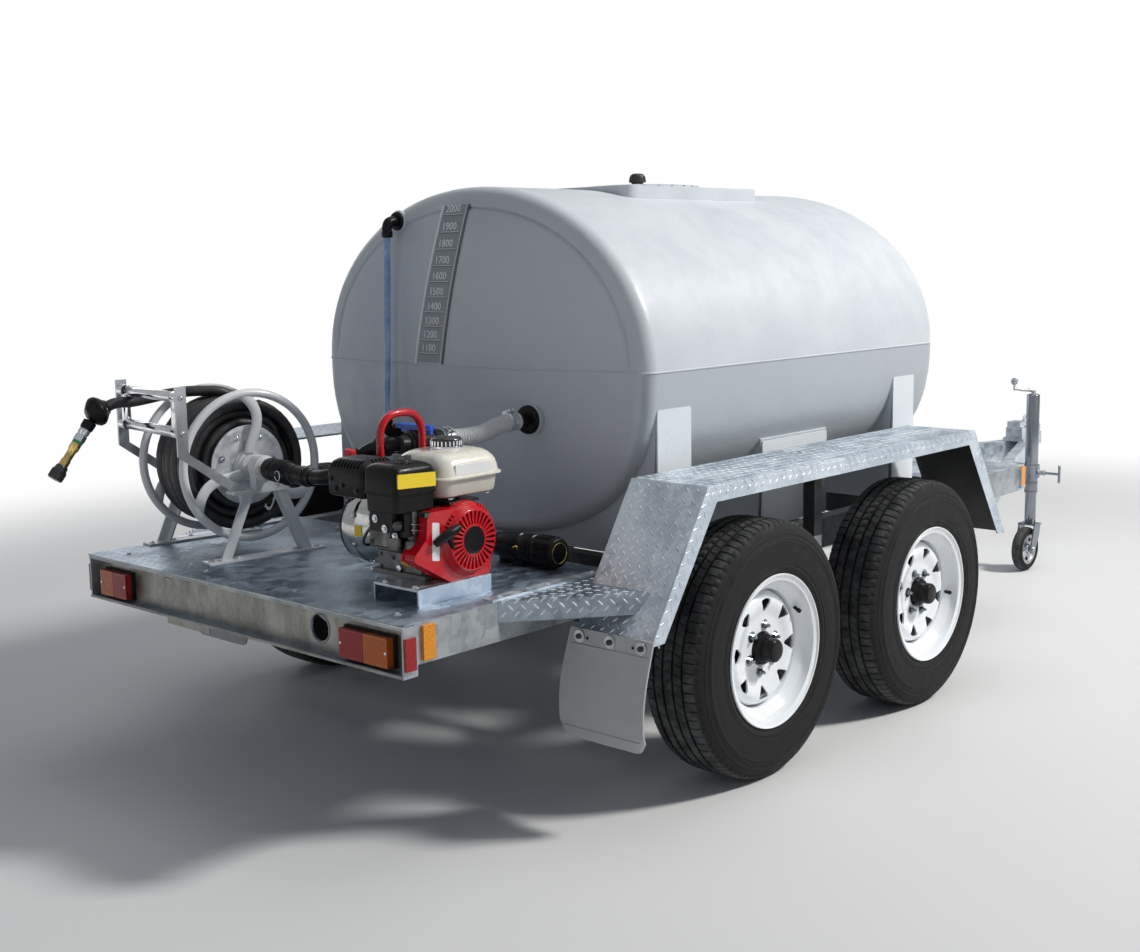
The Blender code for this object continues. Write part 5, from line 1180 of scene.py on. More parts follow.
def make_tank():
    steps = 176  # points round the oval
    angles = [tau * k / steps for k in range(steps)]
    rings = []
    for y, shrink, scale in tank_stations():
        ring = [tank_reach(a, shrink, scale) for a in angles]
        # A groove runs inside the rim of each end, above the seam
        depth = 0.009 * math.exp(-(((scale - 0.972) / 0.009) ** 2)) if scale < 1.0 else 0.0
        depth *= 1 if y < 0 else -1
        dips = [depth * min(1.0, max(0.0, sin(a)) * 8.0) for a in angles]
        rings.append([(x, y + dip, z + TANK["seam"]) for (x, z), dip in zip(ring, dips)])
    points = np.array([p for ring in rings for p in ring])
    faces = [poly[::-1] for poly in grid_faces(len(rings), steps, False, True)]
    last = (len(rings) - 1) * steps
    faces += [tuple(range(steps - 1, -1, -1)), tuple(last + k for k in range(steps))]
    tank = Piece("fine_tank").add("tank_plastic", (points, [poly[::-1] for poly in faces]))
    # Seam
    loop = [((TANK["half"] - shrink) * scale, y, TANK["seam"]) for y, shrink, scale in tank_stations()]
    loop += [(-x, y, z) for x, y, z in loop[::-1]]
    tank.add("tank_plastic", tube(loop, 0.0032, 8, cyclic=True))
    # Scale on the rear end
    for share, finish, radius in (
        (0.0, "tank_line", 0.0042), (0.93, "tank_line", 0.0018), (1.0, "tank_shade", 0.004)
    ):
        edge = [
            (band_x(z, share), end_y(band_x(z, share), z) - 0.0012, z)
            for z in np.linspace(1.142, 1.628, 26)
        ]
        tank.add(finish, tube(edge, radius, 8))
    tank.add("tank_band", end_patch(0.03, 0.97, 1.146, 1.628, 0.0014, 30))
    for k in range(10):
        z = 1.176 + 0.0405 * k + 0.00075 * k * k
        tank.add(
            "tank_line", end_letters(str(1100 + 100 * k), band_x(z, 0.46), z + 0.005, 0.023, 0.0024),
            end_patch(0.12, 0.84, z - 0.0026, z - 0.0008, 0.0034, 5)
        )
        tank.add("tank_shade", end_patch(0.12, 0.84, z - 0.0052, z - 0.003, 0.003, 5))
    for k in range(12):
        z = 1.12 - 0.019 * k
        tank.add(
            "tank_plastic", end_patch(0.15, 0.48, z, z + 0.0018, 0.0012, 5),
            end_patch(0.55, 0.85, z - 0.006, z - 0.0042, 0.0012, 5)
        )
    # Plateau round the lid, feet and the pads of the fittings
    top = TANK["seam"] + TANK["up"]
    middle_y = (TANK["rear"] + TANK["front"]) / 2
    outline = rounded(mm((-260, -360), (260, -360), (260, 360), (-260, 360)), 0.05, 6)
    plateau = shifted(bevel(prism(outline, 0.086), 0.01, 3), 0, middle_y, top - 0.08)
    tank.add("tank_plastic", plateau)
    tank.add("white_label", block(*near((0, middle_y, top), (100, -352, 5.5), (200, -260, 6.8)), 0.0004))
    for y, half, reach, high in (
        (-0.49, 0.082, 0.692, 1.04), (0.19, 0.19, 0.655, 0.89), (0.815, 0.075, 0.692, 1.04)
    ):
        low = 0.606
        shape = [(-reach + 0.012, low), (reach - 0.012, low), (reach, high), (reach - 0.03, high + 0.012)]
        shape += [(-reach + 0.03, high + 0.012), (-reach, high)]
        tank.add("tank_plastic", bevel(plate(shape, y - half, y + half, "y"), 0.01, 3))
        # Painted light: a paler sheet on each foot's outer face, as lit from the side
        for way in (1, -1):
            y0, y1, z0, z1 = y - half + 0.004, y + half - 0.004, low + 0.004, high - 0.006
            face = [(y0, z0), (y1, z0), (y1, z1), (y0, z1)]
            sheet = plate(rounded(face, 0.01, 3), reach - 0.002, reach + 0.0035, "x")
            tank.add("tank_foot_painted_light", sheet if way > 0 else mirrored(sheet))
    for x, z, face, radius in (
        (0.296, 0.993, -0.672, 0.048), (-0.3, 1.585, -0.632, 0.034), (-0.3, 0.914, -0.657, 0.032)
    ):
        pad = lathe(near((radius, 0), (-3, 0), (0, -3), (0, -60)), 40)
        tank.add("tank_plastic", moved(pad, along(BACK, (x, face, z))))
    tank.done(replaces=["tank"], smooth=42)
    lid_z = top + 0.0063
    lid = lathe(
        mm(
            (50, 16), (63, 15.5), (68, 14.2), (120, 13.6), (126, 15.4), (134, 15.4), (140, 13.2),
            (172, 12.6), (180, 12.2), (190, 11.2), (198.5, 9), (203.5, 7), (208.5, 6), (210, 4.5), (210, 0)
        ),
        120
    )
    grips = repeated(block(*mm((196, -6, 1), (209.4, 6, 9.5)), 0.002), 24)
    vent = lathe(
        mm(
            (12, 44), (16.5, 43.5), (20, 41.5), (24, 38), (25.5, 34), (28.5, 16), (28.5, 14), (22, 12.5),
            (20, 11), (20, -2)
        ),
        36
    )
    vent_ribs = ribs(20, (0.0285, 0.0256), (0.016, 0.0335), 0.0013, 6)
    at = Matrix.Translation((0.0, middle_y, lid_z))
    cap = Matrix.Translation((0.0, middle_y, lid_z + 0.013))
    piece = Piece("fine_lid").add("tank_plastic", *moved_all([lid, *grips], at))
    piece.add("dark_steel", *moved_all([vent, *vent_ribs], cap))
    piece.done(replaces=["tank_lid"], smooth=40)


def make_sight_tube():
    piece = Piece("fine_sight_tube")
    x = -0.3
    ends = []
    for (z, face), way in (((1.585, -0.632), -1), ((0.914, -0.657), 1)):
        seat, out = face - 0.0003, face - 0.045
        flange = lathe(mm((10, 18), (14, 17.5), (14, 10), (27, 9.2), (29, 7), (29, 0)), 36)
        piece.add("black_satin", moved(flange, along(BACK, (x, seat, z))))
        hexagon = lathe(mm((18.5, 15.5), (20, 14.5), (20, 8.5)), 6)
        piece.add("black_satin", moved(hexagon, along(BACK, (x, seat, z))))
        bend = [
            (x, seat - 0.012, z), (x, out + 0.02, z), (x, out + 0.006, z + way * 0.006),
            (x, out, z + way * 0.02), (x, out, z + way * 0.034)
        ]
        piece.add("black_satin", tube(smooth_path(bend, 6), 0.0158, 20))
        nut = lathe(mm((10, 22), (15.5, 21), (17.5, 18), (18, 4), (16, 0)), 14)
        piece.add("black_satin", moved(nut, along((0, 0, way), (x, out, z + way * 0.03))))
        ends.append(Vector((x, out, z + way * 0.045)))
    run = ends[1] - ends[0]
    sag = [ends[0] + run * k / 24 + Vector((0.006, -0.004, 0)) * sin(pi * k / 24) for k in range(25)]
    piece.add("sight_tube", tube(sag, 0.0105, 20))
    piece.done(replaces=["sight_tube"], smooth=40)


def clamp_band(radius, width, turn):
    """A worm-drive hose clamp about Z: two edges, slots and the screw's housing."""
    band = lathe(
        [
            (radius + 0.0003, width / 2), (radius + 0.0013, width / 2 - 0.0005),
            (radius + 0.0013, -width / 2 + 0.0005), (radius + 0.0003, -width / 2)
        ],
        40
    )
    slots = repeated(
        block((radius + 0.0008, -0.0008, -width * 0.3), (radius + 0.0018, 0.0008, width * 0.3)), 30
    )
    house = block((radius - 0.001, -0.009, -width * 0.42), (radius + 0.009, 0.009, width * 0.42), 0.0015)
    screw = tube(near((radius, 0, 0), (5, -16, 0), (5, 12, 0)), 0.0036, 12)
    head = turned(BACK, (radius + 0.005, -0.015, 0), mm((3.5, 4), (4.6, 3), (4.6, 0)), 6)
    return moved(stacked(band, *slots, house, screw, head), about_z(turn))


def make_suction():
    outlet = Piece("fine_tank_outlet")
    flange = lathe(
        mm((17, 50), (21, 49.5), (21, 15), (25, 14), (36, 12.8), (40.5, 11), (42.5, 7), (43, 0)), 56
    )
    outlet.add("black_satin", moved(flange, along(BACK, (0.296, -0.6723, 0.993))))
    outlet.done(replaces=["tank_outlet"], smooth=40)
    start = -0.672 - 0.0006 - 0.05
    points = [
        (0.296, start, 0.993), (0.296, -0.76, 0.993), (0.296, -0.81, 0.985), (0.291, -0.86, 0.971),
        (0.276, -0.91, 0.965), (0.262, -0.96, 0.965), (0.262, -1.0, 0.965)
    ]
    path = smooth_path(points, 60)
    hose = Piece("fine_suction_hose")
    hose.add(
        "suction_grey", tube(path, 0.0252, 24, swell=lambda share: 1.0 + 0.026 * sin(share * 40 * tau))
    )
    for turn, x, y, z in (
        (1.9, 0.296, -0.742, 0.993), (1.9, 0.296, -0.758, 0.993), (1.2, 0.262, -0.968, 0.965),
        (1.2, 0.262, -0.984, 0.965)
    ):
        hose.add("zinc_bright", moved(clamp_band(0.0262, 0.012, turn), along(BACK, (x, y, z))))
    hose.done(replaces=["suction_hose"], smooth=60)
    x, z, y = 0.262, 0.965, -1.0
    valve = Piece("fine_suction_valve")
    body = lathe(
        mm(
            (26, 0.5), (30, -1), (30, -16), (33.5, -18), (33.5, -34), (30, -36), (30, -46), (36, -50),
            (37.5, -58), (37.5, -100), (36, -110), (31, -115), (31, -122), (25.5, -124), (24, -150)
        ),
        40
    )
    valve.add("black_plastic", moved(body, along((0, 1, 0), (x, y, z))))
    for radius, low, high in ((0.0335, -0.033, -0.019), (0.0375, -0.098, -0.06)):
        grip = ribs(20, (radius, radius), (low, high), 0.0014, 6)
        valve.add("black_plastic", *moved_all(grip, along((0, 1, 0), (x, y, z))))
    valve.add("black_plastic", turned(UP, (x, y - 0.084, z), mm((9, 42), (12, 40), (12, 0)), 16))
    # Blue lever: a bar that widens to both tips
    lever = rounded(
        mm((-75, -12), (-18, -16), (18, -16), (60, -11), (60, 11), (18, 16), (-18, 16), (-75, 12)), 0.007, 4
    )
    top = bevel(prism(lever, 0.013), 0.003)
    valve.add("blue_plastic", placed(top, x, y - 0.084, z + 0.038))
    for way, reach in ((-1, 0.075), (1, 0.06)):
        wing = block(
            (min(0, way * reach * 0.72), -0.0045, -0.012), (max(0, way * reach * 0.95), 0.0045, 0.004),
            0.002
        )
        valve.add("blue_plastic", placed(wing, x + way * 0.004, y - 0.084, z + 0.04))
    down = 0.1347
    run = [
        (x, y - 0.112, z), (x, y - 0.125, z), (x - 0.027, y - 0.15, z - 0.004),
        (down + 0.046, CRANK_Y + 0.039, z - 0.012), (down + 0.012, CRANK_Y + 0.019, z - 0.035),
        (down, CRANK_Y, z - 0.075), (down, CRANK_Y, CRANK_Z + 0.03),
        (down + 0.012, CRANK_Y, CRANK_Z + 0.002), (0.1645, CRANK_Y, CRANK_Z)
    ]
    valve.add("black_satin", tube(smooth_path(run), 0.021, 22))
    collar = lathe(mm((24, 18), (27.5, 17), (27.5, -17), (24, -18)), 32)
    path = smooth_path(run)
    for step in (20, 34, 47):
        valve.add("black_plastic", moved(collar, along(path[step + 1] - path[step], path[step])))
    valve.add(
        "zinc_bright", moved(clamp_band(0.0212, 0.011, 0.6), along(UP, (down, CRANK_Y, CRANK_Z + 0.075)))
    )
    valve.done(replaces=["suction_valve"], smooth=42)


# Hose reel

JOINTS = {joint["name"]: joint for joint in frame["record"]["behaviour"]["joints"]}
REEL_AXIS = Vector(JOINTS["reel_spin"]["axis"])
REEL = Matrix.Translation(Vector(JOINTS["reel_spin"]["pos_m"]) - Vector((0, AHEAD, 0)))
REEL = REEL @ about_z(math.atan2(REEL_AXIS.y, REEL_AXIS.x))
REEL_Z = 0.871
CRANK_Y, CRANK_Z = middle("pump_casing").y - AHEAD, 0.752


def reel_shape(shape):
    return moved(shape, REEL)


def on_reel(direction, at, shape):
    """A shape made about Z, placed along a direction in the reel's own axes."""
    return reel_shape(moved(shape, along(direction, at)))


def outward(direction, at, profile, steps):
    """A lathed part of the reel whose heights run outwards from a place."""
    flipped = [(r, -h) for r, h in profile]
    return on_reel(direction, at, lathe(flipped, steps))


def make_drum():
    drum = Piece("fine_reel_drum")
    ring = [(0.0, 0.214 * cos(a), 0.214 * sin(a)) for a in np.arange(112) * tau / 112]
    across = along((1, 0, 0))
    shaft = moved(lathe(mm((15.5, 232), (17.5, 230), (17.5, -230), (15.5, -232)), 32), across)
    hub = moved(lathe(mm((100, 113), (105, 111), (105, -111), (100, -113)), 72), across)
    drum.add("reel_grey", reel_shape(shaft), reel_shape(hub))
    for side in (1, -1):
        x = side * 0.135
        rim = shifted(tube(ring, 0.0125, 18, cyclic=True), x, 0, 0)
        disc = lathe(
            mm(
                (40, 120), (44, 119.2), (62, 119.2), (70, 117.8), (98, 117.8), (102, 119.2), (110, 120),
                (116.5, 119.2), (118, 116.5), (116.5, 113.5), (0, 113.5)
            ),
            96
        )
        turn = along((side, 0, 0))
        drum.add("reel_grey", reel_shape(rim))
        drum.add("reel_disc", reel_shape(moved(disc, turn)))
        boss = lathe(
            mm((30, 147), (33.5, 146), (34, 138), (42, 136), (42.5, 127), (46, 125), (46, 118)), 48
        )
        drum.add("reel_grey", reel_shape(moved(boss, turn)))
        for k in range(7):
            a = tau * (k + 0.2) / 7
            place = along((side, 0, 0), (side * 0.1178, 0.088 * cos(a), 0.088 * sin(a)))
            drum.add("zinc_bright", reel_shape(moved(nut_and_stud(0.0062, 0.0055), place)))
        for k in range(3):
            angle = tau * (k + 0.79) / 3
            points = []
            for step in range(15):
                share = step / 14
                radius = 0.036 + (0.214 - 0.038) * share
                swing = angle - 0.28 * sin(pi * share)
                points.append((x + 0.0007, radius * cos(swing), radius * sin(swing)))
            there, back = Matrix.Translation((x, 0, 0)), Matrix.Translation((-x, 0, 0))
            squash = there @ Matrix.Diagonal((0.5, 1, 1, 1)) @ back
            flat = moved(tube(points, 0.0165, 16), squash)
            drum.add("reel_grey", reel_shape(flat))
    drum.done("reel", ["reel_drum"], smooth=45)


def make_wound_hose():
    """The hose as separate turns in three layers, a little uneven as wound by hand."""
    radius = 0.0163
    coil = Piece("fine_wound_hose")
    path = []
    layers = ((0.1225, 6, 1), (0.152, 5, -1), (0.18, 6, 1))
    per = 44
    rng = np.random.default_rng(7)
    for layer, (r, turns, way) in enumerate(layers):
        half = 0.084 if turns == 6 else 0.0675
        offset = rng.uniform(-1, 1, 4)
        count = turns * per
        for k in range(count):
            share = k / (count - 1)
            a = tau * k / per + layer * 0.7
            stepped = math.floor(share * turns) + np.clip(((share * turns) % 1.0 - 0.86) / 0.14, 0, 1)
            x = way * (-half + 2 * half * min(stepped, turns - 1) / (turns - 1))
            wobble = 0.0022 * sin(a * 0.31 + offset[0] * 3) + 0.0016 * sin(a * 1.27 + offset[1] * 5)
            if layer == 2:
                wobble = min(wobble, 0.0012)
            x += 0.0018 * sin(a * 0.83 + offset[2] * 4)
            path.append((x, (r + wobble) * cos(a), (r + wobble) * sin(a)))
    coil.add("hose_rubber", reel_shape(tube(path, radius, 12)))
    coil.done("reel", ["wound_hose"], smooth=60)


def make_fairlead():
    reach, low, high, knee = -0.243, 0.992 - REEL_Z, 1.092 - REEL_Z, 0.926 - REEL_Z
    base = 0.806 - REEL_Z + 0.0043
    lead = Piece("fine_fairlead")
    for side in (1, -1):
        x = side * 0.2
        outline = [
            (-0.04, base), (-0.1, base), (reach - 0.016, knee), (reach - 0.016, high + 0.03),
            (reach + 0.016, high + 0.03), (reach + 0.016, knee + 0.006), (-0.096, base + 0.03),
            (-0.04, base + 0.008)
        ]
        bar = bevel(plate(outline, x - 0.004, x + 0.004, "x"), 0.0012, 1)
        lead.add("zinc_bar", reel_shape(bar))
        for z in (low, high):
            cap = lathe(mm((15, 33), (17.5, 31.5), (18, 28), (18, 0)), 32)
            lead.add("chrome", on_reel((-side, 0, 0), (side * 0.196, reach, z), cap))
            collar = lathe([(0.016, 0.006), (0.0165, 0.0)], 28)
            lead.add("black_gloss", on_reel((-side, 0, 0), (side * 0.165, reach, z), collar))
            lead.add(
                "zinc_bright", on_reel((side, 0, 0), (side * 0.204, reach, z), bolt(0.006, 0.004, 1.4))
            )
        upright = lathe(mm((12.5, 45), (13.5, 43), (13.5, -43), (12.5, -45)), 28)
        lead.add("chrome", reel_shape(shifted(upright, side * 0.168, reach, (low + high) / 2)))
    for z in (low, high):
        roller = lathe(mm((14, 159), (15.2, 157), (15.2, -157), (14, -159)), 36)
        lead.add(
            "chrome", on_reel((1, 0, 0), (0, reach, z), roller),
            on_reel((1, 0, 0), (0, reach, z), lathe([(0.006, 0.198), (0.006, -0.198)], 12))
        )
    lead.done(replaces=["fairlead"], smooth=38)


def make_hose_tail():
    x = -0.138
    centre = Vector((x, -0.346, 0.168))
    axis = Vector((0.0, 0.94, 0.342)).normalized()
    end = centre + axis * 0.0343
    points = [
        (x + 0.091, 0.12, 0.138), (x + 0.089, 0.07, 0.178), (x + 0.082, 0.01, 0.2055),
        (x + 0.068, -0.04, 0.211), (x + 0.048, -0.095, 0.2105), (x + 0.022, -0.15, 0.203),
        (x + 0.004, -0.2, 0.193), (x, -0.243, 0.188), (x, -0.272, 0.189), tuple(end + axis * 0.018),
        tuple(end)
    ]
    Piece("fine_hose_tail").add(
        "hose_rubber", reel_shape(tube(smooth_path(points), 0.0163, 20))
    ).done(replaces=["hose_tail"], smooth=60)
    stop = lathe(
        mm(
            (18, 34), (21.5, 32.5), (24, 27), (30, 21.5), (37, 15), (41.5, 9), (43, 7), (44, 4.5),
            (44, -4.5), (43, -7), (41.5, -9), (37, -15), (30, -21.5), (23, -27.5), (20, -30)
        ),
        64
    )
    piece = Piece("fine_hose_stop").add("black_satin", on_reel(axis, centre, stop))
    face = centre + axis * 0.0185
    side = Vector((1, 0, 0))
    for way in (-1, 1):
        piece.add("zinc_bright", on_reel(axis, face + side * 0.029 * way, bolt(0.0042, 0.003, 1.3)))
    piece.done(replaces=["hose_stop"], smooth=40)
    down = Vector((0.0, -0.597, -0.803)).normalized()
    neck = centre + down * 0.0358
    nozzle = Piece("fine_nozzle")
    for finish, steps, profile in (
        ("black_satin", 36, mm((16.5, 0), (19.5, 1), (20, 4), (19.5, 22), (16.5, 28), (15, 34))),
        ("zinc_bright", 36, mm((14, 26), (16.5, 28), (16.8, 40), (15, 43), (15, 48))),
        ("zinc_bright", 6, mm((15, 46), (17.2, 48), (17.2, 66), (15, 68))),
        ("green_ring", 36, mm((14, 67), (15.6, 68), (15.6, 75), (14, 76))),
        (
            "brass", 36,
            mm(
                (13, 75), (15, 76), (15.5, 79), (15.5, 94), (14, 97), (12.5, 101), (12.2, 128), (14.2, 132),
                (14.2, 160)
            )
        ),
        (
            "black_gloss", 36,
            mm(
                (15, 150), (17, 152), (18.2, 156), (18.5, 161), (20.5, 166), (21.5, 170), (21.5, 192),
                (20, 196.5), (9, 197), (8, 192)
            )
        )
    ):
        nozzle.add(finish, outward(-down, neck, profile, steps))
    for rib in ribs(22, [0.0212] * 3, (-0.168, -0.18, -0.194), 0.0016, 6):
        nozzle.add("black_gloss", on_reel(-down, neck, rib))
    nozzle.done(replaces=["nozzle"], smooth=36)


def make_reel_fittings():
    """Bolts of the stands, and the swivel with the lever coupling on the pump's side."""
    bits = Piece("reel_bolts")
    deck = DECK_TOP - REEL_Z + 0.0065
    for side in (1, -1):
        for way in (1, -1):
            for reach in (0.172, 0.1):
                bits.add("zinc_bright", on_reel(UP, (side * 0.2, way * reach, deck), bolt(0.0065, 0.005)))
        housing = lathe(mm((26, 28), (30, 27), (31, 24), (36.5, 22), (37.2, 17), (37.2, 0)), 40)
        bits.add("reel_grey", on_reel((side, 0, 0), (side * 0.2035, 0, 0), housing))
        for way in (1, -1):
            bits.add(
                "zinc_bright", on_reel(UP, (side * 0.2, way * 0.048, -0.0605), bolt(0.0055, 0.005)),
                on_reel((side, 0, 0), (side * 0.2235, way * 0.014, 0.02), bolt(0.0055, 0.006))
            )
    bits.done(smooth=36)
    line = Piece("fine_delivery_line")
    for finish, profile in (
        ("brass", mm((20, 233.5), (23.5, 235), (24, 242), (22.5, 244), (22.5, 254))),
        (
            "black_plastic",
            mm(
                (27, 248), (32, 250), (33.5, 256), (33.5, 290), (30, 293), (30, 299), (33.5, 302),
                (34, 308), (34, 348), (32, 352), (29, 353)
            )
        ),
        (
            "black_satin",
            mm(
                (25, 352), (28.5, 354), (28.5, 370), (25.5, 372), (25.5, 386), (27.5, 388), (27.5, 404),
                (25.5, 406), (25.5, 436), (28.5, 438), (28.5, 470), (25, 472), (24, 496)
            )
        )
    ):
        line.add(finish, outward((-1, 0, 0), (0, 0, 0), profile, 40))
    for way in (1, -1):
        arm = block((0.262, way * 0.032 - 0.0045, -0.008), (0.34, way * 0.032 + 0.0045, 0.008), 0.002)
        line.add("black_satin", reel_shape(arm))
        ring = [
            (0.352 + 0.014 * cos(a), way * 0.034, -0.006 + 0.014 * sin(a)) for a in np.arange(24) * tau / 24
        ]
        line.add("zinc_bright", reel_shape(tube(ring, 0.0014, 8, cyclic=True)))
    links = 17
    for k in range(links):
        share = k / (links - 1)
        cx = 0.352 - 0.075 * share
        cz = -0.022 - 0.085 * sin(pi * min(1.0, share * 0.62 + 0.02))
        oval = []
        for j in range(12):
            a = tau * j / 12
            u, v = 0.0052 * cos(a), 0.003 * sin(a)
            oval.append(
                (cx + u * 0.7, -0.034 + (v if k % 2 else 0.0), cz - (0.0 if k % 2 else v) + u * 0.6)
            )
        line.add("zinc_bright", reel_shape(tube(oval, 0.0009, 6, cyclic=True)))
    reel_end = REEL @ Vector((0.48, 0, 0))
    run = [
        tuple(reel_end), (0.11, CRANK_Y - 0.078, 0.881), (0.165, CRANK_Y - 0.045, 0.898),
        (0.205, CRANK_Y - 0.022, 0.912), (0.23, CRANK_Y - 0.004, 0.91), (0.235, CRANK_Y, 0.893),
        (0.235, CRANK_Y, 0.8775)
    ]
    line.add("black_satin", tube(smooth_path(run), 0.0208, 22))
    nut = lathe(mm((22, 15), (25.5, 14), (26.5, 2), (25, 0)), 8)
    line.add("black_plastic", moved(nut, along(UP, (0.235, CRANK_Y, 0.8778))))
    knob = lathe(mm((10, 44), (15, 42), (17, 37), (17, 26), (12, 22), (9, 0)), 24)
    line.add("red_plastic", moved(knob, along((0.15, 0.1, 1), (0.165, CRANK_Y - 0.045, 0.915))))
    line.done(replaces=["delivery_line"], smooth=40)


make_tank()
make_sight_tube()
make_suction()
make_drum()
make_wound_hose()
make_fairlead()
make_hose_tail()
make_reel_fittings()


# Engine and pump


def ring_of(x0, x1, y0, y1, z, radius, corner=7):
    """A level rectangle with round corners, as points."""
    points = []
    for cx, cy, start in ((x1, y1, 0), (x0, y1, 1), (x0, y0, 2), (x1, y0, 3)):
        mx = cx - math.copysign(radius, cx - (x0 + x1) / 2)
        my = cy - math.copysign(radius, cy - (y0 + y1) / 2)
        for k in range(corner):
            a = pi / 2 * (start + k / (corner - 1))
            points.append((mx + radius * cos(a), my + radius * sin(a), z))
    return points


def loft(box, levels, corner=7):
    """A closed shape over a level rectangle: each level is (z, inset, corner radius)."""
    x0, x1, y0, y1 = box
    rings = [ring_of(x0 + i, x1 - i, y0 + i, y1 - i, z, r, corner) for z, i, r in levels]
    count = 4 * corner
    faces = grid_faces(len(rings), count, False, True)
    last = (len(rings) - 1) * count
    faces += [tuple(range(count - 1, -1, -1)), tuple(last + k for k in range(count))]
    return np.array([p for ring in rings for p in ring]), faces


ENGINE_BASE = 0.6523
BLOCK_TOP = ENGINE_BASE + 0.1903
FACE_X = 0.6
PUMP_OUTLET = Vector((0.235, CRANK_Y, CRANK_Z))


def make_fuel_tank():
    y = CRANK_Y
    seam = ENGINE_BASE + 0.262
    top = ENGINE_BASE + 0.325
    tank = Piece("fine_fuel_tank")
    pan = [
        (ENGINE_BASE + 0.2075, 0.024, 0.024), (ENGINE_BASE + 0.2085, 0.016, 0.028),
        (ENGINE_BASE + 0.213, 0.009, 0.032), (ENGINE_BASE + 0.222, 0.006, 0.034),
        (seam - 0.004, 0.002, 0.036)
    ]
    tank.add("cream_shade", loft((0.366, 0.568, y - 0.073, y + 0.143), pan))
    flange = near((seam, 0, 0), (-6, 3, 40), (-5, 0, 42), (-0.5, 0, 42), (1.5, 3, 40))
    tank.add("cream_paint", loft((0.358, 0.577, y - 0.0815, y + 0.152), flange))
    upper = [
        (seam + 0.001, 0.0, 0.04), (seam + 0.004, 0.0005, 0.04), (seam + 0.02, 0.003, 0.04),
        (seam + 0.034, 0.007, 0.04), (top - 0.019, 0.013, 0.04), (top - 0.011, 0.021, 0.038),
        (top - 0.005, 0.032, 0.034), (top - 0.0015, 0.046, 0.028), (top - 0.0002, 0.062, 0.022),
        (top, 0.08, 0.014)
    ]
    tank.add("cream_paint", loft((0.363, 0.572, y - 0.076, y + 0.146), upper, 9))
    cap_at = Matrix.Translation((0.475, y + 0.03, top))
    base = lathe(mm((30, 8), (41, 7), (42.5, 4), (42.5, 0.5), (40, -4)), 56)
    side = lathe(mm((39, 24), (40, 22), (40.2, 8), (39, 6)), 56)
    crown = lathe(mm((20, 30), (31, 29.6), (37, 28), (40, 25), (40.8, 21.5), (40, 20)), 56)
    tank.add("chrome", moved(base, cap_at))
    tank.add("black_gloss", moved(side, cap_at), moved(crown, cap_at))
    tank.add("chrome", *moved_all(ribs(24, [0.0402] * 2, (0.0085, 0.0205), 0.0022, 6), cap_at))
    label = block((0.5665, y - 0.03, seam - 0.0105 + 0.015), (0.5718, y + 0.095, seam + 0.03), 0.0006)
    tank.add("white_label", label)
    neck = block((0.4, y - 0.05, BLOCK_TOP), (0.5, y + 0.05, ENGINE_BASE + 0.212), 0.004)
    bracket = block(*near((0, y, ENGINE_BASE), (508, -45, 192), (560, 60, 199)), 0.002)
    tank.add("black_gloss", neck, bracket)
    for dy in (-0.03, 0.1):
        tank.add("zinc_bright", bolt_at(DOWN, (0.548, y + dy, ENGINE_BASE + 0.2075), 0.006, 0.005))
    tank.done(replaces=["fuel_tank"], smooth=38)


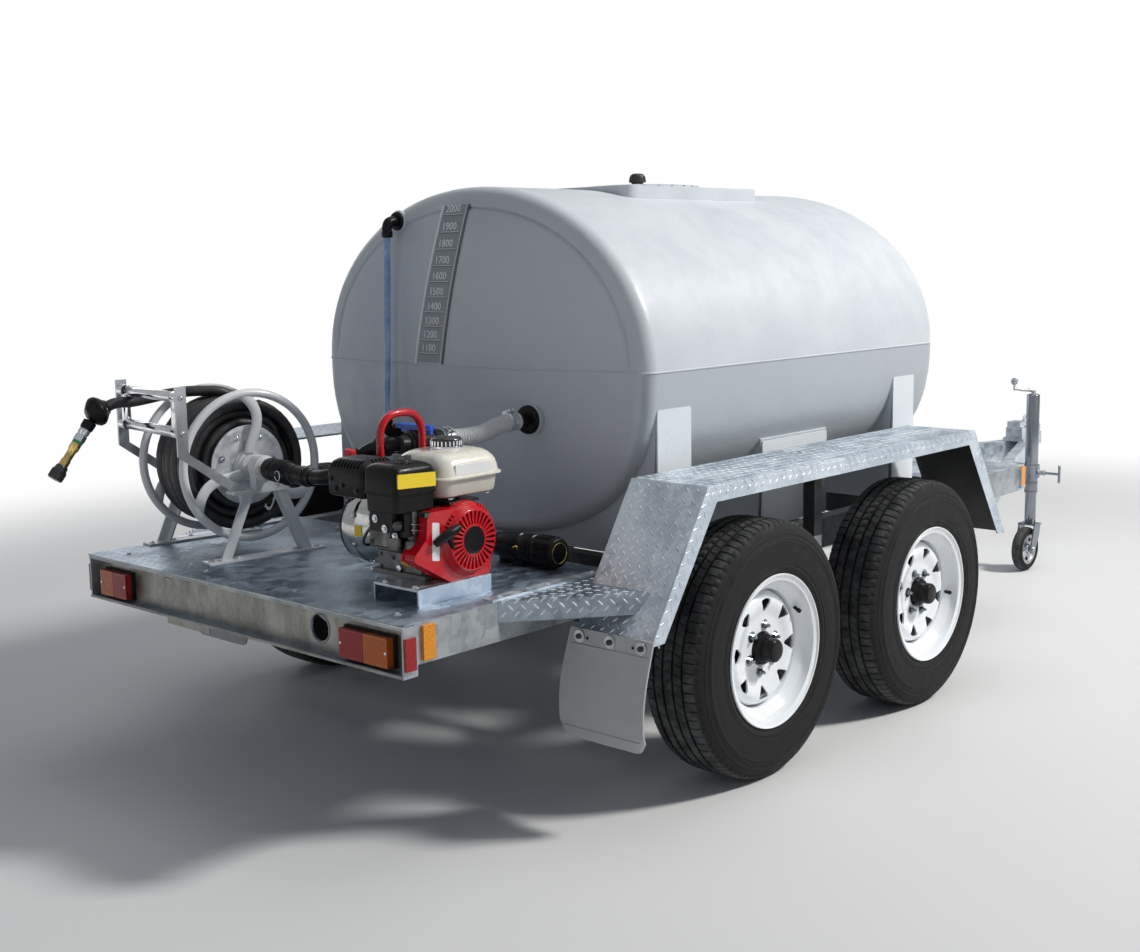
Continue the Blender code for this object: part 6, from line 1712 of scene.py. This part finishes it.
def make_recoil():
    y = CRANK_Y
    piece = Piece("fine_recoil_cover")
    place = along((1, 0, 0), (FACE_X, y, CRANK_Z))
    shell = lathe(
        mm(
            (39, 1.2), (44, 1.2), (48, 0.2), (70, -0.6), (75, 0.6), (78.5, 0), (81.5, -3), (83.5, -8),
            (86.5, -10.5), (90, -13.5), (94.5, -18.5), (97.5, -26), (99, -36), (99, -64), (90, -64),
            (89, -38), (86, -23), (78, -15), (72, -9), (60, -6.5), (39, -6)
        ),
        144, closed=True
    )
    slot = prism(mm((42.5, -2.2), (73.5, -3.9), (75.8, -2.6), (75.8, 2.6), (73.5, 3.9), (42.5, 2.2)), 0.03)
    cutters = repeated(shifted(slot, 0, 0, -0.015), 30, 0.5)
    for centre in (2.62, 4.05):
        for k in range(4):
            a = centre + (k - 1.5) * 0.12
            slot = block(*mm((86, -2.6, -38), (104, 2.6, -11.5)))
            cutters.append(moved(slot, about_z(a)))
    piece.add("red_paint", moved(carved(shell, *cutters), place))
    # Painted shade: near-black shapes behind the cover's slots
    back = lathe([(0.088, -0.016), (0.088, -0.063)], 64)
    piece.add("dark_gap", moved(back, place), moved(lathe([(0.078, -0.0075), (0.078, -0.01)], 64), place))
    badge = lathe(mm((25, 2.4), (34.5, 2.2), (36.5, 1.2), (37, -4)), 72)
    piece.add("black_satin", moved(badge, place))
    piece.add("red_paint", moved(tube(circle(0.0378, 72, 0.001), 0.0013, 8, cyclic=True), place))
    low = ENGINE_BASE
    outline = near(
        (y, low), (75, 0), (-70, 0), (-190, 70), (-185, 85), (-146, 120), (-142, 172), (-130, 187),
        (50, 187), (88, 140)
    )
    outline = rounded(outline, [0.012, 0.02, 0.012, 0.01, 0.02, 0.012, 0.01, 0.03, 0.04], 5)
    piece.add("red_paint", bevel(plate(outline, FACE_X - 0.064, FACE_X - 0.0184, "x"), 0.005, 3))
    flange = [(a + (0.0035 if a > y else -0.0045), b) for a, b in outline]
    piece.add("red_paint", bevel(plate(flange, FACE_X - 0.064, FACE_X - 0.0595, "x"), 0.0015, 1))
    label = rounded(near((y, low), (-129, 64), (-104, 60), (-102, 157), (-126, 161)), 0.003, 3)
    piece.add("white_label", plate(label, FACE_X - 0.0186, FACE_X - 0.0178, "x"))
    # Starter grip: a rounded bar and its tongue into the rope guide
    bar = near((0, y, CRANK_Z), (594, -128, 8), (600, -90, 28), (602, -52, 42))
    grip = tube(
        smooth_path(bar), 0.0105, 20, swell=lambda s: 0.72 + 0.55 * sin(pi * min(max(s, 0.04), 0.96)) ** 0.6
    )
    piece.add("black_satin", grip)
    tongue = near((0, y, CRANK_Z), (600, -94, 26), (602, -84, 10), (600, -74, -8))
    piece.add("black_satin", tube(smooth_path(tongue), 0.009, 16, swell=lambda s: 1.0 - 0.35 * s))
    guide = lathe(mm((6, 16), (10, 15), (12, 10), (12, 0)), 24)
    piece.add("black_plastic", moved(guide, along((0.75, -0.66, 0), (0.582, y - 0.058, CRANK_Z - 0.004))))
    # Switch and lever plate above the cover
    piece.add("black_gloss", block(*near((0, y, low), (560, -150, 176), (581.5, -95, 187)), 0.003))
    piece.done(replaces=["recoil_cover"], smooth=36)


def make_air_cleaner():
    y = CRANK_Y
    low, top = BLOCK_TOP, ENGINE_BASE + 0.312
    piece = Piece("fine_air_cleaner")
    box = (0.432, 0.562, y - 0.226, y - 0.0825)
    body = near((low, 0, 0), (0, 10, 10), (2, 7, 12), (46, 5, 14))
    piece.add("black_satin", loft(box, body))
    lid = [
        (low + 0.044, 0.001, 0.014), (low + 0.0455, 0.0, 0.015), (low + 0.05, 0.0, 0.015),
        (low + 0.0515, 0.002, 0.015), (top - 0.022, 0.003, 0.016), (top - 0.012, 0.006, 0.018),
        (top - 0.005, 0.013, 0.02), (top - 0.0012, 0.023, 0.02), (top, 0.036, 0.016)
    ]
    piece.add("black_satin", loft(box, lid, 8))
    label = rounded(near((y, low), (-216.5, 64), (-90, 58), (-90, 94), (-216.5, 100)), 0.004, 3)
    piece.add("yellow_label", plate(label, 0.5575, 0.5608, "x"))
    at = Matrix.Translation((0.512, y - 0.156, top - 0.0005))
    piece.add(
        "black_gloss", moved(lathe(mm((10, 7), (17, 6), (18.5, 3), (19, 0)), 32), at),
        moved(lathe(mm((8.5, 15), (11, 14), (11, 5)), 24), at)
    )
    for way in (1, -1):
        wing = block(*mm((4, -3.5, 6), (23, 3.5, 18)), 0.0025)
        piece.add("black_gloss", moved(wing, at @ about_z(0.5 + (0 if way > 0 else pi))))
    # Carburettor, elbow, linkage and bolts under the box
    carburettor = lathe(mm((10, 78), (17, 76), (17.5, 20), (15, 12), (12, 0)), 28)
    piece.add("cast_metal", moved(carburettor, along(UP, (0.535, y - 0.155, low - 0.074))))
    piece.add(
        "black_satin", block(*near((0, y, low), (448, -214, -50), (532, -176, 2)), 0.008, 3),
        block(*near((0, y, low), (512, -190, -62), (550, -120, 2)), 0.008, 3)
    )
    piece.add(
        "black_gloss",
        turned((0.6, -0.8, 0), (0.538, y - 0.2, low - 0.03), mm((6, 16), (11.5, 14), (12.5, 0)), 24)
    )
    for x, dy, z in (
        (0.52, -0.1955, -0.06), (0.536, -0.193, -0.034), (0.47, -0.2155, -0.018), (0.505, -0.2155, -0.04)
    ):
        piece.add("zinc_bright", bolt_at(BACK, (x, y + dy, low + z), 0.0058, 0.006))
    for z0, z1 in ((-0.03, -0.05), (-0.045, -0.066)):
        rod = [
            (0.552, y - 0.17, low + z0), (0.556, y - 0.14, low + z0 - 0.006), (0.552, y - 0.108, low + z1)
        ]
        piece.add("zinc_bright", tube(smooth_path(rod, 4), 0.0016, 8))
    bowl = lathe(mm((8, 0), (15, -3), (17.5, -10), (17.5, -26), (14, -34), (6, -36)), 32)
    piece.add(
        "cast_metal", placed(bowl, 0.512, y - 0.19, low - 0.062),
        placed(bowl, 0.535, y - 0.158, low - 0.072)
    )
    piece.done(replaces=["air_cleaner"], smooth=40)


def make_muffler():
    y = CRANK_Y
    low, top = ENGINE_BASE + 0.215, ENGINE_BASE + 0.312
    piece = Piece("fine_muffler_guard")
    box = (0.285, 0.4315, y - 0.22, y - 0.095)
    levels = [
        (low, 0.01, 0.01), (low + 0.003, 0.004, 0.014), (low + 0.01, 0.001, 0.016),
        (top - 0.03, 0.0, 0.018), (top - 0.018, 0.0025, 0.02), (top - 0.008, 0.009, 0.022),
        (top - 0.002, 0.017, 0.022), (top, 0.026, 0.018)
    ]
    shell = loft(box, levels, 8)
    cutters = []
    for k in range(9):
        x = 0.306 + 0.0125 * k
        cutters.append(block(*near((x, y, top), (0, -232, -20), (5.5, -196, 10))))
    for k in range(7):
        dy = y - 0.176 + 0.012 * k
        cutters.append(block(*near((0, dy, top), (272, 0, -20), (308, 5.5, 10))))
        cutters.append(block(*near((0, dy, top), (410.5, 0, -20), (445, 5.5, 10))))
    piece.add("black_satin", carved(shell, *cutters))
    # Painted shade: a near-black block behind the guard's slots
    piece.add("dark_gap", block((0.3, y - 0.205, low + 0.02), (0.4165, y - 0.11, top - 0.012)))
    piece.add(
        "black_satin", block((0.404, y - 0.15, BLOCK_TOP), (0.428, y - 0.11, ENGINE_BASE + 0.222), 0.003)
    )
    for x, z in ((0.306, low + 0.045), (0.322, low + 0.02), (0.35, low + 0.03), (0.405, low + 0.022)):
        piece.add("cast_dark", bolt_at(BACK, (x, y - 0.2198, z), 0.0055, 0.005, 1.5))
    tip = lathe(mm((10, 11), (12.5, 11), (12.5, 0), (10, 0)), 28, closed=True)
    piece.add("cast_metal", moved(tip, along((-1, 0, 0), (0.285, y - 0.185, low + 0.04))))
    piece.done(replaces=["muffler_guard"], smooth=38)


def make_engine_block():
    y = CRANK_Y
    low = ENGINE_BASE
    piece = Piece("fine_engine_block")
    outline = near((y, low), (-85, 0), (75, 0), (75, 150), (45, 190), (-85, 190))
    piece.add("cast_dark", bevel(plate(rounded(outline, 0.014), 0.33, 0.535, "x"), 0.008, 3))
    piece.add(
        "cast_metal", block(*near((0, y, low), (345, -100, 0), (520, -83, 60)), 0.005, 2),
        block(*near((0, y, low), (332, -112, 0), (533, 90, 13)), 0.003, 2)
    )
    head = (0.404, 0.5, y - 0.168, y - 0.07)
    levels = near((low, 0, 0), (80, 6, 10), (84, 2, 12), (186, 2, 12), (190, 6, 10))
    piece.add("cast_metal", loft(head, levels))
    for k in range(9):
        z = low + 0.088 + k * 0.0112
        fin = near((z, 0, 0), (0, 1, 10), (0.6, 0, 11), (2.6, 0, 11), (3.2, 1, 10))
        piece.add("cast_metal", loft((0.393, 0.508, y - 0.178, y - 0.075), fin))
    piece.add("cast_metal", block(*near((0, y, low), (412, -186, 96), (492, -166, 172)), 0.01, 3))
    for x, z in ((0.42, 0.104), (0.484, 0.104), (0.42, 0.164), (0.484, 0.164)):
        piece.add("cast_metal", bolt_at(BACK, (x, y - 0.186, low + z), 0.0052, 0.005, 1.4))
    for x, z in ((0.352, 0.05), (0.4, 0.044), (0.455, 0.05), (0.51, 0.046), (0.352, 0.018), (0.51, 0.018)):
        piece.add("cast_metal", bolt_at(BACK, (x, y - 0.1, low + z), 0.005, 0.005, 1.4))
    filler = lathe(mm((8, 24), (14, 23), (15, 10), (12, 8), (11, 0)), 24)
    piece.add("yellow_label", moved(filler, along((0, -0.86, 0.5), (0.47, y - 0.098, low + 0.04))))
    plug = lathe(mm((7, 10), (9.5, 9), (9.5, 0)), 6)
    piece.add("zinc_bright", moved(plug, along(BACK, (0.43, y - 0.1, low + 0.022))))
    lead = near(
        (0, y, low), (452, -186, 150), (452, -206, 152), (430, -212, 130), (395, -190, 95), (372, -110, 80)
    )
    piece.add(
        "black_gloss", tube(smooth_path(lead, 6), 0.0042, 10),
        tube(near((0, y, low), (452, -180, 150), (452, -210, 153)), 0.0085, 16)
    )
    piece.add("black_satin", block(*near((0, y, low), (345, -106, 66), (400, -83, 150)), 0.006, 2))
    piece.done(replaces=["engine_block"], smooth=36)


def make_handle():
    x, low = 0.338, BLOCK_TOP
    rear, front, top = CRANK_Y - 0.078, CRANK_Y + 0.07, 1.0645
    span = (front - rear) / 2
    mid = (front + rear) / 2
    path = [(x, rear, low), (x, rear, low + 0.04), (x, rear, top - span)]
    for a in np.linspace(0, pi, 25)[1:-1]:
        c, s = cos(a), sin(a)
        path.append((x, mid - span * math.copysign(abs(c) ** 0.78, c), top - span + span * s**0.78))
    path += [(x, front, top - span), (x, front, low + 0.04), (x, front, low)]
    handle = Piece("fine_carry_handle").add("red_paint", tube(path, 0.0102, 24))
    for y in (rear, front):
        handle.add("zinc_bright", placed(lathe(mm((11.8, 6), (16.5, 5), (17, 0)), 24), x, y, low))
    handle.done(replaces=["carry_handle"], smooth=60)


def make_pump():
    along_x = along((-1, 0, 0), (0.3297, CRANK_Y, CRANK_Z))
    piece = Piece("fine_pump_casing")
    bell = lathe(
        mm(
            (20, 165), (32, 165), (34, 163.5), (36, 159), (50, 157.5), (86, 152), (92, 150), (99, 144),
            (103, 137), (105.5, 128), (106.8, 118), (107, 108), (107, 96), (106, 90), (101, 86), (98.5, 80),
            (95, 68), (89, 52), (85, 40), (83, 24), (80, 10), (70, 2), (60, 0)
        ),
        96
    )
    piece.add("polished_alloy", moved(bell, along_x))
    cover = mm(
        (34.5, 164.2), (50.5, 158.1), (86.5, 152.6), (92.6, 150.6), (99.7, 144.5), (103.7, 137.3),
        (105.8, 130), (105, 129)
    )
    piece.add("black_satin", moved(lathe(cover, 96), along_x))
    for k in range(8):
        a = tau * (k + 0.5) / 8
        at = about_z(a) @ Matrix.Translation((0.101, 0, 0.086))
        piece.add(
            "zinc_bright", moved(bolt(0.0052, 0.0045, 1.3), along_x @ at @ Matrix.Rotation(pi, 4, "X"))
        )
        boss = about_z(a) @ Matrix.Translation((0.099, 0, 0.086))
        piece.add("polished_alloy", moved(lathe(mm((8, 12), (8.6, 10), (8.6, 0)), 16), along_x @ boss))
    outlet = lathe(mm((23, 125), (28, 124), (28.5, 112), (25, 108), (25, 95), (30, 85)), 40)
    piece.add("polished_alloy", moved(outlet, Matrix.Translation(PUMP_OUTLET)))
    nut = lathe(mm((29, 118), (31.5, 117), (31.5, 108), (29, 107)), 8)
    piece.add("cast_metal", moved(nut, Matrix.Translation(PUMP_OUTLET)))
    # A blank plate that follows the bell
    strip = []
    for i in range(6):
        a = 4.55 + 0.06 * i
        for h, r in ((0.06, 0.0938), (0.082, 0.1004)):
            point = about_z(a) @ Vector((r, 0, h))
            strip.append(tuple(along_x @ point))
    faces = [(2 * i, 2 * i + 1, 2 * i + 3, 2 * i + 2) for i in range(5)]
    piece.add("yellow_label", (np.array(strip), faces))
    piece.done(replaces=["pump_casing"], smooth=40)


def make_fill():
    y, z = -0.85, 0.656
    along_x = along((1, 0, 0), (0.34, y, z))
    piece = Piece("fine_fill_coupling")
    body = lathe(
        mm(
            (30, 232), (37, 231.8), (40, 230), (42.5, 226), (43.5, 220), (45, 170), (45.8, 164), (44, 159),
            (40, 156), (40, 148), (43, 146), (44, 140), (44, 112), (43, 106), (39.5, 103), (39.5, 99),
            (43.5, 96), (44.5, 90), (44.5, 34), (43, 29), (34.5, 25), (34, 0)
        ),
        72
    )
    piece.add("black_satin", moved(body, along_x))
    grip = ribs(14, [0.0445] * 3, (0.166, 0.19, 0.218), 0.0022, 8, swell=lambda s: 1.0 - 0.3 * s)
    piece.add("black_satin", *moved_all(grip, along_x))
    piece.add("brass", moved(tube(circle(0.029, 64, 0.2322), 0.0011, 6, cyclic=True), along_x))
    for side in (1, -1):
        arm = block((0.04, side * 0.016 - 0.004, 0.11), (0.049, side * 0.016 + 0.004, 0.158), 0.002)
        piece.add("zinc_bright", moved(arm, along_x @ about_z(pi / 2)))
    piece.add(
        "black_satin", block((0.42, y - 0.03, 0.6093), (0.46, y + 0.03, z - 0.02), 0.003),
        block((0.365, y - 0.026, 0.6093), (0.385, y + 0.026, z - 0.03), 0.003)
    )
    ties = [
        (0.452 + 0.012 * sin(t * 2.2), y - 0.045 - 0.02 * t, 0.66 + 0.03 * t - 0.018 * t * t)
        for t in np.linspace(0, 1.2, 12)
    ]
    piece.add("yellow_label", tube(ties, 0.0012, 6))
    piece.done(replaces=["fill_coupling"], smooth=38)


def make_tray():
    piece = Piece("tray_bolts")
    for x in (0.45, 0.56):
        for y in (-1.375, -1.15):
            piece.add("zinc_bright", bolt_at(UP, (x, y, 0.6521), 0.0065, 0.006))
    piece.done(smooth=36)


make_fuel_tank()
make_recoil()
make_air_cleaner()
make_muffler()
make_engine_block()
make_handle()
make_pump()
make_fill()
make_tray()


# Undercarriage, drawbar and jockey wheel

JOCKEY = Vector((0.364, 2.6, 0.0))
SPRING_X, BEAM_LOW = 0.675, 0.3425


def u_bolt(x, y, top, low, reach):
    """A U-bolt over the axle, with its nuts under the clamp plate."""
    path = [(x - reach, y, low - 0.014), (x - reach, y, top - reach)]
    for a in np.linspace(0, pi, 9)[1:-1]:
        path.append((x - reach * cos(a), y, top - reach + reach * sin(a)))
    path += [(x + reach, y, top - reach), (x + reach, y, low - 0.014)]
    nuts = [bolt_at(DOWN, (x + way * reach, y, low), 0.009, 0.009, 1.3) for way in (-1, 1)]
    return stacked(tube(path, 0.0055, 10), *nuts)


def make_undercarriage():
    for side, way in SIDES:
        piece = Piece("spring_bolts_" + side)
        for end_y in AXLE_YS.values():
            for dy in (-0.034, 0.034):
                shape = u_bolt(SPRING_X, end_y + dy, 0.405, BEAM_LOW - 0.042, 0.027)
                piece.add("zinc_bright", shape if way > 0 else mirrored(shape))
            for dy in (-0.325, 0.325):
                for face in (1, -1):
                    at = (way * SPRING_X + face * 0.0215, end_y + dy, 0.3895)
                    piece.add("zinc_bright", bolt_at((face, 0, 0), at, 0.01, 0.008, 1.25))
        for face in (1, -1):
            at = (way * SPRING_X + face * 0.0215, 0.0, 0.418)
            piece.add("zinc_bright", bolt_at((face, 0, 0), at, 0.011, 0.009, 1.3))
        piece.done(smooth=36)
    bearers = Piece("tank_bearers")
    for y in (-0.6, 0.915):
        bearers.add("dark_steel", block((-0.6485, y - 0.025, 0.507), (0.6485, y + 0.025, 0.6045), 0.004))
    bearers.done(smooth=36)


def make_drawbar_bits():
    piece = Piece("coupling_bolts")
    for x in (-0.047, 0.047):
        for y in (3.192, 3.3):
            piece.add("zinc_bright", bolt_at(UP, (x, y, 0.5178), 0.007, 0.006))
    for way in (1, -1):
        for y in (3.2, 3.25):
            piece.add("zinc_bright", bolt_at((way, 0, 0), (way * 0.034, y, 0.578), 0.006, 0.006))
    piece.add(
        "black_plastic",
        tube(smooth_path(mm((0, 3372, 628.5), (0, 3392, 630), (0, 3412, 630.5)), 4), 0.011, 16)
    )
    piece.done(smooth=36)


def make_jockey_post():
    x, y = JOCKEY.x, JOCKEY.y
    post = Piece("fine_jockey_post")
    wall = lathe(
        mm(
            (24, 807), (28, 806.8), (29, 805.5), (29, 356.2), (28.4, 355), (26.2, 355), (25.6, 356),
            (25.6, 777)
        ),
        48
    )
    post.add(
        "zinc_dark", placed(wall, x, y, 0),
        placed(lathe(mm((12, 811), (20, 810.5), (22.5, 809), (25, 806)), 40), x, y, 0)
    )
    for z in (0.404, 0.364):
        ring = [(x + 0.0291 * cos(a), y + 0.0291 * sin(a), z) for a in np.arange(40) * tau / 40]
        post.add("dark_steel", tube(ring, 0.0012, 6, cyclic=True))
    top = 0.807
    arm = near((x, y, top), (0, 0, 0), (0, 0, 16), (-10, -12, 22), (-34, -40, 24), (-60, -70, 30.5))
    post.add("zinc_bar", tube(smooth_path(arm, 6), 0.0092, 14, swell=lambda s: 1.15 - 0.4 * s))
    post.add("zinc_bright", tube(near((x, y, top), (-60, -70, 22), (-60, -70, 50)), 0.005, 12))
    knob = lathe(mm((6, 32), (12, 30), (15.5, 23), (16, 15), (13, 7), (8, 2), (6, 0)), 28)
    post.add("zinc_bar", placed(knob, x - 0.06, y - 0.07, top + 0.046))
    post.done(replaces=["jockey_outer_tube"], smooth=40)
    stem = lathe(mm((22.5, 594.5), (24.5, 593), (24.5, 215), (24, 214.3)), 44)
    Piece("fine_jockey_stem").add("zinc_dark", placed(stem, x, y, 0)).done(
        "jockey_stem", ["jockey_inner_tube"], smooth=40
    )


def make_jockey_wheel():
    x, y = JOCKEY.x, JOCKEY.y - 0.045
    across = along((1, 0, 0), (x, y, 0.1))
    wheel = Piece("fine_jockey_wheel")
    rubber = lathe(
        mm(
            (66, 17), (70, 21.5), (78, 25.5), (86, 25), (93, 20.5), (97.5, 13), (99.5, 6), (100, 0),
            (99.5, -6), (97.5, -13), (93, -20.5), (86, -25), (78, -25.5), (70, -21.5), (66, -17), (64, 0)
        ),
        72, closed=True
    )
    wheel.add("tyre_rubber", moved(rubber, across))
    for way in (1, -1):
        disc = lathe(
            mm(
                (8.5, 23), (19, 22.8), (20.5, 21), (21.5, 12), (30, 8), (44, 7.5), (54, 11.5), (60, 18.5),
                (66, 21.5), (69, 21), (69, 18), (62, 14), (56, 7), (44, 3.5), (8.5, 3.5)
            ),
            64, closed=True
        )
        hole = prism([(0.046 + 0.0085 * cos(a), 0.013 * sin(a)) for a in np.arange(14) * tau / 14], 0.06)
        disc = carved(disc, *repeated(shifted(hole, 0, 0, -0.01), 5))
        wheel.add("zinc_bright", moved(disc, along((way, 0, 0), (x, y, 0.1))))
    wheel.done("jockey_roller", ["jockey_wheel"], smooth=42)
    bits = Piece("jockey_fork_bolts")
    for way in (1, -1):
        bits.add("zinc_bright", bolt_at((way, 0, 0), (x + way * 0.04, y, 0.1), 0.0095, 0.007, 1.2))
    bits.done("jockey_swivel", smooth=36)


def make_jockey_clamp():
    x, y, z = JOCKEY.x, JOCKEY.y, 0.4554
    bits = Piece("jockey_clamp_bits")
    sleeve = lathe(mm((8.5, 32), (12, 31), (12.5, 22), (10.5, 20), (10.5, 0)), 24)
    bits.add("zinc_bright", moved(sleeve, along((1, 0, 0), (x + 0.036, y, z - 0.005))))
    for dz in (-0.04, 0.037):
        bits.add(
            "zinc_bright", turned(UP, (x + 0.133, y, z + dz - 0.005), mm((5, 4), (6.6, 3), (6.6, 0)), 16)
        )
    normal = Vector((1.0, 0.345, 0.0)).normalized()
    run = Vector((-normal.y, normal.x, 0.0))
    seat = Vector((0.052 + (3.27 - y) * 0.345, y, z))
    for way in (1, -1):
        for dz in (0.016, -0.016):
            at = seat + run * 0.036 * way + normal * 0.0085 + Vector((0, 0, dz))
            bits.add("zinc_bright", bolt_at(normal, at, 0.0062, 0.005, 1.4))
    bits.done(smooth=36)


make_undercarriage()
make_drawbar_bits()
make_jockey_post()
make_jockey_wheel()
make_jockey_clamp()
